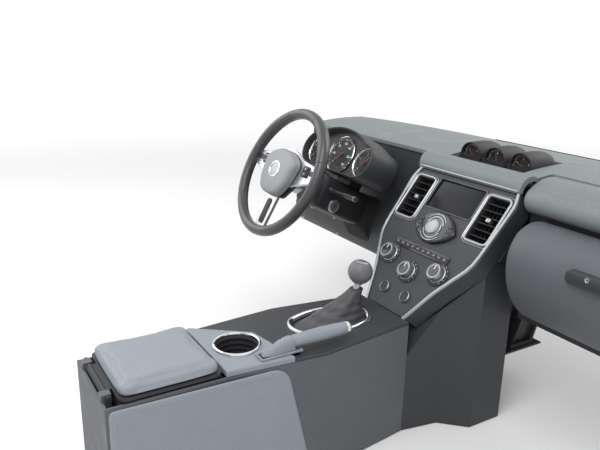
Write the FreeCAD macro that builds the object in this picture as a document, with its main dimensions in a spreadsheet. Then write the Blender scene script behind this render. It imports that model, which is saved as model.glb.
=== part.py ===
import FreeCAD, Part

import math
import os
import re

import Sketcher
from FreeCAD import Placement, Rotation, Vector

# Left-hand-drive roadster cockpit module: dashboard on its cross beam, centre stack, centre console,
# steering column and wheel. Millimetres. +X is the passenger's side, +Y the car's nose, +Z up.
# The origin is the centre of the bolt pattern of the feet, on top of the car's tunnel.

# Each row is a size's name, its value and what it measures.
SIZES = (
    ("beam_y", 100, "cross beam's axis, forward of the feet"),
    ("beam_z", 262, "cross beam's axis, above the feet"),
    ("beam_r", 28, "cross beam's outer radius"),
    ("beam_wall", 2.5, "cross beam's wall"),
    ("beam_short", 3, "from the dashboard's end in to the beam's end"),
    ("seat_gap", 0.3, "gap between seated curved faces"),
    ("sheet_wall", 4, "bracket sheet"),
    ("end_plate_long", 130, "end plate, along Y"),
    ("end_plate_tall", 150, "end plate, along Z"),
    ("end_bolt_y", 45, "end plate's bolts, half spacing along Y"),
    ("end_bolt_z", 55, "end plate's bolts, half spacing along Z"),
    ("bolt_hole_r", 5.5, "clearance hole for an M10 bolt"),
    ("foot_x", 120, "feet bolts, half spacing across"),
    ("foot_y", 45, "feet bolts, half spacing along"),
    ("foot_half_wide", 24, "half a foot plate's width"),
    ("foot_half_long", 66, "half a foot plate's length"),
    ("leg_half_wide", 15, "half a leg's width"),
    ("leg_long", 70, "leg's depth along Y"),
    ("leg_shift", 10, "leg's lower end, forward of its foot's middle"),
    ("wheel_y", -336, "wheel's centre, along"),
    ("wheel_z", 340, "wheel's centre, up"),
    ("wheel_lean", 27.7, "wheel's plane from upright, degrees"),
    ("rim_outer", 170, "wheel's outer radius"),
    ("rim_r", 15, "radius of the rim's section"),
    ("rim_dish", 14, "rim's centre plane above the hub's back"),
    ("hub_r", 34, "wheel's hub, radius"),
    ("hub_low", 62, "hub's back, behind the rim's plane"),
    ("spoke_thick", 9, "spoke plate"),
    ("low_root", 26, "lower spoke at the hub, half its width"),
    ("low_spoke", 20, "lower spoke at the rim, half its width"),
    ("spoke_root", 40, "lower spoke's start below the middle"),
    ("spoke_shoulder", 62, "hub's half width"),
    ("spoke_under", 22, "hub's shoulder below the middle"),
    ("spoke_low", 4, "side spokes' lower edge at the rim"),
    ("spoke_high", 36, "side spokes' upper edge at the rim"),
    ("spoke_top", 46, "side spokes' upper edge at the hub"),
    ("spoke_crown", 66, "hub's top"),
    ("key_in", 82, "wheel's switches, their inner edge"),
    ("key_out", 108, "wheel's switches, their outer edge"),
    ("keys_low", 8, "wheel's switches, their lower edge"),
    ("keys_top", 34, "wheel's switches, their upper edge"),
    ("keys_high", 6, "wheel's switches, their height"),
    ("cover_r", 66, "airbag cover, radius"),
    ("cover_side", 30, "cover's upper corners"),
    ("cover_top", 58, "cover's top"),
    ("cover_waist", 20, "cover's sides, the middle of their curve, below the middle"),
    ("cover_foot", 34, "cover's foot, half its width"),
    ("cover_low", 56, "cover's foot below the middle"),
    ("cover_soft", 9, "cover's front edge"),
    ("cover_thick", 26, "airbag cover, depth"),
    ("shaft_r", 11, "steering shaft's radius"),
    ("shaft_run", 570, "steering shaft's length behind the hub"),
    ("stub_long", 30, "clamped end of the shaft, its length"),
    ("stub_r", 9, "clamped end of the shaft, its radius"),
    ("shaft_fit", 0.05, "running clearance of the shaft"),
    ("jacket_wall", 7, "column jacket's wall"),
    ("jacket_tail", 20, "jacket's end beyond the tilt pins"),
    ("jacket_start", 48, "jacket's start behind the hub"),
    ("pivot_run", 520, "tilt pivot's place behind the hub"),
    ("pivot_pin_r", 7, "tilt pivot pins' radius"),
    ("cheek_back_y", -84, "bracket cheeks' rear edge"),
    ("cheek_top_z", 228, "top of that edge"),
    ("cheek_low_z", 150, "bottom of that edge"),
    ("cheek_r", 24, "cheeks' round end about the tilt pins"),
    ("cheek_off", 14, "cheeks' distance from the jacket"),
    ("boss_ring", 6, "tilt bosses beyond their pins"),
    ("shroud_wide", 104, "column shroud's width"),
    ("shroud_tall", 84, "column shroud's height"),
    ("shroud_belly", 6, "shroud's lower bulge"),
    ("shroud_crown", 4, "shroud's upper bulge"),
    ("shroud_round", 12, "shroud's long edges"),
    ("stalk_up", 12, "stalks above the steering axis"),
    ("stalk_tip", 46, "stalks' thicker ends"),
    ("shroud_start", 40, "shroud's start behind the hub"),
    ("shroud_run", 150, "shroud's length"),
    ("stalk_long", 112, "stalk's length from the shroud"),
    ("stalk_r", 8, "stalk's radius"),
    ("stalk_back", 24, "stalks' place behind the shroud's face"),
    ("cluster_up", 104, "instrument centres above the steering axis"),
    ("cluster_back", 150, "instrument faces behind the hub"),
    ("cluster_deep", 82, "instrument housing's depth"),
    ("cluster_hood", 26, "instruments' hood, its depth"),
    ("stay_half", 30, "instruments' stay, half its width"),
    ("stay_deep", 40, "instruments' stay, along"),
    ("dial_thick", 20, "instruments' thickness"),
    ("dial_sink", 12, "instruments' faces behind the hood's floor"),
    ("main_dial_r", 56, "middle instrument's bezel radius"),
    ("side_dial_r", 42, "side instruments' bezel radius"),
    ("side_dial_x", 103, "side instruments' distance from the middle"),
    ("cluster_wall", 5, "instrument housing's wall"),
    ("dial_fit", 0.3, "gap round each instrument"),
    ("stack_y", -69, "stack face's top edge, along"),
    ("stack_z", 369, "stack face's top edge, up"),
    ("stack_lean", 51.1, "stack face from level, degrees"),
    ("stack_long", 338, "stack face's length down the slope"),
    ("stack_top", 149, "stack's half width at its top"),
    ("stack_wide", 160, "stack's half width where it is widest"),
    ("stack_waist", 150, "stack's half width at its waist"),
    ("stack_knee", 100, "stack's half width at its knee"),
    ("stack_foot", 66, "stack's half width at its foot"),
    ("stack_wide_at", 30, "slope distance of the widest line"),
    ("stack_waist_at", 178, "slope distance of the waist"),
    ("stack_knee_at", 262, "slope distance of the knee"),
    ("stack_deep", 46, "stack tray's depth"),
    ("stack_wall", 4, "stack tray's wall"),
    ("screen_half", 70, "screen's half width"),
    ("screen_top", 14, "slope distance of the screen's top"),
    ("screen_end", 88, "slope distance of the screen's end"),
    ("screen_sink", 3, "screen's depth below the face"),
    ("screen_deep", 12, "screen's thickness"),
    ("vent_in", 82, "centre vents' inner edge"),
    ("vent_out", 142, "centre vents' outer edge"),
    ("vent_top", 20, "slope distance of the vents' top"),
    ("vent_end", 128, "slope distance of the vents' end"),
    ("vent_deep", 44, "centre vents' depth"),
    ("vent_wall", 2.5, "vent housing's wall"),
    ("vane_thick", 2, "vent vane"),
    ("vane_deep", 16, "vent vane's depth"),
    ("panel_gap", 0.3, "gap round a part set into a panel"),
    ("audio_r", 62, "audio control cluster's radius"),
    ("audio_at", 132, "slope distance of its centre"),
    ("audio_up", 40, "audio control above its middle"),
    ("audio_down", 36, "audio control below its middle"),
    ("audio_high", 9, "its height above the face"),
    ("audio_knob_r", 21, "its middle knob's radius"),
    ("audio_knob_high", 16, "its middle knob's height above the face"),
    ("radio_half", 84, "radio band's half width"),
    ("radio_at", 189, "slope distance of the radio band"),
    ("radio_half_tall", 9, "half the radio band's height"),
    ("radio_high", 5, "radio band's height above the face"),
    ("knob_r", 20, "climate knobs' radius"),
    ("knob_high", 20, "climate knobs' height"),
    ("knob_x", 78, "outer climate knobs' distance from the middle"),
    ("knob_at", 222, "slope distance of the outer climate knobs"),
    ("knob_low_at", 244, "slope distance of the middle climate knob"),
    ("socket_r", 13, "lower sockets' radius"),
    ("socket_x", 34, "lower sockets' distance from the middle"),
    ("socket_at", 296, "slope distance of the lower sockets"),
    ("trim_wide", 7, "silver strips' width"),
    ("trim_high", 5, "silver strips' height above the face"),
    ("dash_half", 700, "half the dashboard's width"),
    ("wheel_off", 16, "steering wheel's centre, out from the middle of the driver's side"),
    ("lid_end", 130, "glovebox lid's outer end, in from the dashboard's end"),
    ("vent_off", 82, "side vents' centre, in from the dashboard's end"),
    ("pad_thick", 10, "dashboard skin's thickness"),
    ("dash_rear", 10, "dashboard top's rear edge beside the stack"),
    ("dash_rear_z", 402, "its height there"),
    ("dash_crown_y", 150, "dashboard top's highest line"),
    ("dash_crown_z", 410, "its height"),
    ("dash_front_y", 325, "dashboard's front edge at the middle"),
    ("dash_front_z", 386, "its height"),
    ("dash_corner_y", 150, "dashboard's front edge at the ends"),
    ("end_wall", 4, "end walls of the dashboard"),
    ("end_gap", 4, "space round the beam's end plates"),
    ("end_inset", 14, "end walls behind the panels' face"),
    ("end_low_z", 128, "end walls' lower edge"),
    ("end_front_y", 128, "end walls' front edge"),
    ("grille_half", 250, "windscreen grille's half length"),
    ("grille_y", 262, "windscreen grille's rear edge"),
    ("grille_wide", 24, "windscreen grille's width"),
    ("stack_hood_y", -74, "dashboard top's rear edge over the stack"),
    ("driver_edge_y", -30, "dashboard top's rear edge by the instruments"),
    ("roll_start", 158, "passenger roll's inner end"),
    ("roll_back", -74, "passenger roll's rearmost line"),
    ("roll_back_z", 360, "its height"),
    ("roll_brow_y", -34, "roll's upper curve, its middle, along"),
    ("roll_bend_y", -60, "roll's bend, along"),
    ("roll_bend_z", 383, "roll's bend, up"),
    ("roll_foot_y", -56, "roll's lower edge, along"),
    ("roll_lip", 22, "roll's inner lip under the dashboard"),
    ("roll_top_z", 397, "passenger roll's top"),
    ("roll_low_z", 334, "passenger roll's lower edge"),
    ("roll_end_r", 9, "rounding of the roll's ends"),
    ("face_y", -20, "dashboard's face behind the panels"),
    ("panel_top_z", 391.5, "driver's panel, its top under the dashboard"),
    ("knee_low_z", 96, "driver's lower panel, its lower edge"),
    ("panel_mid_y", -34, "driver's panel, its face above the knees"),
    ("panel_mid_z", 300, "its height there"),
    ("knee_top_y", -88, "top of the knee bolster, along"),
    ("knee_bend_z", 168, "top of the knee bolster, up"),
    ("knee_low_y", -66, "driver's panel, its lower edge, along"),
    ("column_open", 48, "half width of the opening round the column"),
    ("open_low_z", 136, "that opening's lower edge"),
    ("open_top_z", 244, "that opening's upper edge"),
    ("panel_wall", 4, "moulded panels' wall"),
    ("lid_in", 196, "glovebox lid's inner end"),
    ("lid_top_y", -66, "glovebox lid's upper edge, along"),
    ("lid_top_z", 326, "glovebox lid's upper edge, up"),
    ("lid_back", -150, "glovebox lid's rearmost line"),
    ("lid_back_z", 270, "its height"),
    ("lid_brow_y", -128, "lid's upper bend, along"),
    ("lid_brow_z", 311, "lid's upper bend, up"),
    ("lid_chin_y", -138, "lid's lower bend, along"),
    ("lid_chin_z", 196, "lid's lower bend, up"),
    ("lid_low_y", -84, "glovebox lid's lower edge, along"),
    ("lid_low_z", 128, "glovebox lid's lower edge, up"),
    ("lid_thick", 14, "glovebox lid's thickness"),
    ("bin_wall", 4, "glovebox's wall"),
    ("bin_front", 60, "glovebox's front wall"),
    ("bin_inset", 40, "glovebox's inset from the lid's ends"),
    ("bin_low_z", 156, "glovebox's floor"),
    ("bin_top_z", 304, "glovebox's roof"),
    ("lid_clear", 0.5, "gap beside the lid's ends"),
    ("ear_wide", 10, "hinge ears' width"),
    ("ear_r", 10, "lid ears' round end"),
    ("pull_long", 90, "lid's pull, along"),
    ("pull_deep", 10, "lid's pull, standing out"),
    ("pull_tall", 24, "lid's pull, its height"),
    ("lid_edge_r", 18, "rounding of the lid's ends"),
    ("hinge_y", -78, "lid's hinge, along"),
    ("hinge_z", 142, "lid's hinge, up"),
    ("panel_y", -44, "passenger's inner panel, along"),
    ("lid_shut", 18, "space between the shut lid and that panel"),
    ("hinge_r", 5, "hinge pins' radius"),
    ("hinge_fit", 0.08, "hinge pins' running clearance"),
    ("pod_y", 8, "gauge pods' faces, along"),
    ("pod_z", 404, "gauge pods' axes, up"),
    ("pod_pitch", 74, "gauge pods' spacing"),
    ("pod_r", 32, "gauge pods' radius"),
    ("pod_long", 96, "gauge pods' length"),
    ("trough_long", 30, "trough in front of the pods"),
    ("trough_drop", 8, "trough's edge below the pods' middle"),
    ("pod_wall", 4, "gauge pods' wall"),
    ("pod_dial_sink", 10, "gauge faces' depth in the pods"),
    ("console_half", 96, "console's half width"),
    ("console_back_y", -690, "place along where that width is reached"),
    ("console_wing", 112, "console's half width at its wings"),
    ("console_wing_y", -500, "wings' place along"),
    ("console_nose_y", -284, "console's front end"),
    ("console_nose_half", 84, "console's half width at its front end"),
    ("stack_side_y", -56, "stack side walls' front end"),
    ("arm_end_y", -160, "stack's carrier arms, their rear end before they are cut"),
    ("stack_over", 60, "space above the stack's ends"),
    ("console_tail_y", -910, "console's rear end"),
    ("console_low_z", -150, "console's lower edge"),
    ("console_top_z", 102, "console walls' top"),
    ("console_wall", 4, "console's wall"),
    ("plate_thick", 6, "console top plate"),
    ("cap_thick", 12, "padded cap's thickness"),
    ("cap_y", -692, "cap's front edge at the driver's side"),
    ("cap_in", 62, "cap's driver's-side bend, across"),
    ("cap_in_y", -646, "the same bend, along"),
    ("cap_bend", 20, "cap's front bend, across"),
    ("cap_front_y", -590, "the same bend, along"),
    ("cap_edge_y", -568, "cap's front edge at the passenger's side"),
    ("key_x", 34, "console switch, across"),
    ("key_y", -572, "console switch, along"),
    ("key_wide", 26, "console switch, its width"),
    ("key_long", 18, "console switch, its length"),
    ("key_high", 7, "console switch, its height"),
    ("ring_y", -424, "shift opening's centre along"),
    ("ring_half_wide", 58, "shift ring's half width"),
    ("ring_half_long", 94, "shift ring's half length"),
    ("ring_band", 11, "shift ring's width"),
    ("ring_high", 7, "shift ring's height above the plate"),
    ("lever_y", -392, "gear lever's pivot, along"),
    ("lever_z", 30, "gear lever's pivot, up"),
    ("lever_r", 7, "gear lever's radius"),
    ("lever_ball_r", 12, "lever's pivot ball"),
    ("socket_x0", 50, "lever's bracket, half width inside"),
    ("lever_base_z", 12, "lever's bracket, its floor"),
    ("hanger_wall", 4, "lever bracket's wall"),
    ("hanger_half", 28, "lever bracket's half length"),
    ("lever_socket_r", 20, "lever's ball socket"),
    ("knob_y", -352, "gear knob's centre, along"),
    ("knob_z", 203, "gear knob's centre, up"),
    ("ball_r", 26, "gear knob's radius"),
    ("gaiter_top_z", 168, "gaiter's top"),
    ("gaiter_top_r", 15, "gaiter's neck radius"),
    ("cup_x", 14, "cup holder's centre, across"),
    ("cup_y", -642, "cup holder's centre, along"),
    ("cup_r", 40, "cup holder's inner radius"),
    ("cup_deep", 72, "cup holder's depth"),
    ("cup_wall", 3, "cup holder's wall"),
    ("cup_ring", 7, "cup holder ring's width"),
    ("cup_ring_high", 5, "cup holder ring's height"),
    ("rest_half", 92, "armrest's half width"),
    ("rest_front", -704, "armrest's front"),
    ("rest_tail", -886, "armrest's tail"),
    ("rest_thick", 22, "armrest's thickness"),
    ("rest_base", 5, "armrest base's thickness"),
    ("rest_gap", 4, "gap in front of the armrest"),
    ("rest_lift", 4, "armrest's underside above the console's walls"),
    ("rest_hinge_y", -898, "armrest's hinge, along"),
    ("rest_hinge_z", 108, "armrest's hinge, up"),
    ("rest_ear_x", 60, "armrest hinge ears, distance from the middle"),
    ("rest_ear_wide", 16, "hinge ears, their width"),
    ("rest_ear_r", 6, "hinge ears beyond their holes"),
    ("rest_ear_tall", 54, "hinge ears, their height"),
    ("rest_knuckle", 48, "armrest's hinge block, half its width"),
    ("rest_pin_half", 75, "armrest's hinge pin, half its length"),
    ("rest_round", 14, "armrest's corners in plan"),
    ("rest_soft", 9, "pad's upper edge"),
    ("bin_deep", 130, "console bin's depth"),
    ("bin_tail", 14, "console bin's rear wall in front of the armrest's hinge"),
    ("brake_x", 81, "handbrake, across"),
    ("brake_pivot_y", -612, "handbrake's pivot, along"),
    ("brake_pivot_z", 66, "handbrake's pivot, up"),
    ("grip_start", 50, "handbrake grip's start before the pivot"),
    ("grip_long", 128, "handbrake grip's length"),
    ("grip_r", 13.5, "handbrake grip's radius"),
    ("grip_up", 66, "handbrake grip's axis above the pivot"),
    ("brake_bar", 12, "handbrake bar's thickness"),
    ("brake_cheek", 4, "handbrake's cheeks, their thickness"),
    ("brake_cheek_half", 20, "cheeks, half their length"),
    ("cheek_out", 14, "cheeks' outer faces from the lever's middle"),
    ("arm_r", 12, "lever arm about its pivot"),
    ("bar_tall", 14, "lever's bar, its height"),
    ("bar_start", 40, "lever's bar, its start in front of the pivot"),
    ("brake_slot", 11, "half width of the handbrake's slot"),
    ("slot_back", 16, "lever's slot behind its pivot"),
    ("slot_front", 62, "lever's slot in front of its pivot"),
    ("collar_band", 4, "slot's collar, its width"),
    ("collar_high", 4, "slot's collar, its height"),
    ("heater_low_z", 20, "heater unit's underside"),
    ("heater_top_z", 226, "heater unit's top"),
    ("heater_back_y", -40, "heater unit's rear"),
    ("heater_front_y", 230, "heater unit's front"),
    ("blower_x", 300, "blower's centre, across"),
    ("blower_y", 172, "blower's centre, along"),
    ("blower_z", 140, "blower's underside"),
    ("blower_r", 92, "blower's radius"),
    ("blower_tall", 84, "blower's height"),
    ("passage_long", 70, "blower's passage to the heater, along"),
    ("passage_back", 20, "passage's rear side behind the blower's middle"),
    ("passage_in", 10, "passage's inset from the blower's height"),
    ("duct_wide", 76, "air ducts' width"),
    ("riser_half", 75, "centre duct's half width"),
    ("riser_deep", 80, "centre duct's depth"),
    ("riser_y", 150, "centre duct's rear side"),
    ("riser_gap", 30, "centre duct's top below the windscreen's base"),
    ("elbow_gap", 30, "side ducts' ends behind the face of the vents"),
    ("duct_tall", 46, "air ducts' height"),
    ("duct_wall", 2, "air ducts' wall"),
    ("duct_y", 190, "air ducts' axis, along"),
    ("duct_z", 330, "air ducts' axis, up"),
    ("side_vent_z", 292, "side vents' centres, up"),
    ("side_vent_r", 36, "side vents' radius"),
    ("side_vent_in", 10, "side vents' rear end in front of the face"),
    ("vent_long", 60, "side vents' length"),
    ("bar_deep", 14, "side vents' cross bar, along"),
)

NAMES = {row[0] for row in SIZES}

doc = FreeCAD.newDocument("CockpitModule")
sheet = doc.addObject("Spreadsheet::Sheet", "Sizes")
for line, (name, number, note) in enumerate(SIZES, start=1):
    sheet.set(f"A{line}", name)
    sheet.set(f"B{line}", str(number))
    sheet.setAlias(f"B{line}", name)
    sheet.set(f"C{line}", note)
doc.recompute()

subparts = []


def linked(text):
    """Give the expression for a text that uses the sizes' plain names."""
    def with_sheet(word):
        """Put the sheet's name before a size's name."""
        return ("Sizes." if word[0] in NAMES else "") + word[0]

    return re.sub(r"[a-z][a-z0-9_]*", with_sheet, str(text))


def value(text):
    """Work out a text that uses the sizes' plain names."""
    return float(sheet.evalExpression(linked(text)))


def bind(item, prop, text):
    """Tie a property to the sheet."""
    item.setExpression(prop, linked(text))


def place(item, x="0", y="0", z="0", axis=(1, 0, 0), turn="0"):
    """Put an object at x, y, z, turned about an axis through its own origin."""
    item.Placement = Placement(Vector(value(x), value(y), value(z)), Rotation(Vector(*axis), value(turn)))
    bind(item, "Placement.Base.x", x)
    bind(item, "Placement.Base.y", y)
    bind(item, "Placement.Base.z", z)
    if str(turn) != "0":
        bind(item, "Placement.Rotation.Angle", turn)
    return item


def finished(item, label):
    """Name a sub-part and keep it for the export."""
    item.Label = label
    subparts.append(item)
    return item


def new_body(name):
    """Start a PartDesign body."""
    return doc.addObject("PartDesign::Body", name)


def pin(sketch, geometry, end, x, y):
    """Hold one point of a sketch at x, y."""
    for kind, text in (("DistanceX", x), ("DistanceY", y)):
        index = sketch.addConstraint(Sketcher.Constraint(kind, -1, 1, geometry, end, value(text)))
        bind(sketch, f"Constraints[{index}]", text)


def draw(body, plane, loops, lift="0"):
    """Draw closed loops on an origin plane of the body.

    A loop is ("circle", x, y, radius), or a list of corners (x, y) in which ("via", x, y) bends
    the stretch between its neighbours into an arc through that point.
    """
    sketch = body.newObject("Sketcher::SketchObject", body.Name + "Sketch")
    support = [item for item in body.Origin.OriginFeatures if item.Role == plane][0]
    sketch.AttachmentSupport = [(support, "")]
    sketch.MapMode = "FlatFace"
    bind(sketch, "AttachmentOffset.Base.z", lift)
    for loop in loops:
        if loop[0] == "circle":
            x, y, radius = loop[1:]
            centre = Vector(value(x), value(y), 0)
            ring = sketch.addGeometry(Part.Circle(centre, Vector(0, 0, 1), value(radius)))
            pin(sketch, ring, 3, x, y)
            index = sketch.addConstraint(Sketcher.Constraint("Radius", ring, value(radius)))
            bind(sketch, f"Constraints[{index}]", radius)
            continue
        corners = [point for point in loop if point[0] != "via"]
        bends = {}
        for order, point in enumerate(loop):
            if point[0] == "via":
                before = sum(1 for earlier in loop[:order] if earlier[0] != "via") - 1
                bends[before] = point[1:]
        spots = [Vector(value(x), value(y), 0) for x, y in corners]
        pieces = []
        for order, start in enumerate(spots):
            stop = spots[(order + 1) % len(spots)]
            if order not in bends:
                pieces.append((sketch.addGeometry(Part.LineSegment(start, stop)), 1, 2))
                continue
            x, y = bends[order]
            middle = Vector(value(x), value(y), 0)
            arc = sketch.addGeometry(Part.Arc(start, middle, stop))
            first, last = [sketch.getPoint(arc, end).distanceToPoint(start) for end in (1, 2)]
            forward = first < last
            pieces.append((arc, 1, 2) if forward else (arc, 2, 1))
            guide = sketch.addGeometry(Part.Point(middle), True)
            pin(sketch, guide, 1, x, y)
            sketch.addConstraint(Sketcher.Constraint("PointOnObject", guide, 1, arc))
        for order, (geometry, start, stop) in enumerate(pieces):
            after = pieces[(order + 1) % len(pieces)]
            pin(sketch, geometry, start, *corners[order])
            sketch.addConstraint(Sketcher.Constraint("Coincident", geometry, stop, after[0], after[1]))
    return sketch


def solid(body, kind, sketch, length, both=False, back=False):
    """Pad or pocket a sketch by a length; both is half each way, back is against the normal."""
    feature = body.newObject("PartDesign::" + kind, body.Name + kind)
    feature.Profile = sketch
    bind(feature, "Length", length)
    feature.SideType = "Symmetric" if both else "One side"
    feature.Reversed = back
    sketch.Visibility = False
    return feature


def turned(body, kind, sketch, axis, angle="360"):
    """Revolve or groove a sketch round an origin axis of the body."""
    feature = body.newObject("PartDesign::" + kind, body.Name + kind)
    feature.Profile = sketch
    line = [item for item in body.Origin.OriginFeatures if item.Role == axis][0]
    feature.ReferenceAxis = (line, [""])
    bind(feature, "Angle", angle)
    return feature


def rounded(body, radius, test):
    """Round the edges of the body whose middle point passes a test."""
    doc.recompute()
    base = body.Tip
    names = []
    for order, edge in enumerate(base.Shape.Edges, start=1):
        middle = edge.valueAt((edge.FirstParameter + edge.LastParameter) / 2)
        if test(edge, middle):
            names.append(f"Edge{order}")
    if not names:
        raise RuntimeError("no edge to round in " + body.Name)
    feature = body.newObject("PartDesign::Fillet", body.Name + "Round")
    feature.Base = (base, names)
    bind(feature, "Radius", radius)
    return feature


def round_ends(body, start, end, back, radius):
    """Cut both ends of a body round in plan, where its back face meets them."""
    corners = []
    for at, into in ((start, ""), (end, "-")):
        corners.append([(f"{at} - ({into} 2)", f"{back} - 4"),
                        (f"{at} + {into} ({radius} + 2)", f"{back} - 4"),
                        (f"{at} + {into} {radius}", back),
                        ("via", f"{at} + {into} 0.293 * {radius}", f"{back} + 0.293 * {radius}"),
                        (at, f"{back} + {radius}"), (f"{at} - ({into} 2)", f"{back} + {radius} + 2")])
    solid(body, "Pocket", draw(body, "XY_Plane", corners), THROUGH, both=True)


def block(name, x, y, z, low=("0", "0", "0"), axis=(1, 0, 0), turn="0"):
    """Make a box of sizes x, y, z with its low corner at a place."""
    item = doc.addObject("Part::Box", name)
    bind(item, "Length", x)
    bind(item, "Width", y)
    bind(item, "Height", z)
    return place(item, *low, axis=axis, turn=turn)


def rod(name, radius, height, at=("0", "0", "0"), axis=(1, 0, 0), turn="0"):
    """Make a cylinder that starts at a place and runs along its own +Z."""
    item = doc.addObject("Part::Cylinder", name)
    bind(item, "Radius", radius)
    bind(item, "Height", height)
    return place(item, *at, axis=axis, turn=turn)


def fuse(name, items):
    """Join solids, or keep apart those that don't touch."""
    item = doc.addObject("Part::MultiFuse", name)
    item.Shapes = items
    return item


def cut(name, base, tools):
    """Cut tools out of a solid."""
    item = doc.addObject("Part::Cut", name)
    item.Base = base
    item.Tool = tools[0] if len(tools) == 1 else fuse(name + "Tools", tools)
    return item


def rectangle(x0, y0, x1, y1):
    """Give a rectangle's corners."""
    return [(x0, y0), (x1, y0), (x1, y1), (x0, y1)]


SIDES = (("left", "-"), ("right", ""))
THROUGH = "600"
SMALL = "0.3"
HOOD_LAP = "6"
HOOD_IN = "10"
POD_LAP = "4"
GRILLE_SLOTS = 12
GRILLE_EDGE = "4"
GRILLE_RIB = "3"
GRILLE_THICK = "6"
SLAT_SPACES = 7
SLAT_SINK = "3"
SOCKET_HIGH = "6"
STRIP_IN = "1"
STRIP_END = "4"
DIAL_LIP = "3"
OVAL_ACROSS = "0.72"
OVAL_ALONG = "0.78"
BEAM_HALF = "(dash_half - beam_short)"
WHEEL_X = "(-dash_half / 2 - wheel_off)"
LID_OUT = "(dash_half - lid_end)"
VENT_X = "(dash_half - vent_off)"
ALONG_X = dict(axis=(0, 1, 0), turn="90")


def beam_seat(name):
    """Give the round seat that clears the cross beam all along."""
    start = ("-" + BEAM_HALF, "beam_y", "beam_z")
    return rod(name, "beam_r + seat_gap", "2 * " + BEAM_HALF, start, **ALONG_X)


# Steel structure

def make_cross_beam():
    """Tube across the car that carries everything."""
    at = ("-" + BEAM_HALF, "beam_y", "beam_z")
    outer = rod("BeamOuter", "beam_r", "2 * " + BEAM_HALF, at, **ALONG_X)
    inner = rod("BeamInner", "beam_r - beam_wall", "2 * " + BEAM_HALF, at, **ALONG_X)
    finished(cut("CrossBeam", outer, [inner]), "cross_beam")


def make_end_plates():
    """Bolt plates that close the beam's ends against the body's pillars."""
    plates = []
    for side, sign in SIDES:
        body = new_body("EndPlate" + side)
        low = ("beam_y - end_plate_long / 2", "beam_z - end_plate_tall / 2")
        high = ("beam_y + end_plate_long / 2", "beam_z + end_plate_tall / 2")
        holes = [("circle", f"beam_y {a} end_bolt_y", f"beam_z {b} end_bolt_z", "bolt_hole_r")
                 for a in "+-" for b in "+-"]
        sketch = draw(body, "YZ_Plane", [rectangle(*low, *high)] + holes)
        solid(body, "Pad", sketch, "sheet_wall")
        place(body, BEAM_HALF if sign == "" else f"-{BEAM_HALF} - sheet_wall")
        plates.append(body)
    finished(fuse("EndPlates", plates), "beam_end_plates")


def make_tunnel_braces():
    """Two legs from the beam to the tunnel, each on a bolted foot."""
    legs = []
    for side, sign in SIDES:
        body = new_body("Foot" + side)
        holes = [("circle", "0", f"{a} foot_y", "bolt_hole_r") for a in ("", "-")]
        plate = rectangle("-foot_half_wide", "-foot_half_long", "foot_half_wide", "foot_half_long")
        solid(body, "Pad", draw(body, "XY_Plane", [plate] + holes), "sheet_wall")
        place(body, f"{sign} foot_x")
        leg = new_body("Leg" + side)
        outer = [("leg_shift - leg_long / 2", "sheet_wall"), ("leg_shift + leg_long / 2", "sheet_wall"),
                 ("beam_y + beam_r", "beam_z - beam_r / 2"), ("beam_y - beam_r", "beam_z - beam_r / 2")]
        inside = [("leg_shift - leg_long / 2 + sheet_wall", "3 * sheet_wall"),
                  ("leg_shift + leg_long / 2 - sheet_wall", "3 * sheet_wall"),
                  ("beam_y + beam_r - 2 * sheet_wall", "beam_z - beam_r - 4 * sheet_wall"),
                  ("beam_y - beam_r + sheet_wall", "beam_z - beam_r - 4 * sheet_wall")]
        solid(leg, "Pad", draw(leg, "YZ_Plane", [outer]), "2 * leg_half_wide", both=True)
        for lift, back in (("sheet_wall", True), ("-sheet_wall", False)):
            pocket = solid(leg, "Pocket", draw(leg, "YZ_Plane", [inside], lift), "leg_half_wide", back=back)
            pocket.Reversed = lift == "sheet_wall"
        place(leg, f"{sign} foot_x")
        legs += [body, leg]
    finished(cut("TunnelBraces", fuse("LegsAndFeet", legs), [beam_seat("LegSeat")]), "tunnel_braces")


def along_column(run, up="0"):
    """Give y and z of a point run behind the wheel's centre and up above the steering axis."""
    y = f"(wheel_y + cos(wheel_lean) * ({run}) + sin(wheel_lean) * ({up}))"
    z = f"(wheel_z - sin(wheel_lean) * ({run}) + cos(wheel_lean) * ({up}))"
    return y, z


def on_stack(slope, deep="0"):
    """Give y and z of a point down the stack's face, deep behind it."""
    y = f"(stack_y - cos(stack_lean) * ({slope}) + sin(stack_lean) * ({deep}))"
    z = f"(stack_z - sin(stack_lean) * ({slope}) - cos(stack_lean) * ({deep}))"
    return y, z


WHEEL = dict(x=WHEEL_X, y="wheel_y", z="wheel_z", turn="90 - wheel_lean")
STACK = dict(y="stack_y", z="stack_z", turn="stack_lean")
PIVOT_Y, PIVOT_Z = along_column("pivot_run")
JACKET_R = "(shaft_r + shaft_fit + jacket_wall)"
CHEEK_IN = f"({JACKET_R} + cheek_off)"


def make_column_bracket():
    """Two cheeks that hang from the beam and hold the column between them."""
    cheeks = []
    for side, sign in SIDES:
        body = new_body("Cheek" + side)
        outline = [("beam_y + beam_r", "beam_z"), ("beam_y - beam_r", "beam_z"),
                   ("cheek_back_y", "cheek_top_z"), ("cheek_back_y", "cheek_low_z"),
                   (f"{PIVOT_Y} - cheek_r", PIVOT_Z), ("via", PIVOT_Y, f"{PIVOT_Z} - cheek_r"),
                   (f"{PIVOT_Y} + cheek_r", PIVOT_Z)]
        hole = ("circle", PIVOT_Y, PIVOT_Z, "pivot_pin_r + hinge_fit")
        solid(body, "Pad", draw(body, "YZ_Plane", [outline, hole]), "sheet_wall")
        place(body, f"{WHEEL_X} + {CHEEK_IN}" if sign == "" else f"{WHEEL_X} - {CHEEK_IN} - sheet_wall")
        cheeks.append(body)
    finished(cut("ColumnBracket", fuse("Cheeks", cheeks), [beam_seat("CheekSeat")]), "column_bracket")


# Air handling

HEATER_HALF = "(foot_x - leg_half_wide - seat_gap)"


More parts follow.
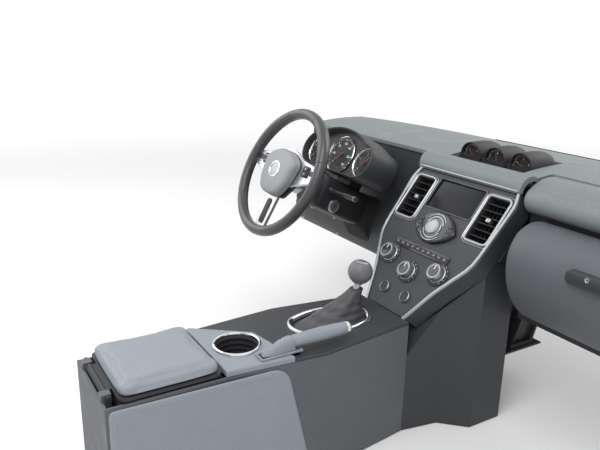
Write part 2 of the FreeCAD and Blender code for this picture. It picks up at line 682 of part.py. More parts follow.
def make_heater_unit():
    """Heater and air conditioner case between the legs."""
    case = block("HeaterCase", f"2 * {HEATER_HALF}", "heater_front_y - heater_back_y",
                 "heater_top_z - heater_low_z", (f"-{HEATER_HALF}", "heater_back_y", "heater_low_z"))
    finished(case, "heater_unit")


def make_blower():
    """Round blower case and the passage that joins it to the heater."""
    case = rod("BlowerCase", "blower_r", "blower_tall", ("blower_x", "blower_y", "blower_z"))
    passage = block("BlowerPassage", f"blower_x - {HEATER_HALF}", "passage_long",
                    "blower_tall - 2 * passage_in", (HEATER_HALF, "blower_y - passage_back", "blower_z + passage_in"))
    finished(fuse("Blower", [case, passage]), "blower_housing")


def make_ducts():
    """Riser to the windscreen grille, and a duct to each side vent."""
    riser = block("RiserOuter", "2 * riser_half", "riser_deep", "dash_front_z - riser_gap - heater_top_z",
                  ("-riser_half", "riser_y", "heater_top_z"))
    hollow = block("RiserInner", "2 * (riser_half - duct_wall)", "riser_deep - 2 * duct_wall", "dash_front_z",
                   ("duct_wall - riser_half", "riser_y + duct_wall", "heater_top_z"))
    finished(cut("CentreDuct", riser, [hollow]), "centre_duct")
    ducts = []
    for side, sign in SIDES:
        outer, inner = [], []
        for shell, wall in ((outer, "0"), (inner, "duct_wall")):
            start = "riser_half" if sign == "" else f"-{VENT_X} - duct_wide / 2"
            run = block(f"Run{side}{len(inner)}{wall[:4]}", f"{VENT_X} + duct_wide / 2 - riser_half - {wall}",
                        f"duct_wide - 2 * {wall}", f"duct_tall - 2 * {wall}",
                        (start if sign == "" else f"{start} + {wall}",
                         f"duct_y - duct_wide / 2 + {wall}", f"duct_z - duct_tall / 2 + {wall}"))
            elbow = block(f"Elbow{side}{wall[:4]}", f"duct_wide - 2 * {wall}", "duct_y - face_y - elbow_gap",
                          f"duct_tall - 2 * {wall}",
                          (f"{sign} {VENT_X} - duct_wide / 2 + {wall}", f"face_y + elbow_gap - {wall} / 2",
                           f"duct_z - duct_tall / 2 + {wall}"))
            shell += [run, elbow]
        ducts.append(cut("Duct" + side, fuse("DuctOuter" + side, outer), inner))
    finished(fuse("SideDucts", ducts), "side_ducts")


# Dashboard skins

def make_dash_top():
    """Crowned top skin, curved in plan to the windscreen, open for the gauge pods and the grille."""
    body = new_body("DashTop")
    lip = "stack_z + 0.8"
    band = [("stack_hood_y", lip), ("via", "stack_hood_y + 4", "dash_rear_z - 10"),
            ("driver_edge_y", "dash_rear_z - 1"),
            ("via", "dash_crown_y", "dash_crown_z"), ("dash_front_y", "dash_front_z"),
            ("dash_front_y", "dash_front_z - pad_thick"),
            ("via", "dash_crown_y", "dash_crown_z - pad_thick"),
            ("driver_edge_y", "dash_rear_z - 1 - pad_thick"),
            ("via", "stack_hood_y + 13", "dash_rear_z - 18"), ("stack_hood_y + 8", lip)]
    solid(body, "Pad", draw(body, "YZ_Plane", [band]), "2 * dash_half", both=True)
    frame = rectangle("-dash_half - 10", "stack_hood_y - 10", "dash_half + 10", "dash_front_y + 10")
    plan = [("dash_half", "dash_corner_y"), ("via", "0", "dash_front_y"), ("-dash_half", "dash_corner_y"),
            ("-dash_half", "driver_edge_y"), (f"-stack_wide - {HOOD_LAP}", "driver_edge_y"),
            (f"-stack_wide + {HOOD_LAP}", "stack_hood_y - 4"),
            (f"stack_wide - {HOOD_IN}", "stack_hood_y - 4"),
            (f"roll_start - {SMALL}", "dash_rear"), ("dash_half", "dash_rear")]
    solid(body, "Pocket", draw(body, "XY_Plane", [frame, plan]), "2 * dash_crown_z", back=True)
    well = rectangle(f"-pod_pitch - pod_r - {POD_LAP} - panel_gap", "pod_y - trough_long - panel_gap",
                     f"pod_pitch + pod_r + {POD_LAP} + panel_gap", "pod_y + pod_long + panel_gap")
    slot = rectangle("-grille_half - panel_gap", "grille_y - panel_gap",
                     "grille_half + panel_gap", "grille_y + grille_wide + panel_gap")
    solid(body, "Pocket", draw(body, "XY_Plane", [well, slot]), "2 * dash_crown_z", back=True)
    finished(body, "dash_top")


def make_grille():
    """Windscreen air grille, a frame with slats."""
    body = new_body("Grille")
    low = "dash_front_z + 4"
    outer = rectangle("-grille_half", "grille_y", "grille_half", "grille_y + grille_wide")
    slats = []
    pitch = f"(2 * grille_half - 2 * {GRILLE_EDGE}) / {GRILLE_SLOTS}"
    for order in range(GRILLE_SLOTS):
        start = f"-grille_half + {GRILLE_EDGE} + {order} * {pitch}"
        slats.append(rectangle(f"{start} + {GRILLE_RIB}", f"grille_y + {GRILLE_EDGE}",
                               f"{start} + {pitch} - {GRILLE_RIB}",
                               f"grille_y + grille_wide - {GRILLE_EDGE}"))
    solid(body, "Pad", draw(body, "XY_Plane", [outer] + slats, low), GRILLE_THICK)
    finished(body, "windscreen_grille")


def make_gauge_pods():
    """Three round pods on a shared base with a trough in front of them, and the dials in them."""
    base = new_body("PodBase")
    low, floor = "pod_z - pod_r - pod_wall", "pod_z - pod_r + 1"
    trough = [("pod_y - trough_long", low), ("pod_y + pod_long", low), ("pod_y + pod_long", "pod_z"),
              ("pod_y + pod_wall", "pod_z"), ("pod_y + pod_wall", floor),
              ("pod_y - trough_long + pod_wall", floor),
              ("pod_y - trough_long + pod_wall", "pod_z - trough_drop"),
              ("pod_y - trough_long", "pod_z - trough_drop")]
    solid(base, "Pad", draw(base, "YZ_Plane", [trough]), f"2 * (pod_pitch + pod_r + {POD_LAP})", both=True)
    pods, hollows, dials = [base], [], []
    for order in (-1, 0, 1):
        centre = f"{order} * pod_pitch"
        pods.append(rod(f"Pod{order + 1}", "pod_r", "pod_long", (centre, "pod_y + pod_long", "pod_z"),
                        turn="90"))
        hollows.append(rod(f"PodHollow{order + 1}", "pod_r - pod_wall", "pod_long - 2 * pod_wall",
                           (centre, "pod_y + pod_long - 2 * pod_wall", "pod_z"), turn="90"))
        disc = rod(f"Dial{order + 1}", "pod_r - pod_wall - dial_fit", "pod_dial_sink",
                   (centre, "pod_y + 2 * pod_dial_sink", "pod_z"), turn="90")
        dials.append(disc)
    finished(cut("GaugePods", fuse("PodShells", pods), hollows), "gauge_pods")
    finished(fuse("PodDials", dials), "pod_dials")


def make_passenger_roll():
    """Padded roll along the passenger's side, closed at its ends."""
    body = new_body("Roll")
    edge = "dash_rear - panel_gap"
    outline = [(edge, "dash_rear_z"), ("via", "roll_brow_y", "roll_top_z"), ("roll_bend_y", "roll_bend_z"),
               ("via", "roll_back", "roll_back_z"), ("roll_foot_y", "roll_low_z"), (edge, "roll_low_z")]
    low = "roll_low_z + pad_thick"
    inside = [(edge, "dash_rear_z - pad_thick"),
              ("via", "roll_brow_y + pad_thick / 3", "roll_top_z - pad_thick"),
              ("roll_bend_y + pad_thick", "roll_bend_z - pad_thick * 2 / 3"),
              ("via", "roll_back + pad_thick", "roll_back_z"),
              ("roll_foot_y + pad_thick", low), ("-roll_lip", low),
              ("-roll_lip", "roll_low_z + 2 * roll_lip"), (edge, "roll_low_z + 2 * roll_lip")]
    sketch = draw(body, "YZ_Plane", [outline], "roll_start")
    solid(body, "Pad", sketch, "dash_half - roll_start")
    round_ends(body, "roll_start", "dash_half", "roll_back - 1", "roll_end_r")
    hollow = draw(body, "YZ_Plane", [inside], "roll_start + pad_thick")
    solid(body, "Pocket", hollow, "dash_half - roll_start - 2 * pad_thick", back=True)
    finished(body, "passenger_roll")


def make_driver_panel():
    """Driver's panel with its knee bolster, open for the column and the side vent."""
    body = new_body("DriverPanel")
    outer, inner = "-dash_half + end_wall + panel_gap", f"-stack_wide - {HOOD_LAP}"

    def face(inset):
        """Give the panel's section from top to bottom, moved forward by an inset."""
        return [(f"driver_edge_y + 4 + {inset}", "panel_top_z"), (f"panel_mid_y + {inset}", "panel_mid_z"),
                ("via", f"(panel_mid_y + knee_top_y) / 2 - 4 + {inset}",
                 "(panel_mid_z + knee_bend_z) / 2 - 6"),
                (f"knee_top_y + {inset}", "knee_bend_z"),
                ("via", f"(knee_top_y + knee_low_y) / 2 - 12 + {inset}", "(knee_bend_z + knee_low_z) / 2"),
                (f"knee_low_y + {inset}", "knee_low_z")]

    skin = face("0") + face("panel_wall + 1")[::-1]
    solid(body, "Pad", draw(body, "YZ_Plane", [skin], outer), f"{inner} - ({outer})")
    hatch = rectangle(f"{WHEEL_X} - column_open", "open_low_z", f"{WHEEL_X} + column_open", "open_top_z")
    vent = ("circle", f"-{VENT_X}", "side_vent_z", "side_vent_r + panel_gap")
    for opening in (hatch, vent):
        solid(body, "Pocket", draw(body, "XZ_Plane", [opening]), THROUGH, both=True)
    finished(body, "driver_panel")


def make_dash_ends():
    """Walls that close the dashboard's ends round the beam's end plates."""
    walls = []
    for side, sign in SIDES:
        body = new_body("EndWall" + side)
        top = "dash_rear_z - 1 - pad_thick - 1.2"
        rear = "panel_y + end_inset"
        outline = [(rear, "end_low_z"), ("end_front_y", "end_low_z"), ("end_front_y", top)]
        if sign == "":
            under = "roll_low_z - seat_gap"
            outline += [("dash_rear", top), ("dash_rear", under), (rear, under)]
        else:
            outline.append((rear, top))
        window = rectangle("beam_y - end_plate_long / 2 - end_gap", "beam_z - end_plate_tall / 2 - end_gap",
                           "beam_y + end_plate_long / 2 + end_gap", "beam_z + end_plate_tall / 2 + end_gap")
        solid(body, "Pad", draw(body, "YZ_Plane", [outline]), "end_wall")
        cutter = draw(body, "YZ_Plane", [window])
        solid(body, "Pocket", cutter, "4 * end_wall", both=True)
        place(body, "dash_half - end_wall" if sign == "" else "-dash_half")
        walls.append(body)
    finished(fuse("DashEnds", walls), "dash_ends")


def make_passenger_panel():
    """Inner panel behind the glovebox lid, with the ears and pins that the lid turns on."""
    body = new_body("PassengerPanel")
    outline = rectangle("roll_start", "knee_low_z",
                        "dash_half - end_wall - panel_gap", "roll_low_z - seat_gap")
    mouth = rectangle("lid_in + bin_inset", "bin_low_z", f"{LID_OUT} - bin_inset", "bin_top_z")
    vent = ("circle", VENT_X, "side_vent_z", "side_vent_r + panel_gap")
    solid(body, "Pad", draw(body, "XZ_Plane", [outline, mouth, vent], "-panel_y - panel_wall"), "panel_wall")
    pieces = [body]
    for side, start in (("In", "lid_in - lid_clear - ear_wide"), ("Out", f"{LID_OUT} + lid_clear")):
        ear = new_body("Ear" + side)
        profile = [("panel_y", "lid_low_z - 4"), ("panel_y", "lid_low_z + 3 * ear_r"),
                   ("hinge_y", "hinge_z + ear_r"),
                   ("via", "hinge_y - ear_r", "hinge_z"), ("hinge_y", "hinge_z - ear_r")]
        solid(ear, "Pad", draw(ear, "YZ_Plane", [profile], start), "ear_wide")
        pieces.append(ear)
        begin = "lid_in - lid_clear" if side == "In" else f"{LID_OUT} - lid_thick"
        pieces.append(rod("LidPin" + side, "hinge_r", "lid_thick + lid_clear",
                          (begin, "hinge_y", "hinge_z"), **ALONG_X))
    finished(fuse("PassengerPanelPieces", pieces), "passenger_panel")


def make_glovebox():
    """Glovebox behind the panel, open to the cabin, and the bulged lid hinged at its lower edge."""
    size = (f"{LID_OUT} - lid_in - 2 * bin_inset", "bin_front - panel_y", "bin_top_z - bin_low_z")
    outer = block("BinOuter", f"{size[0]} + 2 * bin_wall", size[1], f"{size[2]} + 2 * bin_wall",
                  ("lid_in + bin_inset - bin_wall", "panel_y + panel_wall", "bin_low_z - bin_wall"))
    inner = block("BinInner", size[0], f"{size[1]} - bin_wall", size[2],
                  ("lid_in + bin_inset", "panel_y + panel_wall", "bin_low_z"))
    finished(cut("GloveboxBin", outer, [inner]), "glovebox_bin")
    lid = new_body("Lid")
    back = "panel_y - lid_shut"
    shell = [(back, "lid_top_z"), ("lid_top_y", "lid_top_z"), ("via", "lid_brow_y", "lid_brow_z"),
             ("lid_back", "lid_back_z"), ("via", "lid_chin_y", "lid_chin_z"), ("lid_low_y", "lid_low_z"),
             (back, "lid_low_z")]
    inside = [(back, "lid_top_z - lid_thick"), ("lid_top_y", "lid_top_z - lid_thick"),
              ("via", "lid_brow_y + lid_thick", "lid_brow_z - lid_thick"),
              ("lid_back + lid_thick", "lid_back_z"),
              ("via", "lid_chin_y + lid_thick", "lid_chin_z + lid_thick / 2"),
              ("lid_low_y + lid_thick / 2", "lid_low_z + lid_thick"), (back, "lid_low_z + lid_thick")]
    solid(lid, "Pad", draw(lid, "YZ_Plane", [shell], "lid_in"), f"{LID_OUT} - lid_in")
    round_ends(lid, "lid_in", LID_OUT, "lid_back", "lid_edge_r")
    hollow = draw(lid, "YZ_Plane", [inside], "lid_in + lid_thick")
    solid(lid, "Pocket", hollow, f"{LID_OUT} - lid_in - 2 * lid_thick", back=True)
    bore = draw(lid, "YZ_Plane", [("circle", "hinge_y", "hinge_z", "hinge_r + hinge_fit")], "lid_in")
    solid(lid, "Pocket", bore, f"{LID_OUT} - lid_in", back=True)
    finished(lid, "glovebox_lid")
    pull = block("LidPull", "pull_long", "pull_deep", "pull_tall",
                 (f"(lid_in + {LID_OUT} - pull_long) / 2", f"lid_back - pull_deep - 2 * {SMALL}",
                  "lid_back_z - pull_tall / 4"))
    finished(pull, "glovebox_handle")


def make_side_vents():
    """Round vent at each end of the dashboard."""
    vents = []
    for side, sign in SIDES:
        across = f"{sign} {VENT_X}"
        centre = (across, "face_y + side_vent_in", "side_vent_z")
        mouth = (across, "face_y + side_vent_in - 6", "side_vent_z")
        outer = rod("SideVent" + side, "side_vent_r", "vent_long", centre, turn="90")
        inner = rod("SideVentIn" + side, "side_vent_r - vent_wall", "vent_long - 10", mouth, turn="90")
        core = rod("SideVentCore" + side, "side_vent_r / 2", "vent_long / 2", centre, turn="90")
        bar = block("SideVentBar" + side, "2 * side_vent_r - vent_wall", "bar_deep", "vent_wall",
                    (f"{across} - side_vent_r + vent_wall / 2", "face_y - bar_deep - 8",
                     "side_vent_z - vent_wall / 2"))
        shell = cut("SideVentShell" + side, outer, [inner])
        vents.append(fuse("SideVentWhole" + side, [shell, core, bar]))
    finished(fuse("SideVents", vents), "side_vents")


# Centre stack: its pieces are drawn flat, with +Y up the slope and +Z out of the face

def stack_outline(inset):
    """Give the stack's outline, drawn in by an inset."""
    rows = (("stack_top", f"-({inset})"), ("stack_wide", "-stack_wide_at"),
            ("stack_waist", "-stack_waist_at"), ("stack_knee", "-stack_knee_at"),
            ("stack_foot", f"-stack_long + {inset}"))
    right = [(f"{half} - {inset}", at) for half, at in rows]
    left = [(f"-({half} - {inset})", at) for half, at in reversed(rows)]
    return right + left


def make_stack():
    """Shield-shaped tray with openings for the screen and the vents."""
    body = new_body("Stack")
    solid(body, "Pad", draw(body, "XY_Plane", [stack_outline("0")]), "stack_deep", back=True)
    solid(body, "Pocket", draw(body, "XY_Plane", [stack_outline("stack_wall")], "-stack_deep"),
          "stack_deep - stack_wall", back=True)
    screen = rectangle("-screen_half", "-screen_end", "screen_half", "-screen_top")
    vents = [rectangle(f"{sign} vent_in", "-vent_end", f"{sign} vent_out", "-vent_top") for sign in ("", "-")]
    openings = draw(body, "XY_Plane", [screen] + vents)
    solid(body, "Pocket", openings, "stack_deep")
    place(body, **STACK)
    finished(body, "stack_face")


def on_face(item):
    """Turn and move a piece from the drawing plane onto the stack's face."""
    return place(item, **STACK)


def make_screen():
    """Screen set below the stack's face."""
    body = new_body("Screen")
    glass = rectangle("-screen_half + panel_gap", "-screen_end + panel_gap", "screen_half - panel_gap",
                      "-screen_top - panel_gap")
    solid(body, "Pad", draw(body, "XY_Plane", [glass], "-screen_sink"), "screen_deep", back=True)
    finished(on_face(body), "screen")


def make_centre_vents():
    """Vent housings beside the screen, and their slats."""
    housings, slats = [], []
    for side, sign in SIDES:
        body = new_body("VentBox" + side)
        near = f"{sign} (vent_in + panel_gap)"
        far = f"{sign} (vent_out - panel_gap)"
        outer = rectangle(near, "-vent_end + panel_gap", far, "-vent_top - panel_gap")
        inner = rectangle(f"{sign} (vent_in + panel_gap + vent_wall)", "-vent_end + panel_gap + vent_wall",
                          f"{sign} (vent_out - panel_gap - vent_wall)", "-vent_top - panel_gap - vent_wall")
        solid(body, "Pad", draw(body, "XY_Plane", [outer]), "vent_deep", back=True)
        solid(body, "Pocket", draw(body, "XY_Plane", [inner]), "vent_deep - vent_wall")
        housings.append(body)
        slat = new_body("Slats" + side)
        rows = []
        for order in range(1, SLAT_SPACES):
            at = f"(-vent_top - {order} * (vent_end - vent_top) / {SLAT_SPACES})"
            rows.append(rectangle(f"{sign} (vent_in + 2 * panel_gap + vent_wall)", f"{at} - vane_thick / 2",
                                  f"{sign} (vent_out - 2 * panel_gap - vent_wall)", f"{at} + vane_thick / 2"))
        solid(slat, "Pad", draw(slat, "XY_Plane", rows, "-" + SLAT_SINK), "vane_deep", back=True)
        slats.append(slat)
    finished(on_face(fuse("VentBoxes", housings)), "centre_vents")
    finished(on_face(fuse("VentSlats", slats)), "centre_vent_slats")


def make_audio():
    """Round control cluster and the band of buttons below it."""
    body = new_body("Audio")
    outline = [("-audio_r", "-audio_at"), ("via", "0", "-audio_at + audio_up"), ("audio_r", "-audio_at"),
               ("via", "0", "-audio_at - audio_down")]
    solid(body, "Pad", draw(body, "XY_Plane", [outline]), "audio_high")
    top = draw(body, "XY_Plane", [("circle", "0", "-audio_at", "audio_knob_r")], "audio_high")
    solid(body, "Pad", top, "audio_knob_high - audio_high")
    finished(on_face(body), "audio_control")
    band = new_body("Radio")
    bar = rectangle("-radio_half", "-radio_at - radio_half_tall", "radio_half", "-radio_at + radio_half_tall")
    solid(band, "Pad", draw(band, "XY_Plane", [bar]), "radio_high")
    finished(on_face(band), "radio_band")


def make_knobs():
    """Three climate knobs and the two sockets below them."""
    body = new_body("Knobs")
    rows = (("knob_x", "knob_at"), ("-knob_x", "knob_at"), ("0", "knob_low_at"))
    rings = [("circle", x, f"-{at}", "knob_r") for x, at in rows]
    solid(body, "Pad", draw(body, "XY_Plane", rings), "knob_high")
    finished(on_face(body), "climate_knobs")
    sockets = new_body("Sockets")
    rings = [("circle", f"{sign} socket_x", "-socket_at", "socket_r") for sign in ("", "-")]
    solid(sockets, "Pad", draw(sockets, "XY_Plane", rings), SOCKET_HIGH)
    finished(on_face(sockets), "stack_sockets")


def make_trims():
    """Silver strips down both edges of the stack."""
    body = new_body("Trims")
    rows = (("stack_top", "-" + STRIP_END), ("stack_wide", "-stack_wide_at"),
            ("stack_waist", "-stack_waist_at"), ("stack_knee", "-stack_knee_at"),
            ("stack_foot", "-stack_long + " + STRIP_END))
    loops = []
    for sign in ("", "-"):
        outer = [(f"{sign} ({half} - {STRIP_IN})", at) for half, at in rows]
        inner = [(f"{sign} ({half} - {STRIP_IN} - trim_wide)", at) for half, at in reversed(rows)]
        loops.append(outer + inner)
    solid(body, "Pad", draw(body, "XY_Plane", loops), "trim_high")
    finished(on_face(body), "stack_trims")


def make_stack_sides():
    """Side walls under the stack with a shelf between them, and the brackets that hold the stack."""
    walls, brackets = [], []
    deep = "stack_deep + seat_gap"
    above = [on_stack("-stack_over", deep), on_stack("stack_long + stack_over", deep),
             ("-" + THROUGH, "dash_crown_z + stack_over"), ("0", "dash_crown_z + stack_over")]
    waist, knee = on_stack("stack_waist_at", deep)[0], on_stack("stack_knee_at", deep)[0]
    rows = (("console_nose_half", "console_nose_y + seat_gap"), ("stack_knee - 1", knee),
            ("stack_waist - 1", waist), ("stack_waist - 1", "stack_side_y"))
    for side, sign in SIDES:
        body = new_body("StackSide" + side)
        outer = [(f"{sign} ({half})", y) for half, y in rows]
        inner = [(f"{sign} ({half} - stack_wall)", y) for half, y in reversed(rows)]
        wall = draw(body, "XY_Plane", [outer + inner], "console_low_z")
        solid(body, "Pad", wall, "dash_crown_z - console_low_z")
        solid(body, "Pocket", draw(body, "YZ_Plane", [above]), THROUGH, both=True)
        walls.append(body)
        arm = new_body("StackArm" + side)
        outline = rectangle("arm_end_y", "beam_z - beam_r", "beam_y", "beam_z + beam_r")
        solid(arm, "Pad", draw(arm, "YZ_Plane", [outline]), "2 * sheet_wall", both=True)
        solid(arm, "Pocket", draw(arm, "YZ_Plane", [above]), THROUGH, both=True)
        place(arm, f"{sign} (stack_waist + stack_wall - 1)")
        brackets.append(arm)
    shelf = new_body("StackShelf")
    end = f"((stack_y - console_nose_y - stack_wall + sin(stack_lean) * ({deep})) / cos(stack_lean))"
    high, low = "(stack_knee - 1 - stack_wall / 2)", "(console_nose_half - stack_wall / 2)"
    outline = [("-" + high, "-stack_knee_at"), (high, "-stack_knee_at"),
               (low, "-" + end), ("-" + low, "-" + end)]
    solid(shelf, "Pad", draw(shelf, "XY_Plane", [outline], f"-({deep})"), "stack_wall", back=True)
    finished(fuse("StackSides", walls + [on_face(shelf)]), "stack_sides")
    finished(cut("StackCarrier", fuse("StackArms", brackets), [beam_seat("ArmSeat")]), "stack_carrier")


# Centre console

def console_plan(inset):
    """Give the console's plan outline, drawn in by an inset."""
    rows = (("console_nose_half", f"console_nose_y - ({inset})"), ("console_wing", "console_wing_y"),
            ("console_half", "console_back_y"), ("console_half - 4", f"console_tail_y + {inset}"))
    right = [(f"{half} - {inset}", at) for half, at in rows]
    left = [(f"-({half} - {inset})", at) for half, at in reversed(rows)]
    return right + left


def oval(x, y, half_wide, half_long):
    """Give an oval of four arcs about x, y."""
    wide, long = f"({half_wide}) * {OVAL_ACROSS}", f"({half_long}) * {OVAL_ALONG}"
    return [(f"{x} + {wide}", f"{y} - {long}"), ("via", f"{x} + {half_wide}", y),
            (f"{x} + {wide}", f"{y} + {long}"),
            ("via", x, f"{y} + {half_long}"), (f"{x} - ({wide})", f"{y} + {long}"),
            ("via", f"{x} - ({half_wide})", y), (f"{x} - ({wide})", f"{y} - {long}"),
            ("via", x, f"{y} - ({half_long})")]


def make_console():
    """Console walls over the tunnel and the plate on top of them."""
    body = new_body("Console")
    outer = draw(body, "XY_Plane", [console_plan("0")], "console_low_z")
    solid(body, "Pad", outer, "console_top_z - console_low_z")
    solid(body, "Pocket", draw(body, "XY_Plane", [console_plan("console_wall")], "console_low_z"),
          "console_top_z - console_low_z", back=True)
    pieces = [body]
    for side, sign in SIDES:
        pieces.append(block("RestEar" + side, "rest_ear_wide",
                            "rest_hinge_y + rest_ear_r - console_tail_y - 1", "rest_ear_tall",
                            (f"{sign} rest_ear_x - rest_ear_wide / 2", "console_tail_y + 1",
                             "rest_hinge_z + rest_ear_r - rest_ear_tall")))
    holes = rod("RestEarHole", "hinge_r + hinge_fit", "2 * console_half",
                ("-console_half", "rest_hinge_y", "rest_hinge_z"), **ALONG_X)
    finished(cut("ConsoleBody", fuse("ConsolePieces", pieces), [holes]), "console_body")
    make_console_plates()


def make_console_plates():
    """Dark plate round the shift opening and the padded cap round the cup holder."""
    along = "(cap_edge_y - console_back_y) / (console_wing_y - console_back_y)"
    edge_x = f"(console_half + (console_wing - console_half) * {along})"

    def split(gap):
        """Give the line between plate and cap, from the passenger's side, moved back by a gap."""
        return [(edge_x, f"cap_edge_y - {gap}"), ("-cap_bend", f"cap_front_y - {gap}"),
                ("-cap_in", f"cap_in_y - {gap}"), ("-console_half", f"cap_y - {gap}")]

    opening = oval("0", "ring_y", "ring_half_wide - ring_band", "ring_half_long - ring_band")
    slot = rectangle("brake_x - brake_slot", "brake_pivot_y - slot_back",
                     "brake_x + brake_slot", "brake_pivot_y + slot_front")
    plate = new_body("Plate")
    outline = [("-console_wing", "console_wing_y"), ("-console_nose_half", "console_nose_y"),
               ("console_nose_half", "console_nose_y"), ("console_wing", "console_wing_y")] + split("0")
    solid(plate, "Pad", draw(plate, "XY_Plane", [outline, opening], "console_top_z"), "plate_thick")
    solid(plate, "Pocket", draw(plate, "XY_Plane", [slot]), THROUGH, back=True)
    finished(plate, "console_plate")
    cap = new_body("Cap")
    end = "rest_front + rest_gap"
    edge = [("-console_half", end), ("console_half", end), ("console_half", "console_back_y")]
    edge += split("panel_gap")
    cup = ("circle", "cup_x", "cup_y", "cup_r + cup_wall + panel_gap")
    solid(cap, "Pad", draw(cap, "XY_Plane", [edge, cup], "console_top_z"), "cap_thick")
    solid(cap, "Pocket", draw(cap, "XY_Plane", [slot]), THROUGH, back=True)
    finished(cap, "console_cap")
    keys = block("ConsoleKeys", "key_wide", "key_long", "key_high",
                 ("key_x", "key_y", "console_top_z + plate_thick"))
    finished(keys, "console_switch")
    collar = new_body("Collar")
    ring = rectangle("brake_x - brake_slot - collar_band", "brake_pivot_y - slot_back - collar_band",
                     "brake_x + brake_slot + collar_band", "brake_pivot_y + slot_front + collar_band")
    solid(collar, "Pad", draw(collar, "XY_Plane", [ring], "console_top_z + cap_thick"), "collar_high")
    solid(collar, "Pocket", draw(collar, "XY_Plane", [slot]), THROUGH, back=True)
    finished(collar, "handbrake_collar")


PLATE_TOP = "(console_top_z + plate_thick)"
CAP_TOP = "(console_top_z + cap_thick)"


def make_shift():
    """Oval ring round the shift opening, the gaiter, and the lever with its knob."""
    ring = new_body("ShiftRing")
    loops = [oval("0", "ring_y", "ring_half_wide", "ring_half_long"),
             oval("0", "ring_y", "ring_half_wide - ring_band", "ring_half_long - ring_band")]
    solid(ring, "Pad", draw(ring, "XY_Plane", loops, PLATE_TOP), "ring_high")
    finished(ring, "shift_ring")
    lean = "atan2(knob_y - lever_y; knob_z - lever_z)"
    lever = rod("LeverRod", "lever_r", "knob_z - lever_z - ball_r / 2", ("0", "lever_y", "lever_z"),
                turn=f"-({lean})")
    ball = doc.addObject("Part::Sphere", "LeverBall")
    bind(ball, "Radius", "ball_r")
    place(ball, "0", "knob_y", "knob_z")
    pivot = doc.addObject("Part::Sphere", "LeverPivot")
    bind(pivot, "Radius", "lever_ball_r")
    place(pivot, "0", "lever_y", "lever_z")
    finished(cut("GearLever", fuse("LeverPieces", [lever, pivot]), [ball]), "gear_lever")
    floor = block("LeverFloor", "2 * (socket_x0 + hanger_wall)", "2 * hanger_half", "hanger_wall",
                  ("-socket_x0 - hanger_wall", "lever_y - hanger_half", "lever_base_z"))
    socket = rod("LeverSocket", "lever_socket_r", "lever_z - lever_base_z - 2",
                 ("0", "lever_y", "lever_base_z"))
    hangers = [block("LeverHanger" + side, "hanger_wall", "2 * hanger_half",
                     "console_top_z - seat_gap - lever_base_z",
                     (f"{sign} (socket_x0 + hanger_wall / 2) - hanger_wall / 2", "lever_y - hanger_half",
                      "lever_base_z")) for side, sign in SIDES]
    seat = doc.addObject("Part::Sphere", "LeverSeat")
    bind(seat, "Radius", "lever_ball_r + hinge_fit")
    place(seat, "0", "lever_y", "lever_z")
    finished(cut("LeverBase", fuse("LeverBasePieces", [floor, socket] + hangers), [seat]), "lever_bracket")
    knob = doc.addObject("Part::Sphere", "GearKnobBall")
    bind(knob, "Radius", "ball_r")
    place(knob, "0", "knob_y", "knob_z")
    finished(knob, "gear_knob")


def make_gaiter():
    """Gear lever's gaiter, an oval cone with a hole for the lever."""
    body = new_body("Gaiter")
    skirt = oval("0", "ring_y", "ring_half_wide - ring_band - panel_gap",
                 "ring_half_long - ring_band - panel_gap")
    low = draw(body, "XY_Plane", [skirt], "console_top_z")
    neck_y = "(lever_y + (knob_y - lever_y) * (gaiter_top_z - lever_z) / (knob_z - lever_z))"
    high = draw(body, "XY_Plane", [oval("0", neck_y, "gaiter_top_r", "gaiter_top_r")], "gaiter_top_z")
    loft = body.newObject("PartDesign::AdditiveLoft", "GaiterLoft")
    loft.Profile = low
    loft.Sections = [high]
    loft.Ruled = True
    doc.recompute()
    lean = "atan2(knob_y - lever_y; knob_z - lever_z)"
    lever = rod("GaiterBore", "lever_r + seat_gap", "2 * gaiter_top_z", ("0", "lever_y", "lever_z"),
                turn=f"-({lean})")
    finished(cut("GaiterCut", body, [lever]), "shift_gaiter")


def make_cup_holder():
    """Cup holder hung in the plate by its ring."""
    outer = rod("CupOuter", "cup_r + cup_wall", "cup_deep", ("cup_x", "cup_y", f"{CAP_TOP} - cup_deep"))
    flange = rod("CupFlange", "cup_r + cup_ring", "cup_ring_high", ("cup_x", "cup_y", CAP_TOP))
    inner = rod("CupInner", "cup_r", "cup_deep + cup_ring_high",
                ("cup_x", "cup_y", f"{CAP_TOP} - cup_deep + cup_wall"))
    finished(cut("Cup", fuse("CupPieces", [outer, flange]), [inner]), "cup_holder")


def make_console_bin():
    """Bin under the armrest, between the console's walls."""
    wide = "2 * (console_half - 4 - console_wall - panel_gap)"
    length = "rest_front - rest_hinge_y - bin_tail"
    outer = block("BoxOuter", wide, length, "bin_deep",
                  (f"-({wide}) / 2", "rest_hinge_y + bin_tail", "console_top_z - bin_deep"))
    inner = block("BoxInner", f"{wide} - 2 * bin_wall", f"{length} - 2 * bin_wall", "bin_deep",
                  (f"-({wide}) / 2 + bin_wall", "rest_hinge_y + bin_tail + bin_wall",
                   "console_top_z - bin_deep + bin_wall"))
    finished(cut("Box", outer, [inner]), "console_bin")


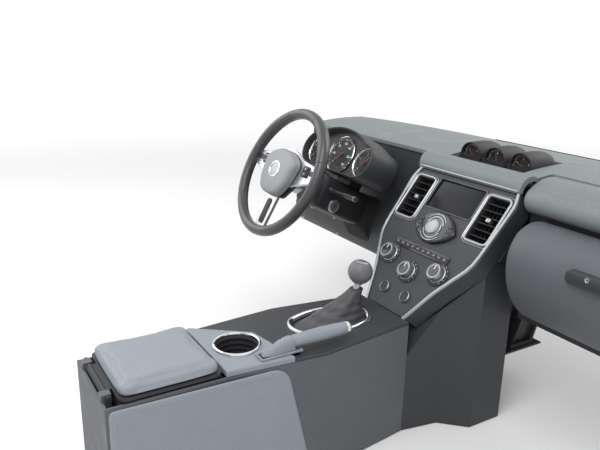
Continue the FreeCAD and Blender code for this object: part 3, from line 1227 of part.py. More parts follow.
def make_armrest():
    """Padded armrest on its base, hinged at the rear on a pin between ears."""
    base = new_body("RestBase")
    low = "(console_top_z + rest_lift)"
    plate = rectangle("-rest_half", "rest_tail", "rest_half", "rest_front")
    solid(base, "Pad", draw(base, "XY_Plane", [plate], low), "rest_base")
    rounded(base, "rest_round", lambda edge, at: edge.BoundBox.ZLength > 1)
    knuckle = block("RestKnuckle", "2 * rest_knuckle", "rest_tail - rest_hinge_y + rest_ear_wide",
                    "rest_base + 3", ("-rest_knuckle", "rest_hinge_y - rest_ear_r", f"{low} - 3"))
    bar = rod("RestPin", "hinge_r", "2 * rest_pin_half", ("-rest_pin_half", "rest_hinge_y", "rest_hinge_z"),
              **ALONG_X)
    finished(fuse("ArmrestBase", [base, knuckle, bar]), "armrest_base")
    pad = new_body("RestPad")
    solid(pad, "Pad", draw(pad, "XY_Plane", [plate], f"{low} + rest_base"), "rest_thick")
    rounded(pad, "rest_round", lambda edge, at: edge.BoundBox.ZLength > 1)
    rounded(pad, "rest_soft", lambda edge, at: at.z > value(f"{low} + rest_base + rest_thick - 1"))
    finished(pad, "armrest_pad")


def make_handbrake():
    """Handbrake: fixed pivot cheeks, boot, and the lever with its grip."""
    cheeks = []
    for side in ("-cheek_out", "cheek_out - brake_cheek"):
        cheeks.append(block(f"BrakeCheek{len(cheeks)}", "brake_cheek", "2 * brake_cheek_half",
                            "console_top_z - seat_gap",
                            (f"brake_x + ({side})", "brake_pivot_y - brake_cheek_half", "0")))
    hole = rod("BrakeHole", "hinge_r + hinge_fit", "4 * cheek_out",
               ("brake_x - 2 * cheek_out", "brake_pivot_y", "brake_pivot_z"), **ALONG_X)
    foot = block("BrakeFoot", "2 * cheek_out", "3 * brake_cheek_half", "brake_cheek",
                 ("brake_x - cheek_out", "brake_pivot_y - 1.5 * brake_cheek_half", "-brake_cheek"))
    finished(cut("BrakeMount", fuse("BrakeCheeks", cheeks + [foot]), [hole]), "handbrake_mount")
    arm = new_body("BrakeArm")
    reach = "grip_start + grip_long - 4"
    outline = [("-arm_r", "-arm_r"), ("arm_r - 2", "-arm_r"), ("grip_start", "grip_up - bar_tall"),
               ("grip_start", "grip_up + 3"), ("grip_start - arm_r", "grip_up + 3"), ("-arm_r", "arm_r")]
    solid(arm, "Pad", draw(arm, "YZ_Plane", [outline]), "brake_bar", both=True)
    place(arm, "brake_x", "brake_pivot_y", "brake_pivot_z")
    bar = block("BrakeBar", "brake_bar", f"{reach} - bar_start", "bar_tall",
                ("brake_x - brake_bar / 2", "brake_pivot_y + bar_start",
                 "brake_pivot_z + grip_up - bar_tall / 2"))
    axle = rod("BrakePin", "hinge_r", "2 * cheek_out",
               ("brake_x - cheek_out", "brake_pivot_y", "brake_pivot_z"), **ALONG_X)
    finished(fuse("BrakeLever", [arm, bar, axle]), "handbrake_lever")
    grip = new_body("BrakeGrip")
    shape = [("grip_start", "0"), ("grip_start", "grip_r - 3"),
             ("via", "grip_start + grip_long * 0.55", "grip_r"),
             ("grip_start + grip_long", "grip_r - 2"), ("grip_start + grip_long + 4", "0")]
    turned(grip, "Revolution", draw(grip, "YZ_Plane", [shape]), "Y_Axis")
    hollow = rectangle("0", "-bar_tall / 2 - seat_gap",
                       "grip_start + grip_long - 3", "bar_tall / 2 + seat_gap")
    solid(grip, "Pocket", draw(grip, "YZ_Plane", [hollow]), "brake_bar + 2 * seat_gap", both=True)
    place(grip, "brake_x", "brake_pivot_y", "brake_pivot_z + grip_up")
    finished(grip, "handbrake_grip")


# Steering column and wheel: drawn flat, with +Y up the wheel's plane and +Z towards the driver

def on_column(item):
    """Turn and move a piece from the drawing plane onto the steering axis."""
    return place(item, **WHEEL)


def make_column():
    """Column jacket with its tilt pins, the shroud and the stalks."""
    top, run = "-jacket_start - hub_low", "pivot_run - jacket_start - hub_low + jacket_tail"
    outer = rod("JacketOuter", JACKET_R, run, ("0", "0", f"{top} - ({run})"))
    pins = rod("TiltPins", "pivot_pin_r", f"2 * ({CHEEK_IN} + sheet_wall)",
               (f"-({CHEEK_IN} + sheet_wall)", "0", "-pivot_run"), **ALONG_X)
    bosses = rod("TiltBosses", "pivot_pin_r + boss_ring", f"2 * ({CHEEK_IN} - 1)",
                 (f"-({CHEEK_IN} - 1)", "0", "-pivot_run"), **ALONG_X)
    bore = rod("JacketBore", "shaft_r + shaft_fit", f"{run} + 2 * arm_r",
               ("0", "0", f"{top} - ({run}) - arm_r"))
    finished(on_column(cut("Jacket", fuse("JacketPieces", [outer, bosses, pins]), [bore])), "column_jacket")
    shroud = new_body("Shroud")
    front, back = "-(shroud_start + hub_low)", "-(shroud_start + hub_low + shroud_run)"
    half, tall = "shroud_wide / 2", "shroud_tall / 2"
    outline = [(f"-{half}", f"-{tall}"), ("via", "0", f"-{tall} - shroud_belly"), (half, f"-{tall}"),
               (half, tall), ("via", "0", f"{tall} + shroud_crown"), (f"-{half}", tall)]
    solid(shroud, "Pad", draw(shroud, "XY_Plane", [outline], front), "shroud_run", back=True)
    rounded(shroud, "shroud_round", lambda edge, at: edge.Length > 100 and abs(at.x) > value(half) - 1)
    bore = draw(shroud, "XY_Plane", [("circle", "0", "0", f"{JACKET_R} + seat_gap")], front)
    solid(shroud, "Pocket", bore, "shroud_run")
    hollow = rectangle(f"-{half} + panel_wall", f"-{tall} + panel_wall",
                       f"{half} - panel_wall", f"{tall} - panel_wall")
    inside = draw(shroud, "XY_Plane", [hollow], back)
    solid(shroud, "Pocket", inside, "shroud_run - 2 * panel_wall", back=True)
    finished(on_column(shroud), "column_shroud")
    stalks = []
    for side, sign in SIDES:
        start = (f"{sign} (shroud_wide / 2 + seat_gap)", "stalk_up", f"{front} - stalk_back")
        axis, turn = (0, 1, 0), "90" if sign == "" else "-90"
        stalks.append(rod("Stalk" + side, "stalk_r * 0.7", "stalk_long", start, axis, turn))
        tip = (f"{sign} (shroud_wide / 2 + stalk_long - stalk_tip)", "stalk_up", f"{front} - stalk_back")
        stalks.append(rod("StalkTip" + side, "stalk_r", "stalk_tip", tip, axis, turn))
    finished(on_column(fuse("Stalks", stalks)), "column_stalks")


def make_cluster():
    """Instrument housing on the column, moving with it, with its three instruments."""
    body = new_body("Cluster")
    wide, tall = "side_dial_x", "(side_dial_r + cluster_wall)"
    high = "(main_dial_r + cluster_wall + 4)"

    def shape(inset):
        """Give the housing's outline, drawn in by an inset."""
        return [(f"-{wide}", f"cluster_up - {tall} + {inset}"), (wide, f"cluster_up - {tall} + {inset}"),
                ("via", f"{wide} + {tall} - {inset}", "cluster_up"), (wide, f"cluster_up + {tall} - {inset}"),
                ("via", "0", f"cluster_up + {high} + 8 - {inset}"),
                (f"-{wide}", f"cluster_up + {tall} - {inset}"),
                ("via", f"-({wide} + {tall} - {inset})", "cluster_up")]

    face = "-(cluster_back - cluster_hood)"
    solid(body, "Pad", draw(body, "XY_Plane", [shape("0")], face), "cluster_deep + cluster_hood", back=True)
    solid(body, "Pocket", draw(body, "XY_Plane", [shape("cluster_wall")], face), "cluster_hood")
    dials = [("circle", "0", "cluster_up + 4", "main_dial_r - 4"),
             ("circle", wide, "cluster_up", f"side_dial_r - {DIAL_LIP}"),
             ("circle", f"-{wide}", "cluster_up", f"side_dial_r - {DIAL_LIP}")]
    solid(body, "Pocket", draw(body, "XY_Plane", dials, "-cluster_back"), "cluster_deep - cluster_wall")
    stay_foot = "(shroud_tall / 2 + shroud_crown + seat_gap)"
    stay = block("ClusterStay", "2 * stay_half", f"cluster_up - side_dial_r - cluster_wall - {stay_foot} + 2",
                 "stay_deep", ("-stay_half", stay_foot, "-(cluster_back + cluster_deep - 4)"))
    finished(on_column(fuse("ClusterHousing", [body, stay])), "cluster_housing")
    discs = []
    for order, (_, x, y, radius) in enumerate(dials):
        discs.append(rod(f"ClusterDial{order}", f"{radius} - dial_fit", "dial_thick",
                         (x, y, "-(cluster_back + dial_sink + dial_thick)")))
    finished(on_column(fuse("ClusterDials", discs)), "cluster_dials")


def make_wheel():
    """Steering shaft, rim, spokes, airbag cover and switches."""
    hub = rod("Hub", "hub_r", "hub_low - rim_dish", ("0", "0", "-hub_low"))
    shaft = rod("Shaft", "shaft_r", "shaft_run - stub_long - hub_low", ("0", "0", "stub_long - shaft_run"))
    stub = rod("ShaftStub", "stub_r", "stub_long", ("0", "0", "-shaft_run"))
    finished(on_column(fuse("ShaftHub", [hub, shaft, stub])), "steering_shaft")
    rim = doc.addObject("Part::Torus", "Rim")
    bind(rim, "Radius1", "rim_outer - rim_r")
    bind(rim, "Radius2", "rim_r")
    finished(on_column(rim), "wheel_rim")
    spokes = new_body("Spokes")
    reach = "(rim_outer - rim_r - 2)"
    out, tip = f"{reach} * 0.985", f"{reach} * 0.97"
    low = f"-{reach} * 0.98"
    arms = [("-low_root", "-spoke_root"), ("-low_spoke", low), ("low_spoke", low),
            ("low_root", "-spoke_root"), ("spoke_shoulder", "-spoke_under"), (out, "spoke_low"), (tip, "spoke_high"),
            ("spoke_shoulder", "spoke_top"), ("via", "0", "spoke_crown"), ("-spoke_shoulder", "spoke_top"),
            (f"-{tip}", "spoke_high"), (f"-{out}", "spoke_low"), ("-spoke_shoulder", "-spoke_under")]
    solid(spokes, "Pad", draw(spokes, "XY_Plane", [arms], "-rim_dish"), "spoke_thick")
    ring = doc.addObject("Part::Torus", "SpokeRim")
    bind(ring, "Radius1", "rim_outer - rim_r")
    bind(ring, "Radius2", "rim_r + seat_gap")
    finished(on_column(cut("SpokesCut", spokes, [ring])), "wheel_spokes")
    cover = new_body("Cover")
    outline = [("-cover_r", "cover_side"), ("via", "0", "cover_top"), ("cover_r", "cover_side"),
               ("via", "cover_r - 6", "-cover_waist"), ("cover_foot", "-cover_low"),
               ("via", "0", "-cover_low - 6"),
               ("-cover_foot", "-cover_low"), ("via", "6 - cover_r", "-cover_waist")]
    solid(cover, "Pad", draw(cover, "XY_Plane", [outline], "-rim_dish + spoke_thick"), "cover_thick")
    rounded(cover, "cover_soft", lambda edge, at: at.z > value("cover_thick - rim_dish + spoke_thick - 1"))
    finished(on_column(cover), "airbag_cover")
    keys = new_body("Keys")
    loops = [rectangle(f"{sign} key_in", "keys_low", f"{sign} key_out", "keys_top") for sign in ("", "-")]
    solid(keys, "Pad", draw(keys, "XY_Plane", loops, "-rim_dish + spoke_thick"), "keys_high")
    finished(on_column(keys), "wheel_switches")


def build():
    """Make every sub-part, check it and write it to its file."""
    for make in (make_cross_beam, make_end_plates, make_tunnel_braces, make_column_bracket, make_heater_unit,
                 make_blower, make_ducts, make_dash_top, make_grille, make_gauge_pods, make_passenger_roll,
                 make_driver_panel, make_dash_ends, make_passenger_panel, make_glovebox, make_side_vents,
                 make_stack, make_screen, make_centre_vents, make_audio, make_knobs, make_trims,
                 make_stack_sides, make_console, make_shift,
                 make_gaiter, make_cup_holder, make_console_bin, make_armrest, make_handbrake, make_column,
                 make_cluster, make_wheel):
        make()
    doc.recompute()
    for item in doc.Objects:
        if "Invalid" in item.State or "Error" in item.State:
            raise RuntimeError(f"{item.Label} failed: {item.State}")
    os.makedirs("parts", exist_ok=True)
    for item in subparts:
        shape = item.Shape
        if shape.isNull() or not shape.isValid():
            raise RuntimeError(item.Label + " has no valid shape")
        shape.exportStep(f"parts/{item.Label}.step")
        print(item.Label, round(shape.Volume / 1000, 1), "cm3", len(shape.Solids))


build()
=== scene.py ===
"""Looks of a roadster's cockpit module: dashboard, centre stack, console, column and wheel, dressed over its solids."""
import logging
import math
from dataclasses import dataclass, field
from enum import Enum
from typing import Any, ClassVar, Iterable, Sequence

import bmesh
import bpy
from mathutils import Matrix, Vector
from mathutils.bvhtree import BVHTree


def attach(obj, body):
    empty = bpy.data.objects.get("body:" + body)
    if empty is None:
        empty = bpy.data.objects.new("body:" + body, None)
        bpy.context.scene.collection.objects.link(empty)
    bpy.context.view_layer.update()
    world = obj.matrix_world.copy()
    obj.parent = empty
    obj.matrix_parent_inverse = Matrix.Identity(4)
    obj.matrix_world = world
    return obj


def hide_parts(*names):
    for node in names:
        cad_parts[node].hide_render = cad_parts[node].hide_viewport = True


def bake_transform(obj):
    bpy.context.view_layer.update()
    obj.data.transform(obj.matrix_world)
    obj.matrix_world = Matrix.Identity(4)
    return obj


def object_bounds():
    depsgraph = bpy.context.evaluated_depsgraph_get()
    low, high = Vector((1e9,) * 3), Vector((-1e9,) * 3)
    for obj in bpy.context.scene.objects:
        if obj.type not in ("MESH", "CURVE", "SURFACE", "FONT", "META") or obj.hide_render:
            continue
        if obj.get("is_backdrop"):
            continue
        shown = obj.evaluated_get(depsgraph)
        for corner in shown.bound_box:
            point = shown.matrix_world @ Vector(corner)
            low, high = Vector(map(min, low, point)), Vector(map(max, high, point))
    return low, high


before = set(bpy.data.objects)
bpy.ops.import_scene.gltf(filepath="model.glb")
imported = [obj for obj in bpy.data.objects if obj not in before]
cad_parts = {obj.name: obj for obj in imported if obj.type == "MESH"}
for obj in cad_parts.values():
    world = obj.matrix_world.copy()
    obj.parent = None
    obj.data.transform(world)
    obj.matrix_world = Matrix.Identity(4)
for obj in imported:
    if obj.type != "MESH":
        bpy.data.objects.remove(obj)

LOG = logging.getLogger("cockpit")
MM = 0.001
Colour = tuple[float, float, float]
Flat = tuple[float, float]
Mesh = bmesh.types.BMesh
UP, RIGHT, REAR = Vector((0, 0, 1)), Vector((1, 0, 0)), Vector((0, -1, 0))
SEAT_LIFT = 0.15
WELD_GAP = 0.05
FLAT_ANGLE = math.radians(0.4)


class Body(str, Enum):
    """Rigid bodies that the pieces ride on."""

    DASH = "dash"
    COLUMN = "column"
    STEERING = "steering"
    LID = "glovebox_door"
    ARMREST = "armrest"
    HANDBRAKE = "handbrake"
    SHIFTER = "shifter"


class Grain(str, Enum):
    """Kinds of surface relief."""

    LEATHER = "leather"
    MOULDED = "moulded"
    BRUSHED = "brushed"
    PAINTED = "painted"
    GLOSS = "gloss"
    CLOTH = "cloth"


# Node trees

class Nodes:
    """Adds nodes to one tree."""

    def __init__(self, tree: bpy.types.NodeTree) -> None:
        """Keep the tree."""
        self.tree = tree

    def node(self, kind: str, settings: dict[str, Any] | None = None,
             inputs: dict[str | int, Any] | None = None) -> bpy.types.Node:
        """Add a node, with its settings first and then its inputs.

        Args:
            kind: the node's type.
            settings: its properties, or "stops" for a ramp as (place, colour) pairs.
            inputs: values or links for its sockets, by name or number.

        Returns:
            The new node.
        """
        made = self.tree.nodes.new(kind)
        for key, value in (settings or {}).items():
            if key == "stops":
                ramp = made.color_ramp
                while len(ramp.elements) < len(value):
                    ramp.elements.new(0.5)
                for element, (place, colour) in zip(ramp.elements, value):
                    element.position, element.color = place, (*colour, 1.0)
            else:
                setattr(made, key, value)
        for key, value in (inputs or {}).items():
            self.feed(made.inputs[key], value)
        return made

    def feed(self, socket: bpy.types.NodeSocket, value: Any) -> None:
        """Link a socket, or set its value.

        Args:
            socket: the input.
            value: a link or a plain value.
        """
        if isinstance(value, Value):
            value = value.socket
        if isinstance(value, bpy.types.NodeSocket):
            self.tree.links.new(value, socket)
        else:
            socket.default_value = value


class Value:
    """A number that flows through a tree and takes Python's operators."""

    def __init__(self, nodes: Nodes, socket: bpy.types.NodeSocket) -> None:
        """Keep the socket and where its nodes go."""
        self.nodes, self.socket = nodes, socket

    def _math(self, operation: str, *operands: Any) -> "Value":
        """Add one Math node on the operands in their order."""
        made = self.nodes.node("ShaderNodeMath", {"operation": operation}, dict(enumerate(operands)))
        return Value(self.nodes, made.outputs[0])

    def __add__(self, other: Any) -> "Value":
        """Add."""
        return self._math("ADD", self, other)

    def __sub__(self, other: Any) -> "Value":
        """Subtract."""
        return self._math("SUBTRACT", self, other)

    def __rsub__(self, other: Any) -> "Value":
        """Subtract this from a number."""
        return self._math("SUBTRACT", other, self)

    def __mul__(self, other: Any) -> "Value":
        """Multiply."""
        return self._math("MULTIPLY", self, other)

    __radd__, __rmul__ = __add__, __mul__

    def band(self, low: float, high: float) -> "Value":
        """Rise smoothly from 0 at low to 1 at high.

        Args:
            low: where the rise starts.
            high: where it ends.

        Returns:
            The new value.
        """
        made = self.nodes.node("ShaderNodeMapRange", {"interpolation_type": "SMOOTHSTEP"},
                               {"Value": self, "From Min": low, "From Max": high})
        return Value(self.nodes, made.outputs[0])


class Shading(Nodes):
    """A material's tree, with textures in the part's own coordinates."""

    def __init__(self, name: str) -> None:
        """Start a material with its shader.

        Args:
            name: the material's name.
        """
        self.material = bpy.data.materials.new(name)
        self.material.use_nodes = True
        super().__init__(self.material.node_tree)
        self.shader = self.tree.nodes["Principled BSDF"]
        self.place = self.node("ShaderNodeTexCoord").outputs["Object"]

    def stretched(self, stretch: Sequence[float]) -> bpy.types.NodeSocket:
        """Give the coordinates stretched along the axes."""
        made = self.node("ShaderNodeMapping", None, {"Vector": self.place, "Scale": tuple(stretch)})
        return made.outputs[0]

    def noise(self, size: float, detail: float = 3.0, stretch: Sequence[float] = (1, 1, 1)) -> Value:
        """Give cloudy noise whose features are about size millimetres wide.

        Args:
            size: width of its features.
            detail: its finer levels.
            stretch: scale along each axis.

        Returns:
            The noise.
        """
        made = self.node("ShaderNodeTexNoise", None, {"Vector": self.stretched(stretch), "Scale": 1 / (size * MM),
                                                      "Detail": detail, "Roughness": 0.55})
        return Value(self, made.outputs[0])

    def cells(self, size: float) -> Value:
        """Give the distance within cells of about size millimetres.

        Args:
            size: width of a cell.

        Returns:
            The distance.
        """
        made = self.node("ShaderNodeTexVoronoi", {"feature": "SMOOTH_F1"},
                         {"Vector": self.place, "Scale": 1 / (size * MM)})
        return Value(self, made.outputs["Distance"])

    def mix(self, mask: Value, first: Any, second: Any) -> bpy.types.NodeSocket:
        """Blend two colours by a mask.

        Args:
            mask: 0 for the first colour, 1 for the second.
            first: a colour or its socket.
            second: the other one.

        Returns:
            The blend.
        """
        first, second = ((*c, 1.0) if isinstance(c, tuple) else c for c in (first, second))
        made = self.node("ShaderNodeMix", {"data_type": "RGBA"}, {0: mask, 6: first, 7: second})
        return made.outputs[2]

    def relief(self, height: Value, depth: float, strength: float) -> None:
        """Bump the surface by a height of up to depth millimetres."""
        made = self.node("ShaderNodeBump", None, {"Height": height, "Distance": depth * MM, "Strength": strength})
        self.feed(self.shader.inputs["Normal"], made.outputs[0])


def shade(colour: Colour, factor: float) -> Colour:
    """Make a colour lighter or darker."""
    return tuple(min(1.0, c * factor) for c in colour)


@dataclass(frozen=True)
class Finish:
    """One surface finish: colour, gloss and the relief of its kind."""

    name: str
    colour: Colour
    roughness: float
    grain: Grain
    slot: str
    metallic: float = 0.0
    size: float = 1.2
    depth: float = 0.25
    spread: float = 0.16
    coat: float = 0.0
    specular: float = 0.4
    along: tuple[float, float, float] = (1.0, 1.0, 1.0)

    def material(self) -> bpy.types.Material:
        """Make the finish's material once and give it again after that.

        Returns:
            The material.
        """
        found = bpy.data.materials.get(self.name)
        if found:
            return found
        tree = Shading(self.name)
        set_value = tree.shader.inputs
        set_value["Metallic"].default_value = self.metallic
        set_value["Coat Weight"].default_value = self.coat
        set_value["Coat Roughness"].default_value = 0.08
        set_value["Specular IOR Level"].default_value = self.specular
        getattr(self, "_" + self.grain.value)(tree)
        tree.material.diffuse_color = (*self.colour, 1.0)
        return tree.material

    def _tones(self, tree: Shading, mask: Value, rough: Value) -> None:
        """Let the colour and the gloss follow a mask.

        Args:
            tree: the material's tree.
            mask: 0 where darker, 1 where lighter.
            rough: the roughness.
        """
        tree.feed(tree.shader.inputs["Base Color"],
                  tree.mix(mask, shade(self.colour, 1 - self.spread), shade(self.colour, 1 + self.spread)))
        tree.feed(tree.shader.inputs["Roughness"], rough)

    def _leather(self, tree: Shading) -> None:
        """Pebbled hide with finer pores, soft creases and polished patches.

        Args:
            tree: the material's tree.
        """
        pebbles, pores = tree.cells(self.size), tree.cells(self.size * 0.38)
        creases = tree.noise(self.size * 14, 5, (1.0, 0.45, 1.0))
        worn = tree.noise(90).band(0.5, 0.72)
        height = pebbles * 0.75 + pores * 0.25 + creases * 0.5
        tone = (1.0 - pebbles.band(0.15, 0.75)) * 0.55 + tree.noise(40) * 0.45
        self._tones(tree, tone, self.roughness + 0.10 * pebbles - 0.12 * worn)
        tree.relief(height, self.depth, 0.55)

    def _moulded(self, tree: Shading) -> None:
        """Fine spark-eroded grain with faint handling marks.

        Args:
            tree: the material's tree.
        """
        grain = tree.cells(self.size * 0.6) * 0.6 + tree.noise(self.size * 0.5, 4) * 0.4
        marks = tree.noise(35, 5, (1.0, 3.0, 1.0)).band(0.55, 0.75)
        dust = tree.noise(120, 2)
        self._tones(tree, dust * 0.6 + grain * 0.4, self.roughness - 0.08 * marks + 0.06 * grain)
        tree.relief(grain, self.depth, 0.4)

    def _brushed(self, tree: Shading) -> None:
        """Fine lines along one direction, with smudges.

        Args:
            tree: the material's tree.
        """
        lines = tree.noise(self.size, 3, self.along)
        smudge = tree.noise(28, 4).band(0.4, 0.8)
        self._tones(tree, lines * 0.7 + smudge * 0.3, self.roughness + 0.10 * lines + 0.08 * smudge)
        tree.relief(lines, self.depth * 0.3, 0.25)

    def _painted(self, tree: Shading) -> None:
        """Dipped or sprayed paint with a faint orange peel and rubbed spots.

        Args:
            tree: the material's tree.
        """
        peel = tree.noise(self.size * 1.6, 2)
        rubbed = tree.noise(22, 6).band(0.60, 0.74)
        self._tones(tree, peel * 0.4 + rubbed * 0.6, self.roughness + 0.06 * peel - 0.10 * rubbed)
        tree.relief(peel, self.depth * 0.35, 0.3)

    def _gloss(self, tree: Shading) -> None:
        """Smooth surface with finger marks and dust.

        Args:
            tree: the material's tree.
        """
        marks = tree.noise(16, 5).band(0.52, 0.70)
        dust = tree.cells(4.0).band(0.0, 0.06)
        self._tones(tree, marks * 0.5, self.roughness + 0.10 * marks + 0.15 * (1.0 - dust))
        tree.relief(tree.noise(60, 1), 0.02, 0.1)

    def _cloth(self, tree: Shading) -> None:
        """Twisted thread or needled felt.

        Args:
            tree: the material's tree.
        """
        fibres = tree.noise(self.size * 0.4, 4, (1.0, 4.0, 1.0))
        self._tones(tree, fibres, self.roughness + 0.10 * fibres)
        tree.relief(fibres, self.depth, 0.8)


# Charcoal dash skin lightened to the grey that its top shows where light falls on it: partly its own colour, partly
# painted light.
LIT_DASH_SKIN = Finish("soft_dash_skin_painted_light", (0.165, 0.187, 0.193), 0.50, Grain.LEATHER, "dash_skin", size=1.5, depth=0.22)
LOWER_SKIN = Finish("soft_lower_skin", (0.090, 0.097, 0.106), 0.55, Grain.LEATHER, "panel_charcoal", size=1.5)
CHARCOAL = Finish("charcoal_plastic", (0.032, 0.034, 0.038), 0.50, Grain.MOULDED, "panel_charcoal")
COVER_SKIN = Finish("soft_cover_skin", (0.240, 0.250, 0.262), 0.44, Grain.MOULDED, "panel_charcoal", size=1.4)
BLACK = Finish("black_grained_plastic", (0.022, 0.022, 0.025), 0.52, Grain.MOULDED, "panel_black")
KEYS = Finish("black_satin_keys", (0.030, 0.031, 0.034), 0.36, Grain.PAINTED, "panel_black")
DUCT = Finish("raw_duct_plastic", (0.045, 0.045, 0.050), 0.58, Grain.MOULDED, "duct_plastic", size=2.2, spread=0.3)
FOAM = Finish("foam_seal", (0.018, 0.018, 0.020), 0.92, Grain.CLOTH, "duct_plastic", size=2.0, depth=0.5)
SILVER = Finish("satin_silver", (0.330, 0.341, 0.354), 0.38, Grain.PAINTED, "silver_paint", metallic=0.85,
                spread=0.07)
BRIGHT_SATIN = Finish("bright_satin_metal", (0.540, 0.552, 0.565), 0.30, Grain.PAINTED, "silver_paint", metallic=0.9,
                      spread=0.07)
CHROME = Finish("bright_chrome", (0.800, 0.810, 0.820), 0.07, Grain.GLOSS, "chrome", metallic=1.0, spread=0.04)
SCREEN = Finish("dark_screen_glass", (0.010, 0.011, 0.014), 0.20, Grain.GLOSS, "screen_gloss", specular=0.16)
PIANO = Finish("dark_gloss_panel", (0.020, 0.021, 0.024), 0.18, Grain.GLOSS, "screen_gloss", coat=0.2)
DIAL = Finish("matt_dial", (0.013, 0.013, 0.015), 0.60, Grain.PAINTED, "dial_face")
INK = Finish("white_dial_ink", (0.760, 0.770, 0.760), 0.55, Grain.PAINTED, "dial_face", spread=0.03)
NEEDLE = Finish("red_needle", (0.600, 0.050, 0.025), 0.40, Grain.PAINTED, "dial_face")
DARK_HIDE = Finish("dark_leather", (0.040, 0.041, 0.045), 0.42, Grain.LEATHER, "leather_dark", size=1.1, depth=0.18)
RIM_HIDE = Finish("polished_rim_leather", (0.046, 0.047, 0.051), 0.34, Grain.LEATHER, "leather_dark", size=1.1,
                  depth=0.14, coat=0.15)
KNOB_HIDE = Finish("grey_knob_leather", (0.120, 0.125, 0.135), 0.38, Grain.LEATHER, "leather_dark", size=1.0)
LIGHT_HIDE = Finish("light_leather", (0.225, 0.250, 0.278), 0.46, Grain.LEATHER, "leather_light", size=1.3,
                    spread=0.12)
THREAD = Finish("light_thread", (0.330, 0.350, 0.370), 0.75, Grain.CLOTH, "leather_light", size=0.8, depth=0.1)
DARK_THREAD = Finish("dark_thread", (0.110, 0.115, 0.125), 0.78, Grain.CLOTH, "leather_dark", size=0.8, depth=0.1)
STEEL = Finish("dipped_steel", (0.035, 0.036, 0.040), 0.42, Grain.PAINTED, "structure_steel", size=2.5, spread=0.35)
SHAFT = Finish("turned_steel", (0.450, 0.450, 0.460), 0.30, Grain.BRUSHED, "shaft_steel", metallic=1.0, size=0.6,
               along=(0.15, 1.0, 1.0))
ZINC = Finish("zinc_fixings", (0.560, 0.550, 0.520), 0.34, Grain.BRUSHED, "shaft_steel", metallic=1.0, size=0.8)
RUBBER = Finish("black_rubber", (0.016, 0.016, 0.017), 0.80, Grain.MOULDED, "panel_black", size=1.6)


# Outlines and meshes, in millimetres

def evenly(start: float, end: float, steps: int) -> list[float]:
    """Give numbers from start to end, both included."""
    return [start + (end - start) * k / steps for k in range(steps + 1)]


def polar(radius: float, degrees: float) -> Flat:
    """Give a place by its distance and angle."""
    return radius * math.cos(math.radians(degrees)), radius * math.sin(math.radians(degrees))


def broken_line(stops: Sequence[Flat], steps: int) -> list[Flat]:
    """Give points along a line with corners.

    Args:
        stops: the corners and both ends.
        steps: divisions between two stops.

    Returns:
        The points, both ends included.
    """
    points = []
    for (x0, y0), (x1, y1) in zip(stops, stops[1:]):
        points += zip(evenly(x0, x1, steps)[:-1], evenly(y0, y1, steps))
    return [*points, stops[-1]]


def smooth_loop(points: Sequence[Flat], steps: int = 6) -> list[Flat]:
    """Run a smooth closed curve through points.

    Args:
        points: places that the curve passes.
        steps: divisions between two of them.

    Returns:
        The finer loop.
    """
    fine, count = [], len(points)
    for i in range(count):
        a, b, c, d = (Vector(points[(i + k) % count]) for k in (-1, 0, 1, 2))
        for k in range(steps):
            u = k / steps
            p = 0.5 * (2 * b + (c - a) * u + (2 * a - 5 * b + 4 * c - d) * u * u + (3 * b - a - 3 * c + d) * u ** 3)
            fine.append((p.x, p.y))
    return fine


def filleted(corners: Sequence[tuple[float, float, float]], steps: int = 5) -> list[Flat]:
    """Round the corners of a closed outline.

    Args:
        corners: x, y and radius of each corner.
        steps: divisions of each round.

    Returns:
        The outline's points.
    """
    outline = []
    for i, (x, y, radius) in enumerate(corners):
        here = Vector((x, y))
        before, after = Vector(corners[i - 1][:2]) - here, Vector(corners[(i + 1) % len(corners)][:2]) - here
        if radius <= 0:
            outline.append((x, y))
            continue
        half = before.angle(after) / 2
        run = min(radius / math.tan(half), before.length * 0.49, after.length * 0.49)
        start, end = here + before.normalized() * run, here + after.normalized() * run
        for k in range(steps + 1):
            u = k / steps
            p = start * (1 - u) ** 2 + here * 2 * u * (1 - u) + end * u * u
            outline.append((p.x, p.y))
    return outline


def box_outline(wide: float, tall: float, radius: float, at: Flat = (0.0, 0.0)) -> list[Flat]:
    """Give a rectangle with round corners about a place."""
    x, y = wide / 2, tall / 2
    return filleted([(at[0] + a * x, at[1] + b * y, radius) for a, b in ((1, -1), (1, 1), (-1, 1), (-1, -1))])


def circle(radius: float, steps: int) -> list[Flat]:
    """Give a circle's points."""
    return [(radius * math.cos(a), radius * math.sin(a)) for a in (2 * math.pi * k / steps for k in range(steps))]


def oval_outline(half_wide: float, half_long: float, steps: int, power: float) -> list[Flat]:
    """Give an oval that a greater power makes squarer."""
    return [(half_wide * math.copysign(abs(c) ** (2 / power), c), half_long * math.copysign(abs(s) ** (2 / power), s))
            for c, s in circle(1, steps)]


def arc(start: Flat, via: Flat, end: Flat, steps: int) -> list[Flat]:
    """Give points on the circle through three places, without the last one.

    Args:
        start: where the arc begins.
        via: a place that it passes.
        end: where it ends.
        steps: divisions.

    Returns:
        The points.
    """
    (ax, ay), (bx, by), (cx, cy) = start, via, end
    d = 2 * (ax * (by - cy) + bx * (cy - ay) + cx * (ay - by))
    a2, b2, c2 = ax * ax + ay * ay, bx * bx + by * by, cx * cx + cy * cy
    x = (a2 * (by - cy) + b2 * (cy - ay) + c2 * (ay - by)) / d
    y = (a2 * (cx - bx) + b2 * (ax - cx) + c2 * (bx - ax)) / d
    radius = math.hypot(ax - x, ay - y)
    first, middle, last = (math.atan2(q - y, p - x) for p, q in (start, via, end))
    sweep = (last - first) % (2 * math.pi)
    if (middle - first) % (2 * math.pi) > sweep:
        sweep -= 2 * math.pi
    return [(x + radius * math.cos(a), y + radius * math.sin(a)) for a in evenly(first, first + sweep, steps)[:-1]]


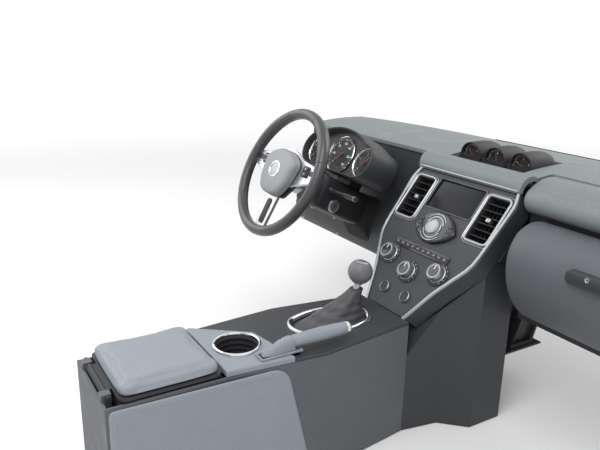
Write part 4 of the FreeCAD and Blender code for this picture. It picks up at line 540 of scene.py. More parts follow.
def ring_at(loop: Iterable[Flat], z: float, scale: float = 1.0, about: Flat = (0.0, 0.0)) -> list[Vector]:
    """Lift a loop to a height, scaled about a place."""
    return [Vector((about[0] + (x - about[0]) * scale, about[1] + (y - about[1]) * scale, z)) for x, y in loop]


def loft(rings: Sequence[Sequence[Vector]], caps: bool = True, around: bool = False) -> Mesh:
    """Skin rings of equal length.

    Args:
        rings: the rings, from one end to the other.
        caps: close both ends.
        around: join the last ring to the first instead.

    Returns:
        The mesh.
    """
    mesh = bmesh.new()
    rows = [[mesh.verts.new(p) for p in ring] for ring in rings]
    pairs = list(zip(rows, rows[1:])) + ([(rows[-1], rows[0])] if around else [])
    count = len(rows[0])
    for low, high in pairs:
        for k in range(count):
            n = (k + 1) % count
            mesh.faces.new((low[k], low[n], high[n], high[k]))
    if caps and not around:
        mesh.faces.new(rows[0][::-1])
        mesh.faces.new(rows[-1])
    return mesh


def lathe(profile: Sequence[Flat], steps: int = 48) -> Mesh:
    """Turn a profile of (radius, height) about Z; a radius of zero closes a pole.

    Args:
        profile: its points as (radius, height).
        steps: divisions of the turn.

    Returns:
        The mesh.
    """
    mesh = bmesh.new()
    rows = []
    for radius, z in profile:
        if radius < 1e-6:
            rows.append([mesh.verts.new((0, 0, z))])
        else:
            rows.append([mesh.verts.new((x, y, z)) for x, y in circle(radius, steps)])
    for low, high in zip(rows, rows[1:]):
        for k in range(steps):
            n = (k + 1) % steps
            corners = [low[k % len(low)], low[n % len(low)], high[n % len(high)], high[k % len(high)]]
            mesh.faces.new(list(dict.fromkeys(corners)))
    return mesh


def prism(outline: Sequence[Flat], low: float, high: float, round_top: float = 0.0) -> Mesh:
    """Raise an outline between two heights, its top edge drawn in by a small round.

    Args:
        outline: the shape's outline.
        low: its lower height.
        high: its upper height.
        round_top: how far the top edge is drawn in.

    Returns:
        The mesh.
    """
    about = (sum(x for x, _ in outline) / len(outline), sum(y for _, y in outline) / len(outline))
    reach = max(math.hypot(x - about[0], y - about[1]) for x, y in outline)
    rings = [ring_at(outline, low)]
    for k in range(4 if round_top else 1):
        turn = math.pi / 2 * k / 3
        inset, rise = round_top * (1 - math.cos(turn)), round_top * (1 - math.sin(turn))
        rings.append(ring_at(outline, high - rise, 1 - inset / reach, about))
    return loft(rings)


def swept(path: Sequence[Vector], section: Sequence[Flat], up: Vector, closed: bool = False) -> Mesh:
    """Carry a section along a path.

    Args:
        path: the path's points.
        section: offsets across and up.
        up: the section's up direction.
        closed: the path ends where it starts.

    Returns:
        The mesh.
    """
    rings, count = [], len(path)
    for i, here in enumerate(path):
        after = path[(i + 1) % count] if closed or i < count - 1 else here
        before = path[i - 1] if closed or i > 0 else here
        along = (after - before).normalized()
        side = along.cross(up).normalized()
        rings.append([here + side * a + side.cross(along) * b for a, b in section])
    return loft(rings, caps=not closed, around=closed)


def slab(profile: Sequence[Flat], x0: float, x1: float) -> Mesh:
    """Run a profile of (y, z) across the car between two x."""
    return loft([[Vector((x, y, z)) for y, z in profile] for x in (x0, x1)])


def moulding(outline: Sequence[Flat], z: float, section: Sequence[Flat]) -> Mesh:
    """Carry a section round an outline at a height."""
    return swept(ring_at(outline, z), section, UP, True)


def round_ended(section: Sequence[Flat], start: float, end: float, radius: float, centre: Flat,
                reach: float) -> list[list[Vector]]:
    """Give the rings of a bar across the car, with round edges at both ends.

    Args:
        section: the bar's section as (y, z).
        start: the bar's first x.
        end: its last x.
        radius: the edges' radius.
        centre: the place that the section shrinks to.
        reach: the section's distance from there.

    Returns:
        Seven rings for each end.
    """
    rings = []
    for x, side in ((start, 1), (end, -1)):
        for along, drop in (polar(radius, angle) for angle in range(0, 91, 15)):
            scale = 1 - (radius - drop) / reach
            rings.append([Vector((x + side * (radius - along), centre[0] + (y - centre[0]) * scale,
                                  centre[1] + (z - centre[1]) * scale)) for y, z in section])
    return rings[:7] + rings[:6:-1]


def closed_rings(mesh: Mesh) -> Mesh:
    """Join the open ends of a turned band into a closed ring."""
    bmesh.ops.bridge_loops(mesh, edges=[edge for edge in mesh.edges if edge.is_boundary])
    return mesh


def knurl(mesh: Mesh, side: Flat, run: Flat, count: int, depth: float) -> None:
    """Cut grip grooves into a turned knob's side.

    Args:
        mesh: the knob, turned about Z.
        side: the side's smallest and largest radius.
        run: where the grooves begin and end.
        count: number of grooves.
        depth: their depth.
    """
    for vert in mesh.verts:
        radius = math.hypot(vert.co.x, vert.co.y)
        if side[0] <= radius <= side[1] and run[0] - 0.6 <= vert.co.z <= run[1] + 0.6:
            scale = 1 - depth * (0.5 - 0.5 * math.cos(count * math.atan2(vert.co.y, vert.co.x))) / radius
            vert.co.x *= scale
            vert.co.y *= scale


def lettering(text: str, size: float) -> Mesh:
    """Give a plain number or letter as a thin raised mesh, centred.

    Args:
        text: what it says.
        size: the letters' height.

    Returns:
        The mesh, in millimetres.
    """
    curve = bpy.data.curves.new("lettering", "FONT")
    curve.body, curve.size, curve.align_x, curve.align_y = text, size, "CENTER", "CENTER"
    curve.extrude = size * 0.02
    item = bpy.data.objects.new("lettering", curve)
    flat = bpy.data.meshes.new_from_object(item)
    mesh = bmesh.new()
    mesh.from_mesh(flat)
    bpy.data.objects.remove(item)
    bpy.data.curves.remove(curve)
    bpy.data.meshes.remove(flat)
    return mesh


def moved(mesh: Mesh, x: float = 0.0, y: float = 0.0, z: float = 0.0, turn: float = 0.0, axis: str = "Z") -> Mesh:
    """Turn a mesh by degrees and then move it."""
    mesh.transform(Matrix.Translation((x, y, z)) @ Matrix.Rotation(math.radians(turn), 4, axis))
    return mesh


def joined(*meshes: Mesh) -> Mesh:
    """Put meshes into the first one.

    Args:
        meshes: the meshes; all but the first are used up.

    Returns:
        The first mesh.
    """
    first = meshes[0]
    for other in meshes[1:]:
        spare = bpy.data.meshes.new("spare")
        other.to_mesh(spare)
        other.free()
        first.from_mesh(spare)
        bpy.data.meshes.remove(spare)
    return first


def frame_of(origin: Sequence[float], normal: Sequence[float]) -> Matrix:
    """Give the place of a drawing plane whose X runs across the car.

    Args:
        origin: the plane's origin, in millimetres.
        normal: the direction that the plane faces.

    Returns:
        A matrix from the plane's millimetres to the part's.
    """
    z = Vector(normal).normalized()
    x = (RIGHT - z * z.x).normalized()
    return Matrix.Translation(origin) @ Matrix((x, z.cross(x), z)).transposed().to_4x4()


def rearward(rise: float) -> tuple[float, float, float]:
    """Give the direction to the rear, raised by degrees."""
    back, up = polar(1, rise)
    return 0.0, -back, up


WHEEL = frame_of((-366.0, -336.0, 340.0), rearward(27.7))
STACK = frame_of((0.0, -69.0, 369.0), rearward(38.9))


def linked(name: str, mesh: Mesh) -> bpy.types.Object:
    """Make an object of a mesh in millimetres, and use the mesh up.

    Args:
        name: the object's name.
        mesh: its mesh.

    Returns:
        The object.
    """
    mesh.transform(Matrix.Scale(MM, 4))
    bmesh.ops.recalc_face_normals(mesh, faces=mesh.faces)
    data = bpy.data.meshes.new(name)
    mesh.to_mesh(data)
    mesh.free()
    item = bpy.data.objects.new(name, data)
    bpy.context.scene.collection.objects.link(item)
    return item


def evaluated(item: bpy.types.Object) -> bpy.types.Mesh:
    """Give an object's mesh with its modifiers applied.

    Args:
        item: the object.

    Returns:
        A new mesh.
    """
    graph = bpy.context.evaluated_depsgraph_get()
    graph.update()
    return bpy.data.meshes.new_from_object(item.evaluated_get(graph), depsgraph=graph)


@dataclass(frozen=True)
class Bend:
    """Where a soft piece would pass from its own body to another, where it starts to follow and where it wholly does;
    kept with the piece but not applied.
    """

    body: Body
    start: tuple[float, float, float]
    end: tuple[float, float, float]


@dataclass
class Piece:
    """One visible piece: what it is called, made of, rides on and stands for."""

    name: str
    body: Body
    finish: Finish
    replaces: tuple[str, ...] = ()
    bevel: float = 0.0
    sharp: float = 38.0
    levels: int = 0
    bend: Bend | None = None

    def make(self, mesh: Mesh, place: Matrix | None = None) -> bpy.types.Object:
        """Place the mesh, finish it and let it ride on its body.

        Args:
            mesh: the mesh in millimetres.
            place: from the mesh's millimetres to the part's.

        Returns:
            The object.
        """
        mesh.transform(place or Matrix.Identity(4))
        return self.settle(linked(self.name, mesh))

    def settle(self, item: bpy.types.Object) -> bpy.types.Object:
        """Give a finished mesh object its edges and finish, and its body unless it has a bend; the bend is not applied,
        and such a piece rides on no body.

        Args:
            item: the object.

        Returns:
            The same object.
        """
        data = item.data
        data.polygons.foreach_set("use_smooth", [True] * len(data.polygons))
        data.set_sharp_from_angle(angle=math.radians(self.sharp))
        if self.bevel:
            bevel = item.modifiers.new("Edges", "BEVEL")
            bevel.width, bevel.segments, bevel.limit_method = self.bevel * MM, 3, "ANGLE"
            bevel.angle_limit, bevel.harden_normals = math.radians(self.sharp), False
        if self.levels:
            soft = item.modifiers.new("Soft", "SUBSURF")
            soft.levels = soft.render_levels = self.levels
        data.materials.clear()
        data.materials.append(self.finish.material())
        if self.bend:
            start, end = (tuple(c * MM for c in place) for place in (self.bend.start, self.bend.end))
            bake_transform(item)
            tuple(start)
            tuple(end)
        else:
            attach(item, self.body.value)
        if self.replaces:
            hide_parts(*self.replaces)
        LOG.info("%s on %s", self.name, self.body.value)
        return item

    def of_solid(self, node: str, soften: float) -> bpy.types.Object:
        """Copy a solid that the piece stands for, weld its skin and round its edges by millimetres.

        Args:
            node: the solid's name.
            soften: the edges' round.

        Returns:
            The object.
        """
        mesh = bmesh.new()
        mesh.from_mesh(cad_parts[node].data)
        bmesh.ops.remove_doubles(mesh, verts=mesh.verts, dist=WELD_GAP * MM)
        bmesh.ops.dissolve_limit(mesh, angle_limit=FLAT_ANGLE, verts=mesh.verts, edges=mesh.edges)
        mesh.transform(Matrix.Scale(1 / MM, 4))
        self.replaces, self.bevel = (node,), soften
        return self.make(mesh)


def dress(node: str, finish: Finish) -> None:
    """Give a solid that stays as it is its finish.

    Args:
        node: the solid's name.
        finish: its finish.
    """
    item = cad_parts[node]
    item.data.materials.clear()
    item.data.materials.append(finish.material())


# Repeated shapes

@dataclass(frozen=True)
class Spot:
    """A place for one copy: where it is, which way it faces and along what it lies."""

    at: Vector
    facing: Vector
    along: Vector


def line_of_spots(points: Sequence[Vector], facing: Vector | Sequence[Vector], closed: bool = False) -> list[Spot]:
    """Give a path's points as spots that lie along the path.

    Args:
        points: the path, in millimetres.
        facing: the way that all points face, or one for each.
        closed: the path ends where it starts.

    Returns:
        One spot for each point.
    """
    faces = [facing] * len(points) if isinstance(facing, Vector) else list(facing)
    count = len(points)
    spots = []
    for i, here in enumerate(points):
        after = points[(i + 1) % count] if closed or i < count - 1 else here
        before = points[i - 1] if closed or i > 0 else here
        spots.append(Spot(here, faces[i], (after - before).normalized()))
    return spots


class Copies(Nodes):
    """Geometry Nodes tree that sets copies of one shape on points, or every few millimetres on a path."""

    INPUTS = (("Points", "NodeSocketGeometry"), ("Shape", "NodeSocketObject"), ("Spacing", "NodeSocketFloat"),
              ("Turn", "NodeSocketFloat"), ("Finish", "NodeSocketMaterial"))
    SEED = 7

    def __init__(self, along_path: bool) -> None:
        """Build the tree.

        Args:
            along_path: set them along a path.
        """
        super().__init__(bpy.data.node_groups.new("copies_on_path" if along_path else "copies_on_points",
                                                  "GeometryNodeTree"))
        for label, kind in self.INPUTS:
            self.tree.interface.new_socket(label, in_out="INPUT", socket_type=kind)
        self.tree.interface.new_socket("Geometry", in_out="OUTPUT", socket_type="NodeSocketGeometry")
        given = self.node("NodeGroupInput").outputs
        points = given["Points"]
        if along_path:
            curve = self.node("GeometryNodeMeshToCurve", None, {0: points}).outputs[0]
            points = self.node("GeometryNodeResampleCurve", {"mode": "LENGTH"},
                               {"Curve": curve, "Length": given["Spacing"]}).outputs[0]
        shape = self.node("GeometryNodeObjectInfo", None, {"Object": given["Shape"]}).outputs["Geometry"]
        upright = self._aligned("facing", "Z", "AUTO", None)
        laid = self._aligned("along", "X", "Z", upright)
        spread = self.node("FunctionNodeRandomValue", {"data_type": "FLOAT"},
                           {2: 0.0, 3: given["Turn"], "Seed": self.SEED}).outputs[1]
        about = self.node("ShaderNodeCombineXYZ", None, {"Z": spread}).outputs[0]
        twist = self.node("FunctionNodeEulerToRotation", None, {0: about}).outputs[0]
        turned = self.node("FunctionNodeRotateRotation", {"rotation_space": "LOCAL"},
                           {"Rotation": laid, "Rotate By": twist}).outputs[0]
        copies = self.node("GeometryNodeInstanceOnPoints", None,
                           {"Points": points, "Instance": shape, "Rotation": turned}).outputs[0]
        real = self.node("GeometryNodeRealizeInstances", None, {0: copies}).outputs[0]
        made = self.node("GeometryNodeSetMaterial", None, {"Geometry": real, "Material": given["Finish"]}).outputs[0]
        self.node("NodeGroupOutput", None, {0: made})

    def _aligned(self, attribute: str, axis: str, pivot: str, before: Any) -> bpy.types.NodeSocket:
        """Turn an axis of each copy to a stored direction.

        Args:
            attribute: name of the stored direction.
            axis: the axis that turns.
            pivot: the axis that it turns about.
            before: the rotation so far.

        Returns:
            The new rotation.
        """
        way = self.node("GeometryNodeInputNamedAttribute", {"data_type": "FLOAT_VECTOR"},
                        {"Name": attribute}).outputs[0]
        inputs = {"Vector": way} | ({"Rotation": before} if before else {})
        return self.node("FunctionNodeAlignRotationToVector", {"axis": axis, "pivot_axis": pivot}, inputs).outputs[0]


_TREES: dict[bool, Copies] = {}


def repeat(piece: "Piece", shape: Mesh, spots: Sequence[Spot], spacing: float = 0.0, closed: bool = False,
           turn: float = 0.0, place: Matrix | None = None) -> bpy.types.Object:
    """Set copies of a shape on spots, and make them one plain mesh.

    Args:
        piece: the piece that they become.
        shape: one copy, in millimetres, facing +Z and lying along +X; it is used up.
        spots: where copies go, or the path that they follow.
        spacing: millimetres between copies on the path, or 0 for one on each spot.
        closed: the path ends where it starts.
        turn: greatest random turn of a copy, in degrees.
        place: from the spots' millimetres to the part's.

    Returns:
        The finished object.
    """
    place = place or Matrix.Identity(4)
    turning = place.to_3x3()
    count = len(spots)
    edges = [(i, (i + 1) % count) for i in range(count if closed else count - 1)] if spacing else []
    holder = bpy.data.meshes.new(piece.name + "_spots")
    holder.from_pydata([tuple((place @ s.at) * MM) for s in spots], edges, [])
    for name in ("facing", "along"):
        ways = [turning @ getattr(s, name) for s in spots]
        holder.attributes.new(name, "FLOAT_VECTOR", "POINT").data.foreach_set("vector", [c for w in ways for c in w])
    shape.transform(Matrix.Scale(MM, 4))
    bmesh.ops.recalc_face_normals(shape, faces=shape.faces)
    pattern = bpy.data.objects.new(piece.name + "_one", bpy.data.meshes.new(piece.name + "_one"))
    shape.to_mesh(pattern.data)
    shape.free()
    item = bpy.data.objects.new(piece.name, holder)
    bpy.context.scene.collection.objects.link(item)
    along_path = spacing > 0
    if along_path not in _TREES:
        _TREES[along_path] = Copies(along_path)
    tree = _TREES[along_path].tree
    modifier = item.modifiers.new("Copies", "NODES")
    modifier.node_group = tree
    given = {"Shape": pattern, "Spacing": spacing * MM, "Turn": math.radians(turn), "Finish": piece.finish.material()}
    for socket in tree.interface.items_tree:
        if socket.in_out == "INPUT" and socket.name in given:
            modifier[socket.identifier] = given[socket.name]
    plain = evaluated(item)
    item.modifiers.remove(modifier)
    item.data = plain
    plain.name = piece.name
    bpy.data.meshes.remove(holder)
    bpy.data.objects.remove(pattern)
    return piece.settle(item)


def stitch(long: float = 3.4, radius: float = 0.45) -> Mesh:
    """One thread stitch, sunk at both ends."""
    rows = ((-long / 2, 0.5, -0.25), (-long / 4, 1.0, 0.1), (long / 4, 1.0, 0.1), (long / 2, 0.5, -0.25))
    return loft([[Vector((x, a, lift + b)) for a, b in circle(radius * scale, 6)] for x, scale, lift in rows])


def hex_bolt(size: float) -> Mesh:
    """Flanged hexagon bolt head that faces +Z."""
    head = prism(circle(size * 0.577, 6), size * 0.14, size * 0.62, size * 0.09)
    return joined(head, lathe([(0, 0), (size * 0.78, 0), (size * 0.74, size * 0.12), (0, size * 0.15)], 18))


def pan_screw() -> Mesh:
    """Low round screw head with a six-point recess, facing +Z.

    Returns:
        The mesh.
    """
    radius = 3.6
    star = [polar(radius * (0.46 if k % 2 else 0.34), 30 * k) for k in range(12)]
    rows = ((1.0, 0), (0.96, 0.35), (0.7, 0.58))
    return loft([ring_at(circle(radius * scale, 12), radius * rise) for scale, rise in rows]
                + [ring_at(star, radius * 0.6), ring_at(star, radius * 0.2)])


class Skin:
    """A solid's surface, to seat small pieces on."""

    def __init__(self, node: str) -> None:
        """Take the solid's triangles.

        Args:
            node: the solid's name.
        """
        mesh = bmesh.new()
        mesh.from_mesh(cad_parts[node].data)
        self.tree = BVHTree.FromBMesh(mesh)
        mesh.free()

    def hit(self, start: Sequence[float], way: Sequence[float]) -> tuple[Vector, Vector]:
        """Give the point and outward direction where a ray meets the surface.

        Args:
            start: where the ray begins, in millimetres.
            way: its direction.

        Returns:
            The point in millimetres and the direction that faces the start.
        """
        at, normal, _, _ = self.tree.ray_cast(Vector(start) * MM, Vector(way).normalized())
        if at is None:
            raise ValueError(f"nothing under {tuple(start)}")
        return at / MM, normal if normal.dot(Vector(way)) < 0 else -normal

    def seat(self, start: Sequence[float], way: Sequence[float]) -> Matrix:
        """Give the place of a small piece that stands on the surface, with its X across the car."""
        return frame_of(*self.hit(start, way))

    def spots(self, starts: Iterable[Sequence[float]], way: Sequence[float], lift: float = SEAT_LIFT) -> list[Spot]:
        """Give a spot across the car, lifted a little, where each ray meets the surface."""
        return [Spot(at + normal * lift, normal, RIGHT) for at, normal in (self.hit(start, way) for start in starts)]


# Sub-assemblies

class Assembly:
    """Makes pieces that ride on one body and are drawn in one plane."""

    body: ClassVar[Body] = Body.DASH
    plane: ClassVar[Matrix] = Matrix.Identity(4)

    def add(self, name: str, finish: Finish, *meshes: Mesh, at: Matrix | None = None,
            replaces: tuple[str, ...] = (), **edges: Any) -> bpy.types.Object:
        """Make one piece of one or more meshes.

        Args:
            name: the piece's name.
            finish: its finish.
            meshes: its parts, in millimetres.
            at: their place, if it isn't the assembly's plane.
            replaces: the solids that it stands for.
            edges: the piece's bevel, sharp angle or bend.

        Returns:
            The object.
        """
        return Piece(name, self.body, finish, replaces, **edges).make(joined(*meshes), at or self.plane)

    def cover(self, name: str, finish: Finish, node: str, soften: float) -> bpy.types.Object:
        """Dress a solid in a copy of its own skin, its edges softened by millimetres."""
        return Piece(name, self.body, finish).of_solid(node, soften=soften)

    def copies(self, name: str, finish: Finish, shape: Mesh, spots: Sequence[Spot], at: Matrix | None = None,
               replaces: tuple[str, ...] = (), **ways: Any) -> bpy.types.Object:
        """Make one piece of a repeated shape.

        Args:
            name: the piece's name.
            finish: its finish.
            shape: one copy.
            spots: where copies go, or the path that they follow.
            at: the spots' place, if it isn't the assembly's plane.
            replaces: the solids that it stands for.
            ways: the copies' spacing and turn, and whether the path is closed.

        Returns:
            The object.
        """
        return repeat(Piece(name, self.body, finish, replaces), shape, spots, place=at or self.plane, **ways)


# Instruments

@dataclass
class Dial(Assembly):
    """Round instrument: face, ticks, numbers, needle and bezel, drawn flat with +Z to the reader."""

    name: str
    radius: float
    numbers: tuple[str, ...]
    value: float
    ticks: int = 21
    replaces: tuple[str, ...] = ()
    body: Body = Body.DASH
    plane: Matrix = field(default_factory=Matrix)
    start: float = 225.0
    sweep: float = 270.0

    def build(self) -> None:
        """Make the instrument's pieces."""
        r = self.radius
        face = lathe([(0, 0), (r * 0.55, 0), (r * 0.57, -0.5), (r * 0.60, 0), (r, 0.4), (r, -2), (0, -2)], 64)
        self.add(self.name + "_face", DIAL, face, replaces=self.replaces)
        bezel = lathe([(r - 0.2, -1.8), (r - 0.2, 2.6), (r - 1.1, 3.4), (r - 2.4, 2.4), (r - 3.6, 0.6),
                       (r - 3.8, -1.8)], 64)
        self.add(self.name + "_bezel", CHROME, closed_rings(bezel))
        self._scale()
        self._needle()

    def _angle(self, part: float) -> float:
        """Give the angle at a part of the scale, in degrees."""
        return self.start - self.sweep * part

    def _scale(self) -> None:
        """Lay the ticks and numbers on the face."""
        r, last = self.radius, self.ticks - 1
        longer = set(range(0, self.ticks, 5))
        shorter = set(range(self.ticks)) - longer
        for kind, long, wide, chosen in (("long", 0.13, 0.022, longer), ("short", 0.07, 0.014, shorter)):
            spots = []
            for k in sorted(chosen):
                way = Vector((*polar(1, self._angle(k / last)), 0))
                spots.append(Spot(way * r * (0.88 - long / 2) + UP * 0.25, UP, way))
            tick = prism(box_outline(r * long, r * wide, 0), 0, 0.25)
            self.copies(f"{self.name}_{kind}_ticks", INK, tick, spots)
        figures = []
        for text, part in zip(self.numbers, evenly(0, 1, len(self.numbers) - 1)):
            figures.append(moved(lettering(text, r * 0.17), *polar(r * 0.60, self._angle(part)), 0.3))
        self.add(self.name + "_numbers", INK, *figures)

    def _needle(self) -> None:
        """Add the pointer and its hub."""
        r = self.radius
        tail, tip = (-r * 0.18, r * 0.022), (r * 0.78, r * 0.008)
        pointer = prism([(tail[0], -tail[1]), (tip[0], -tip[1]), tip, tail], 1.4, 2.0)
        self.add(self.name + "_needle", NEEDLE, moved(pointer, turn=self._angle(self.value)))
        hub = lathe([(0, 0.1), (r * 0.13, 0.1), (r * 0.13, 2.4), (r * 0.10, 3.0), (0, 3.1)], 32)
        self.add(self.name + "_hub", BLACK, hub)


@dataclass
class InstrumentCluster(Assembly):
    """Cowl on the column with one main and two side instruments."""

    up: float = 104.0
    back: float = 150.0
    deep: float = 82.0
    hood: float = 26.0
    wall: float = 5.0
    main_r: float = 56.0
    main_rise: float = 12.0
    side_r: float = 42.0
    side_x: float = 103.0
    body: ClassVar[Body] = Body.COLUMN
    plane: ClassVar[Matrix] = WHEEL

    def outline(self, inset: float) -> list[Flat]:
        """Give the cowl's outline, drawn in by an inset.

        Args:
            inset: how far it is drawn in.

        Returns:
            The outline's points.
        """
        x, tall = self.side_x, self.side_r + self.wall - inset
        high = self.main_r + self.wall + self.main_rise - inset
        low, top = self.up - tall, self.up + tall
        return (arc((x, low), (x + tall, self.up), (x, top), 14)
                + arc((x, top), (0, self.up + high), (-x, top), 24)
                + arc((-x, top), (-x - tall, self.up), (-x, low), 14)
                + [(a, low) for a in evenly(-x, x, 12)[:-1]])

    def build(self) -> None:
        """Make the cowl, its plate and the instruments."""
        wall, plate, face, front = self.wall, -self.back, self.hood - self.back, -self.back - self.deep
        rows = ((6, front, 0.97), (1, front + 6, 0.99), (0, front + 20, 1), (0, face - 3, 1), (0.8, face - 0.8, 1),
                (2.2, face, 1), (3.8, face - 0.6, 1), (wall, face - 3, 1), (wall + 1.5, plate + 1.2, 1))
        shell = loft([ring_at(self.outline(inset), z, scale, (0, self.up)) for inset, z, scale in rows])
        stay = loft([ring_at(box_outline(60, 18, 4, (0, 51)), front + z) for z in (4, 44)])
        self.add("cluster_cowl", CHARCOAL, shell, stay, replaces=("cluster_housing",), sharp=50)
        self.add("cluster_plate", BLACK, prism(self.outline(wall + 0.4), plate + 1.25, plate + 2.2))
        self._dials()
        rim = self.outline(-0.25)[14:38]
        ways = [Vector((x, y - self.up, 0)).normalized() for x, y in rim]
        line = line_of_spots([Vector((x, y, face - 12)) for x, y in rim], ways)
        self.copies("cowl_stitches", DARK_THREAD, stitch(), line, spacing=5.2)

    def _dials(self) -> None:
        """Set the speed, engine and fuel dials on the plate."""
        rows = (("speed", 0.0, self.up + 4, self.main_r - 4, range(0, 241, 40), 0.0, 31, ("cluster_dials",)),
                ("revs", -self.side_x, self.up, self.side_r - 3, range(0, 9, 2), 0.0, 41, ()),
                ("fuel", self.side_x, self.up, self.side_r - 3, range(5), 0.62, 21, ()))
        for name, x, y, radius, numbers, value, ticks, replaces in rows:
            at = self.plane @ Matrix.Translation((x, y, 3.4 - self.back))
            Dial(name + "_dial", radius, tuple(map(str, numbers)), value, ticks, replaces, self.body, at).build()


@dataclass
class GaugePods(Assembly):
    """Three round pods on a shared tray on top of the dashboard."""

    pitch: float = 74.0
    lip_y: float = 8.0
    height: float = 404.0
    radius: float = 32.0
    long: float = 96.0
    wall: float = 4.0
    trough: float = 30.0
    dial_sunk: float = 9.5

    def build(self) -> None:
        """Make the tray, the pods and their instruments."""
        lip, top, r = self.lip_y, self.height, self.radius
        low, floor, edge, far = top - r - self.wall, top - r + 1, lip - self.trough, lip + self.long
        half = self.pitch + r + 4
        tray = slab([(edge, low), (far, low), (far, top - 2), (far - 2, top), (lip + 4, top), (lip + 4, floor + 6),
                     (lip, floor + 1), (lip - 6, floor), (edge + 8, floor), (edge + 4, floor + 4),
                     (edge + 3, top - 9),
                     (edge + 1.5, top - 8), (edge, top - 10)], -half, half)
        bore = r - self.wall
        profile = [(bore - 0.6, -18), (bore, -14), (bore, -2), (bore + 0.8, -0.5), (bore + self.wall / 2, 0),
                   (r - 0.6, -0.6), (r, -2.4), (r, -44), (r * 0.93, -66), (r * 0.74, -84), (r * 0.42, -93),
                   (0, -95.5)]
        places = (-self.pitch, 0.0, self.pitch)
        pods = [moved(moved(lathe(profile, 56), turn=90, axis="X"), x, lip, top) for x in places]
        self.add("pod_shells", BLACK, tray, *pods, replaces=("gauge_pods",))
        scales = ((range(4), 0.35, ()), (range(50, 131, 40), 0.45, ("pod_dials",)), (range(0, 9, 2), 0.25, ()))
        for order, (x, (numbers, value, replaces)) in enumerate(zip(places, scales), 1):
            at = frame_of((x, lip + self.dial_sunk, top), REAR)
            figures = tuple(map(str, numbers))
            Dial(f"pod_dial_{order}", bore - 0.3, figures, value, replaces=replaces, plane=at).build()


# Dashboard

@dataclass
class DashTop(Assembly):
    """Top skin with its stitched edge, and the air grille under the windscreen."""

    grille_half: float = 250.0
    grille_y: float = 262.0
    grille_wide: float = 24.0
    grille_low: float = 390.0
    slat_pitch: float = 7.0
    slat_lean: float = 28.0
    # Place of the satin bead that paints the highlight along the hood's rounded edge.
    highlight_bead_half: float = 146.0
    highlight_bead_y: float = -74.0
    highlight_bead_z: float = 375.0
    seams: tuple[tuple[float, float, float], ...] = ((-690.0, -172.0, -18.0), (166.0, 690.0, 22.0))
    seam_gap: float = 9.0

    def build(self) -> None:
        """Make the skin, its stitches, the bead of painted highlight and the grille."""
        self.cover("top_skin", LIT_DASH_SKIN, "dash_top", 2.5)
        self._stitches()
        self._hood_trim()
        self._grille()

    def _hood_trim(self) -> None:
        """Run a satin silver bead along the foot of the hood over the stack: a painted highlight for the light that the
        skin's rounded edge catches.
        """
        path = [Vector((x, self.highlight_bead_y, self.highlight_bead_z)) for x in evenly(-self.highlight_bead_half, self.highlight_bead_half, 32)]
        half = [(-0.6, -3.0), (1.0, -2.7), (2.4, -1.4), (2.8, 0)]
        section = half + [(a, -b) for a, b in half[-2::-1]]
        self.add("hood_trim", SILVER, swept(path, section, UP), sharp=60)

    def _stitches(self) -> None:
        """Run two rows of stitches along the skin's rear edge."""
        skin = Skin("dash_top")
        for row in (0, 1):
            for side, (x0, x1, y) in enumerate(self.seams):
                starts = [(x, y + row * self.seam_gap, 450) for x in evenly(x0, x1, 40)]
                self.copies(f"top_stitches_{row}{side}", THREAD, stitch(3.6, 0.5), skin.spots(starts, -UP),
                            spacing=5.5)

    def _grille(self) -> None:
        """Make the grille's frame, its slats and the mesh under them."""
        long, low, wide = 2 * self.grille_half, self.grille_low, self.grille_wide
        middle = self.grille_y + wide / 2
        path = [Vector((x, y, low + 3)) for x, y in box_outline(long - 5, wide - 5, 6, (0, middle))]
        section = [(-2.5, -3), (2.5, -3), (2.5, 1.8), (1.4, 3), (-1.4, 3), (-2.5, 1.8)]
        self.add("grille_frame", BLACK, swept(path, section, UP, True), replaces=("windscreen_grille",))
        slat = moved(prism(box_outline(2.2, wide - 4, 1.0), -2.6, 2.2, 0.5), turn=self.slat_lean, axis="Y")
        spots = [Spot(Vector((8 - self.grille_half + self.slat_pitch * k, middle, low + 2.6)), UP, RIGHT)
                 for k in range(int((long - 10) / self.slat_pitch))]
        self.copies("grille_slats", BLACK, slat, spots)
        self.add("grille_floor", FOAM, prism(box_outline(long - 6, wide - 6, 4, (0, middle)), low - 0.6, low))


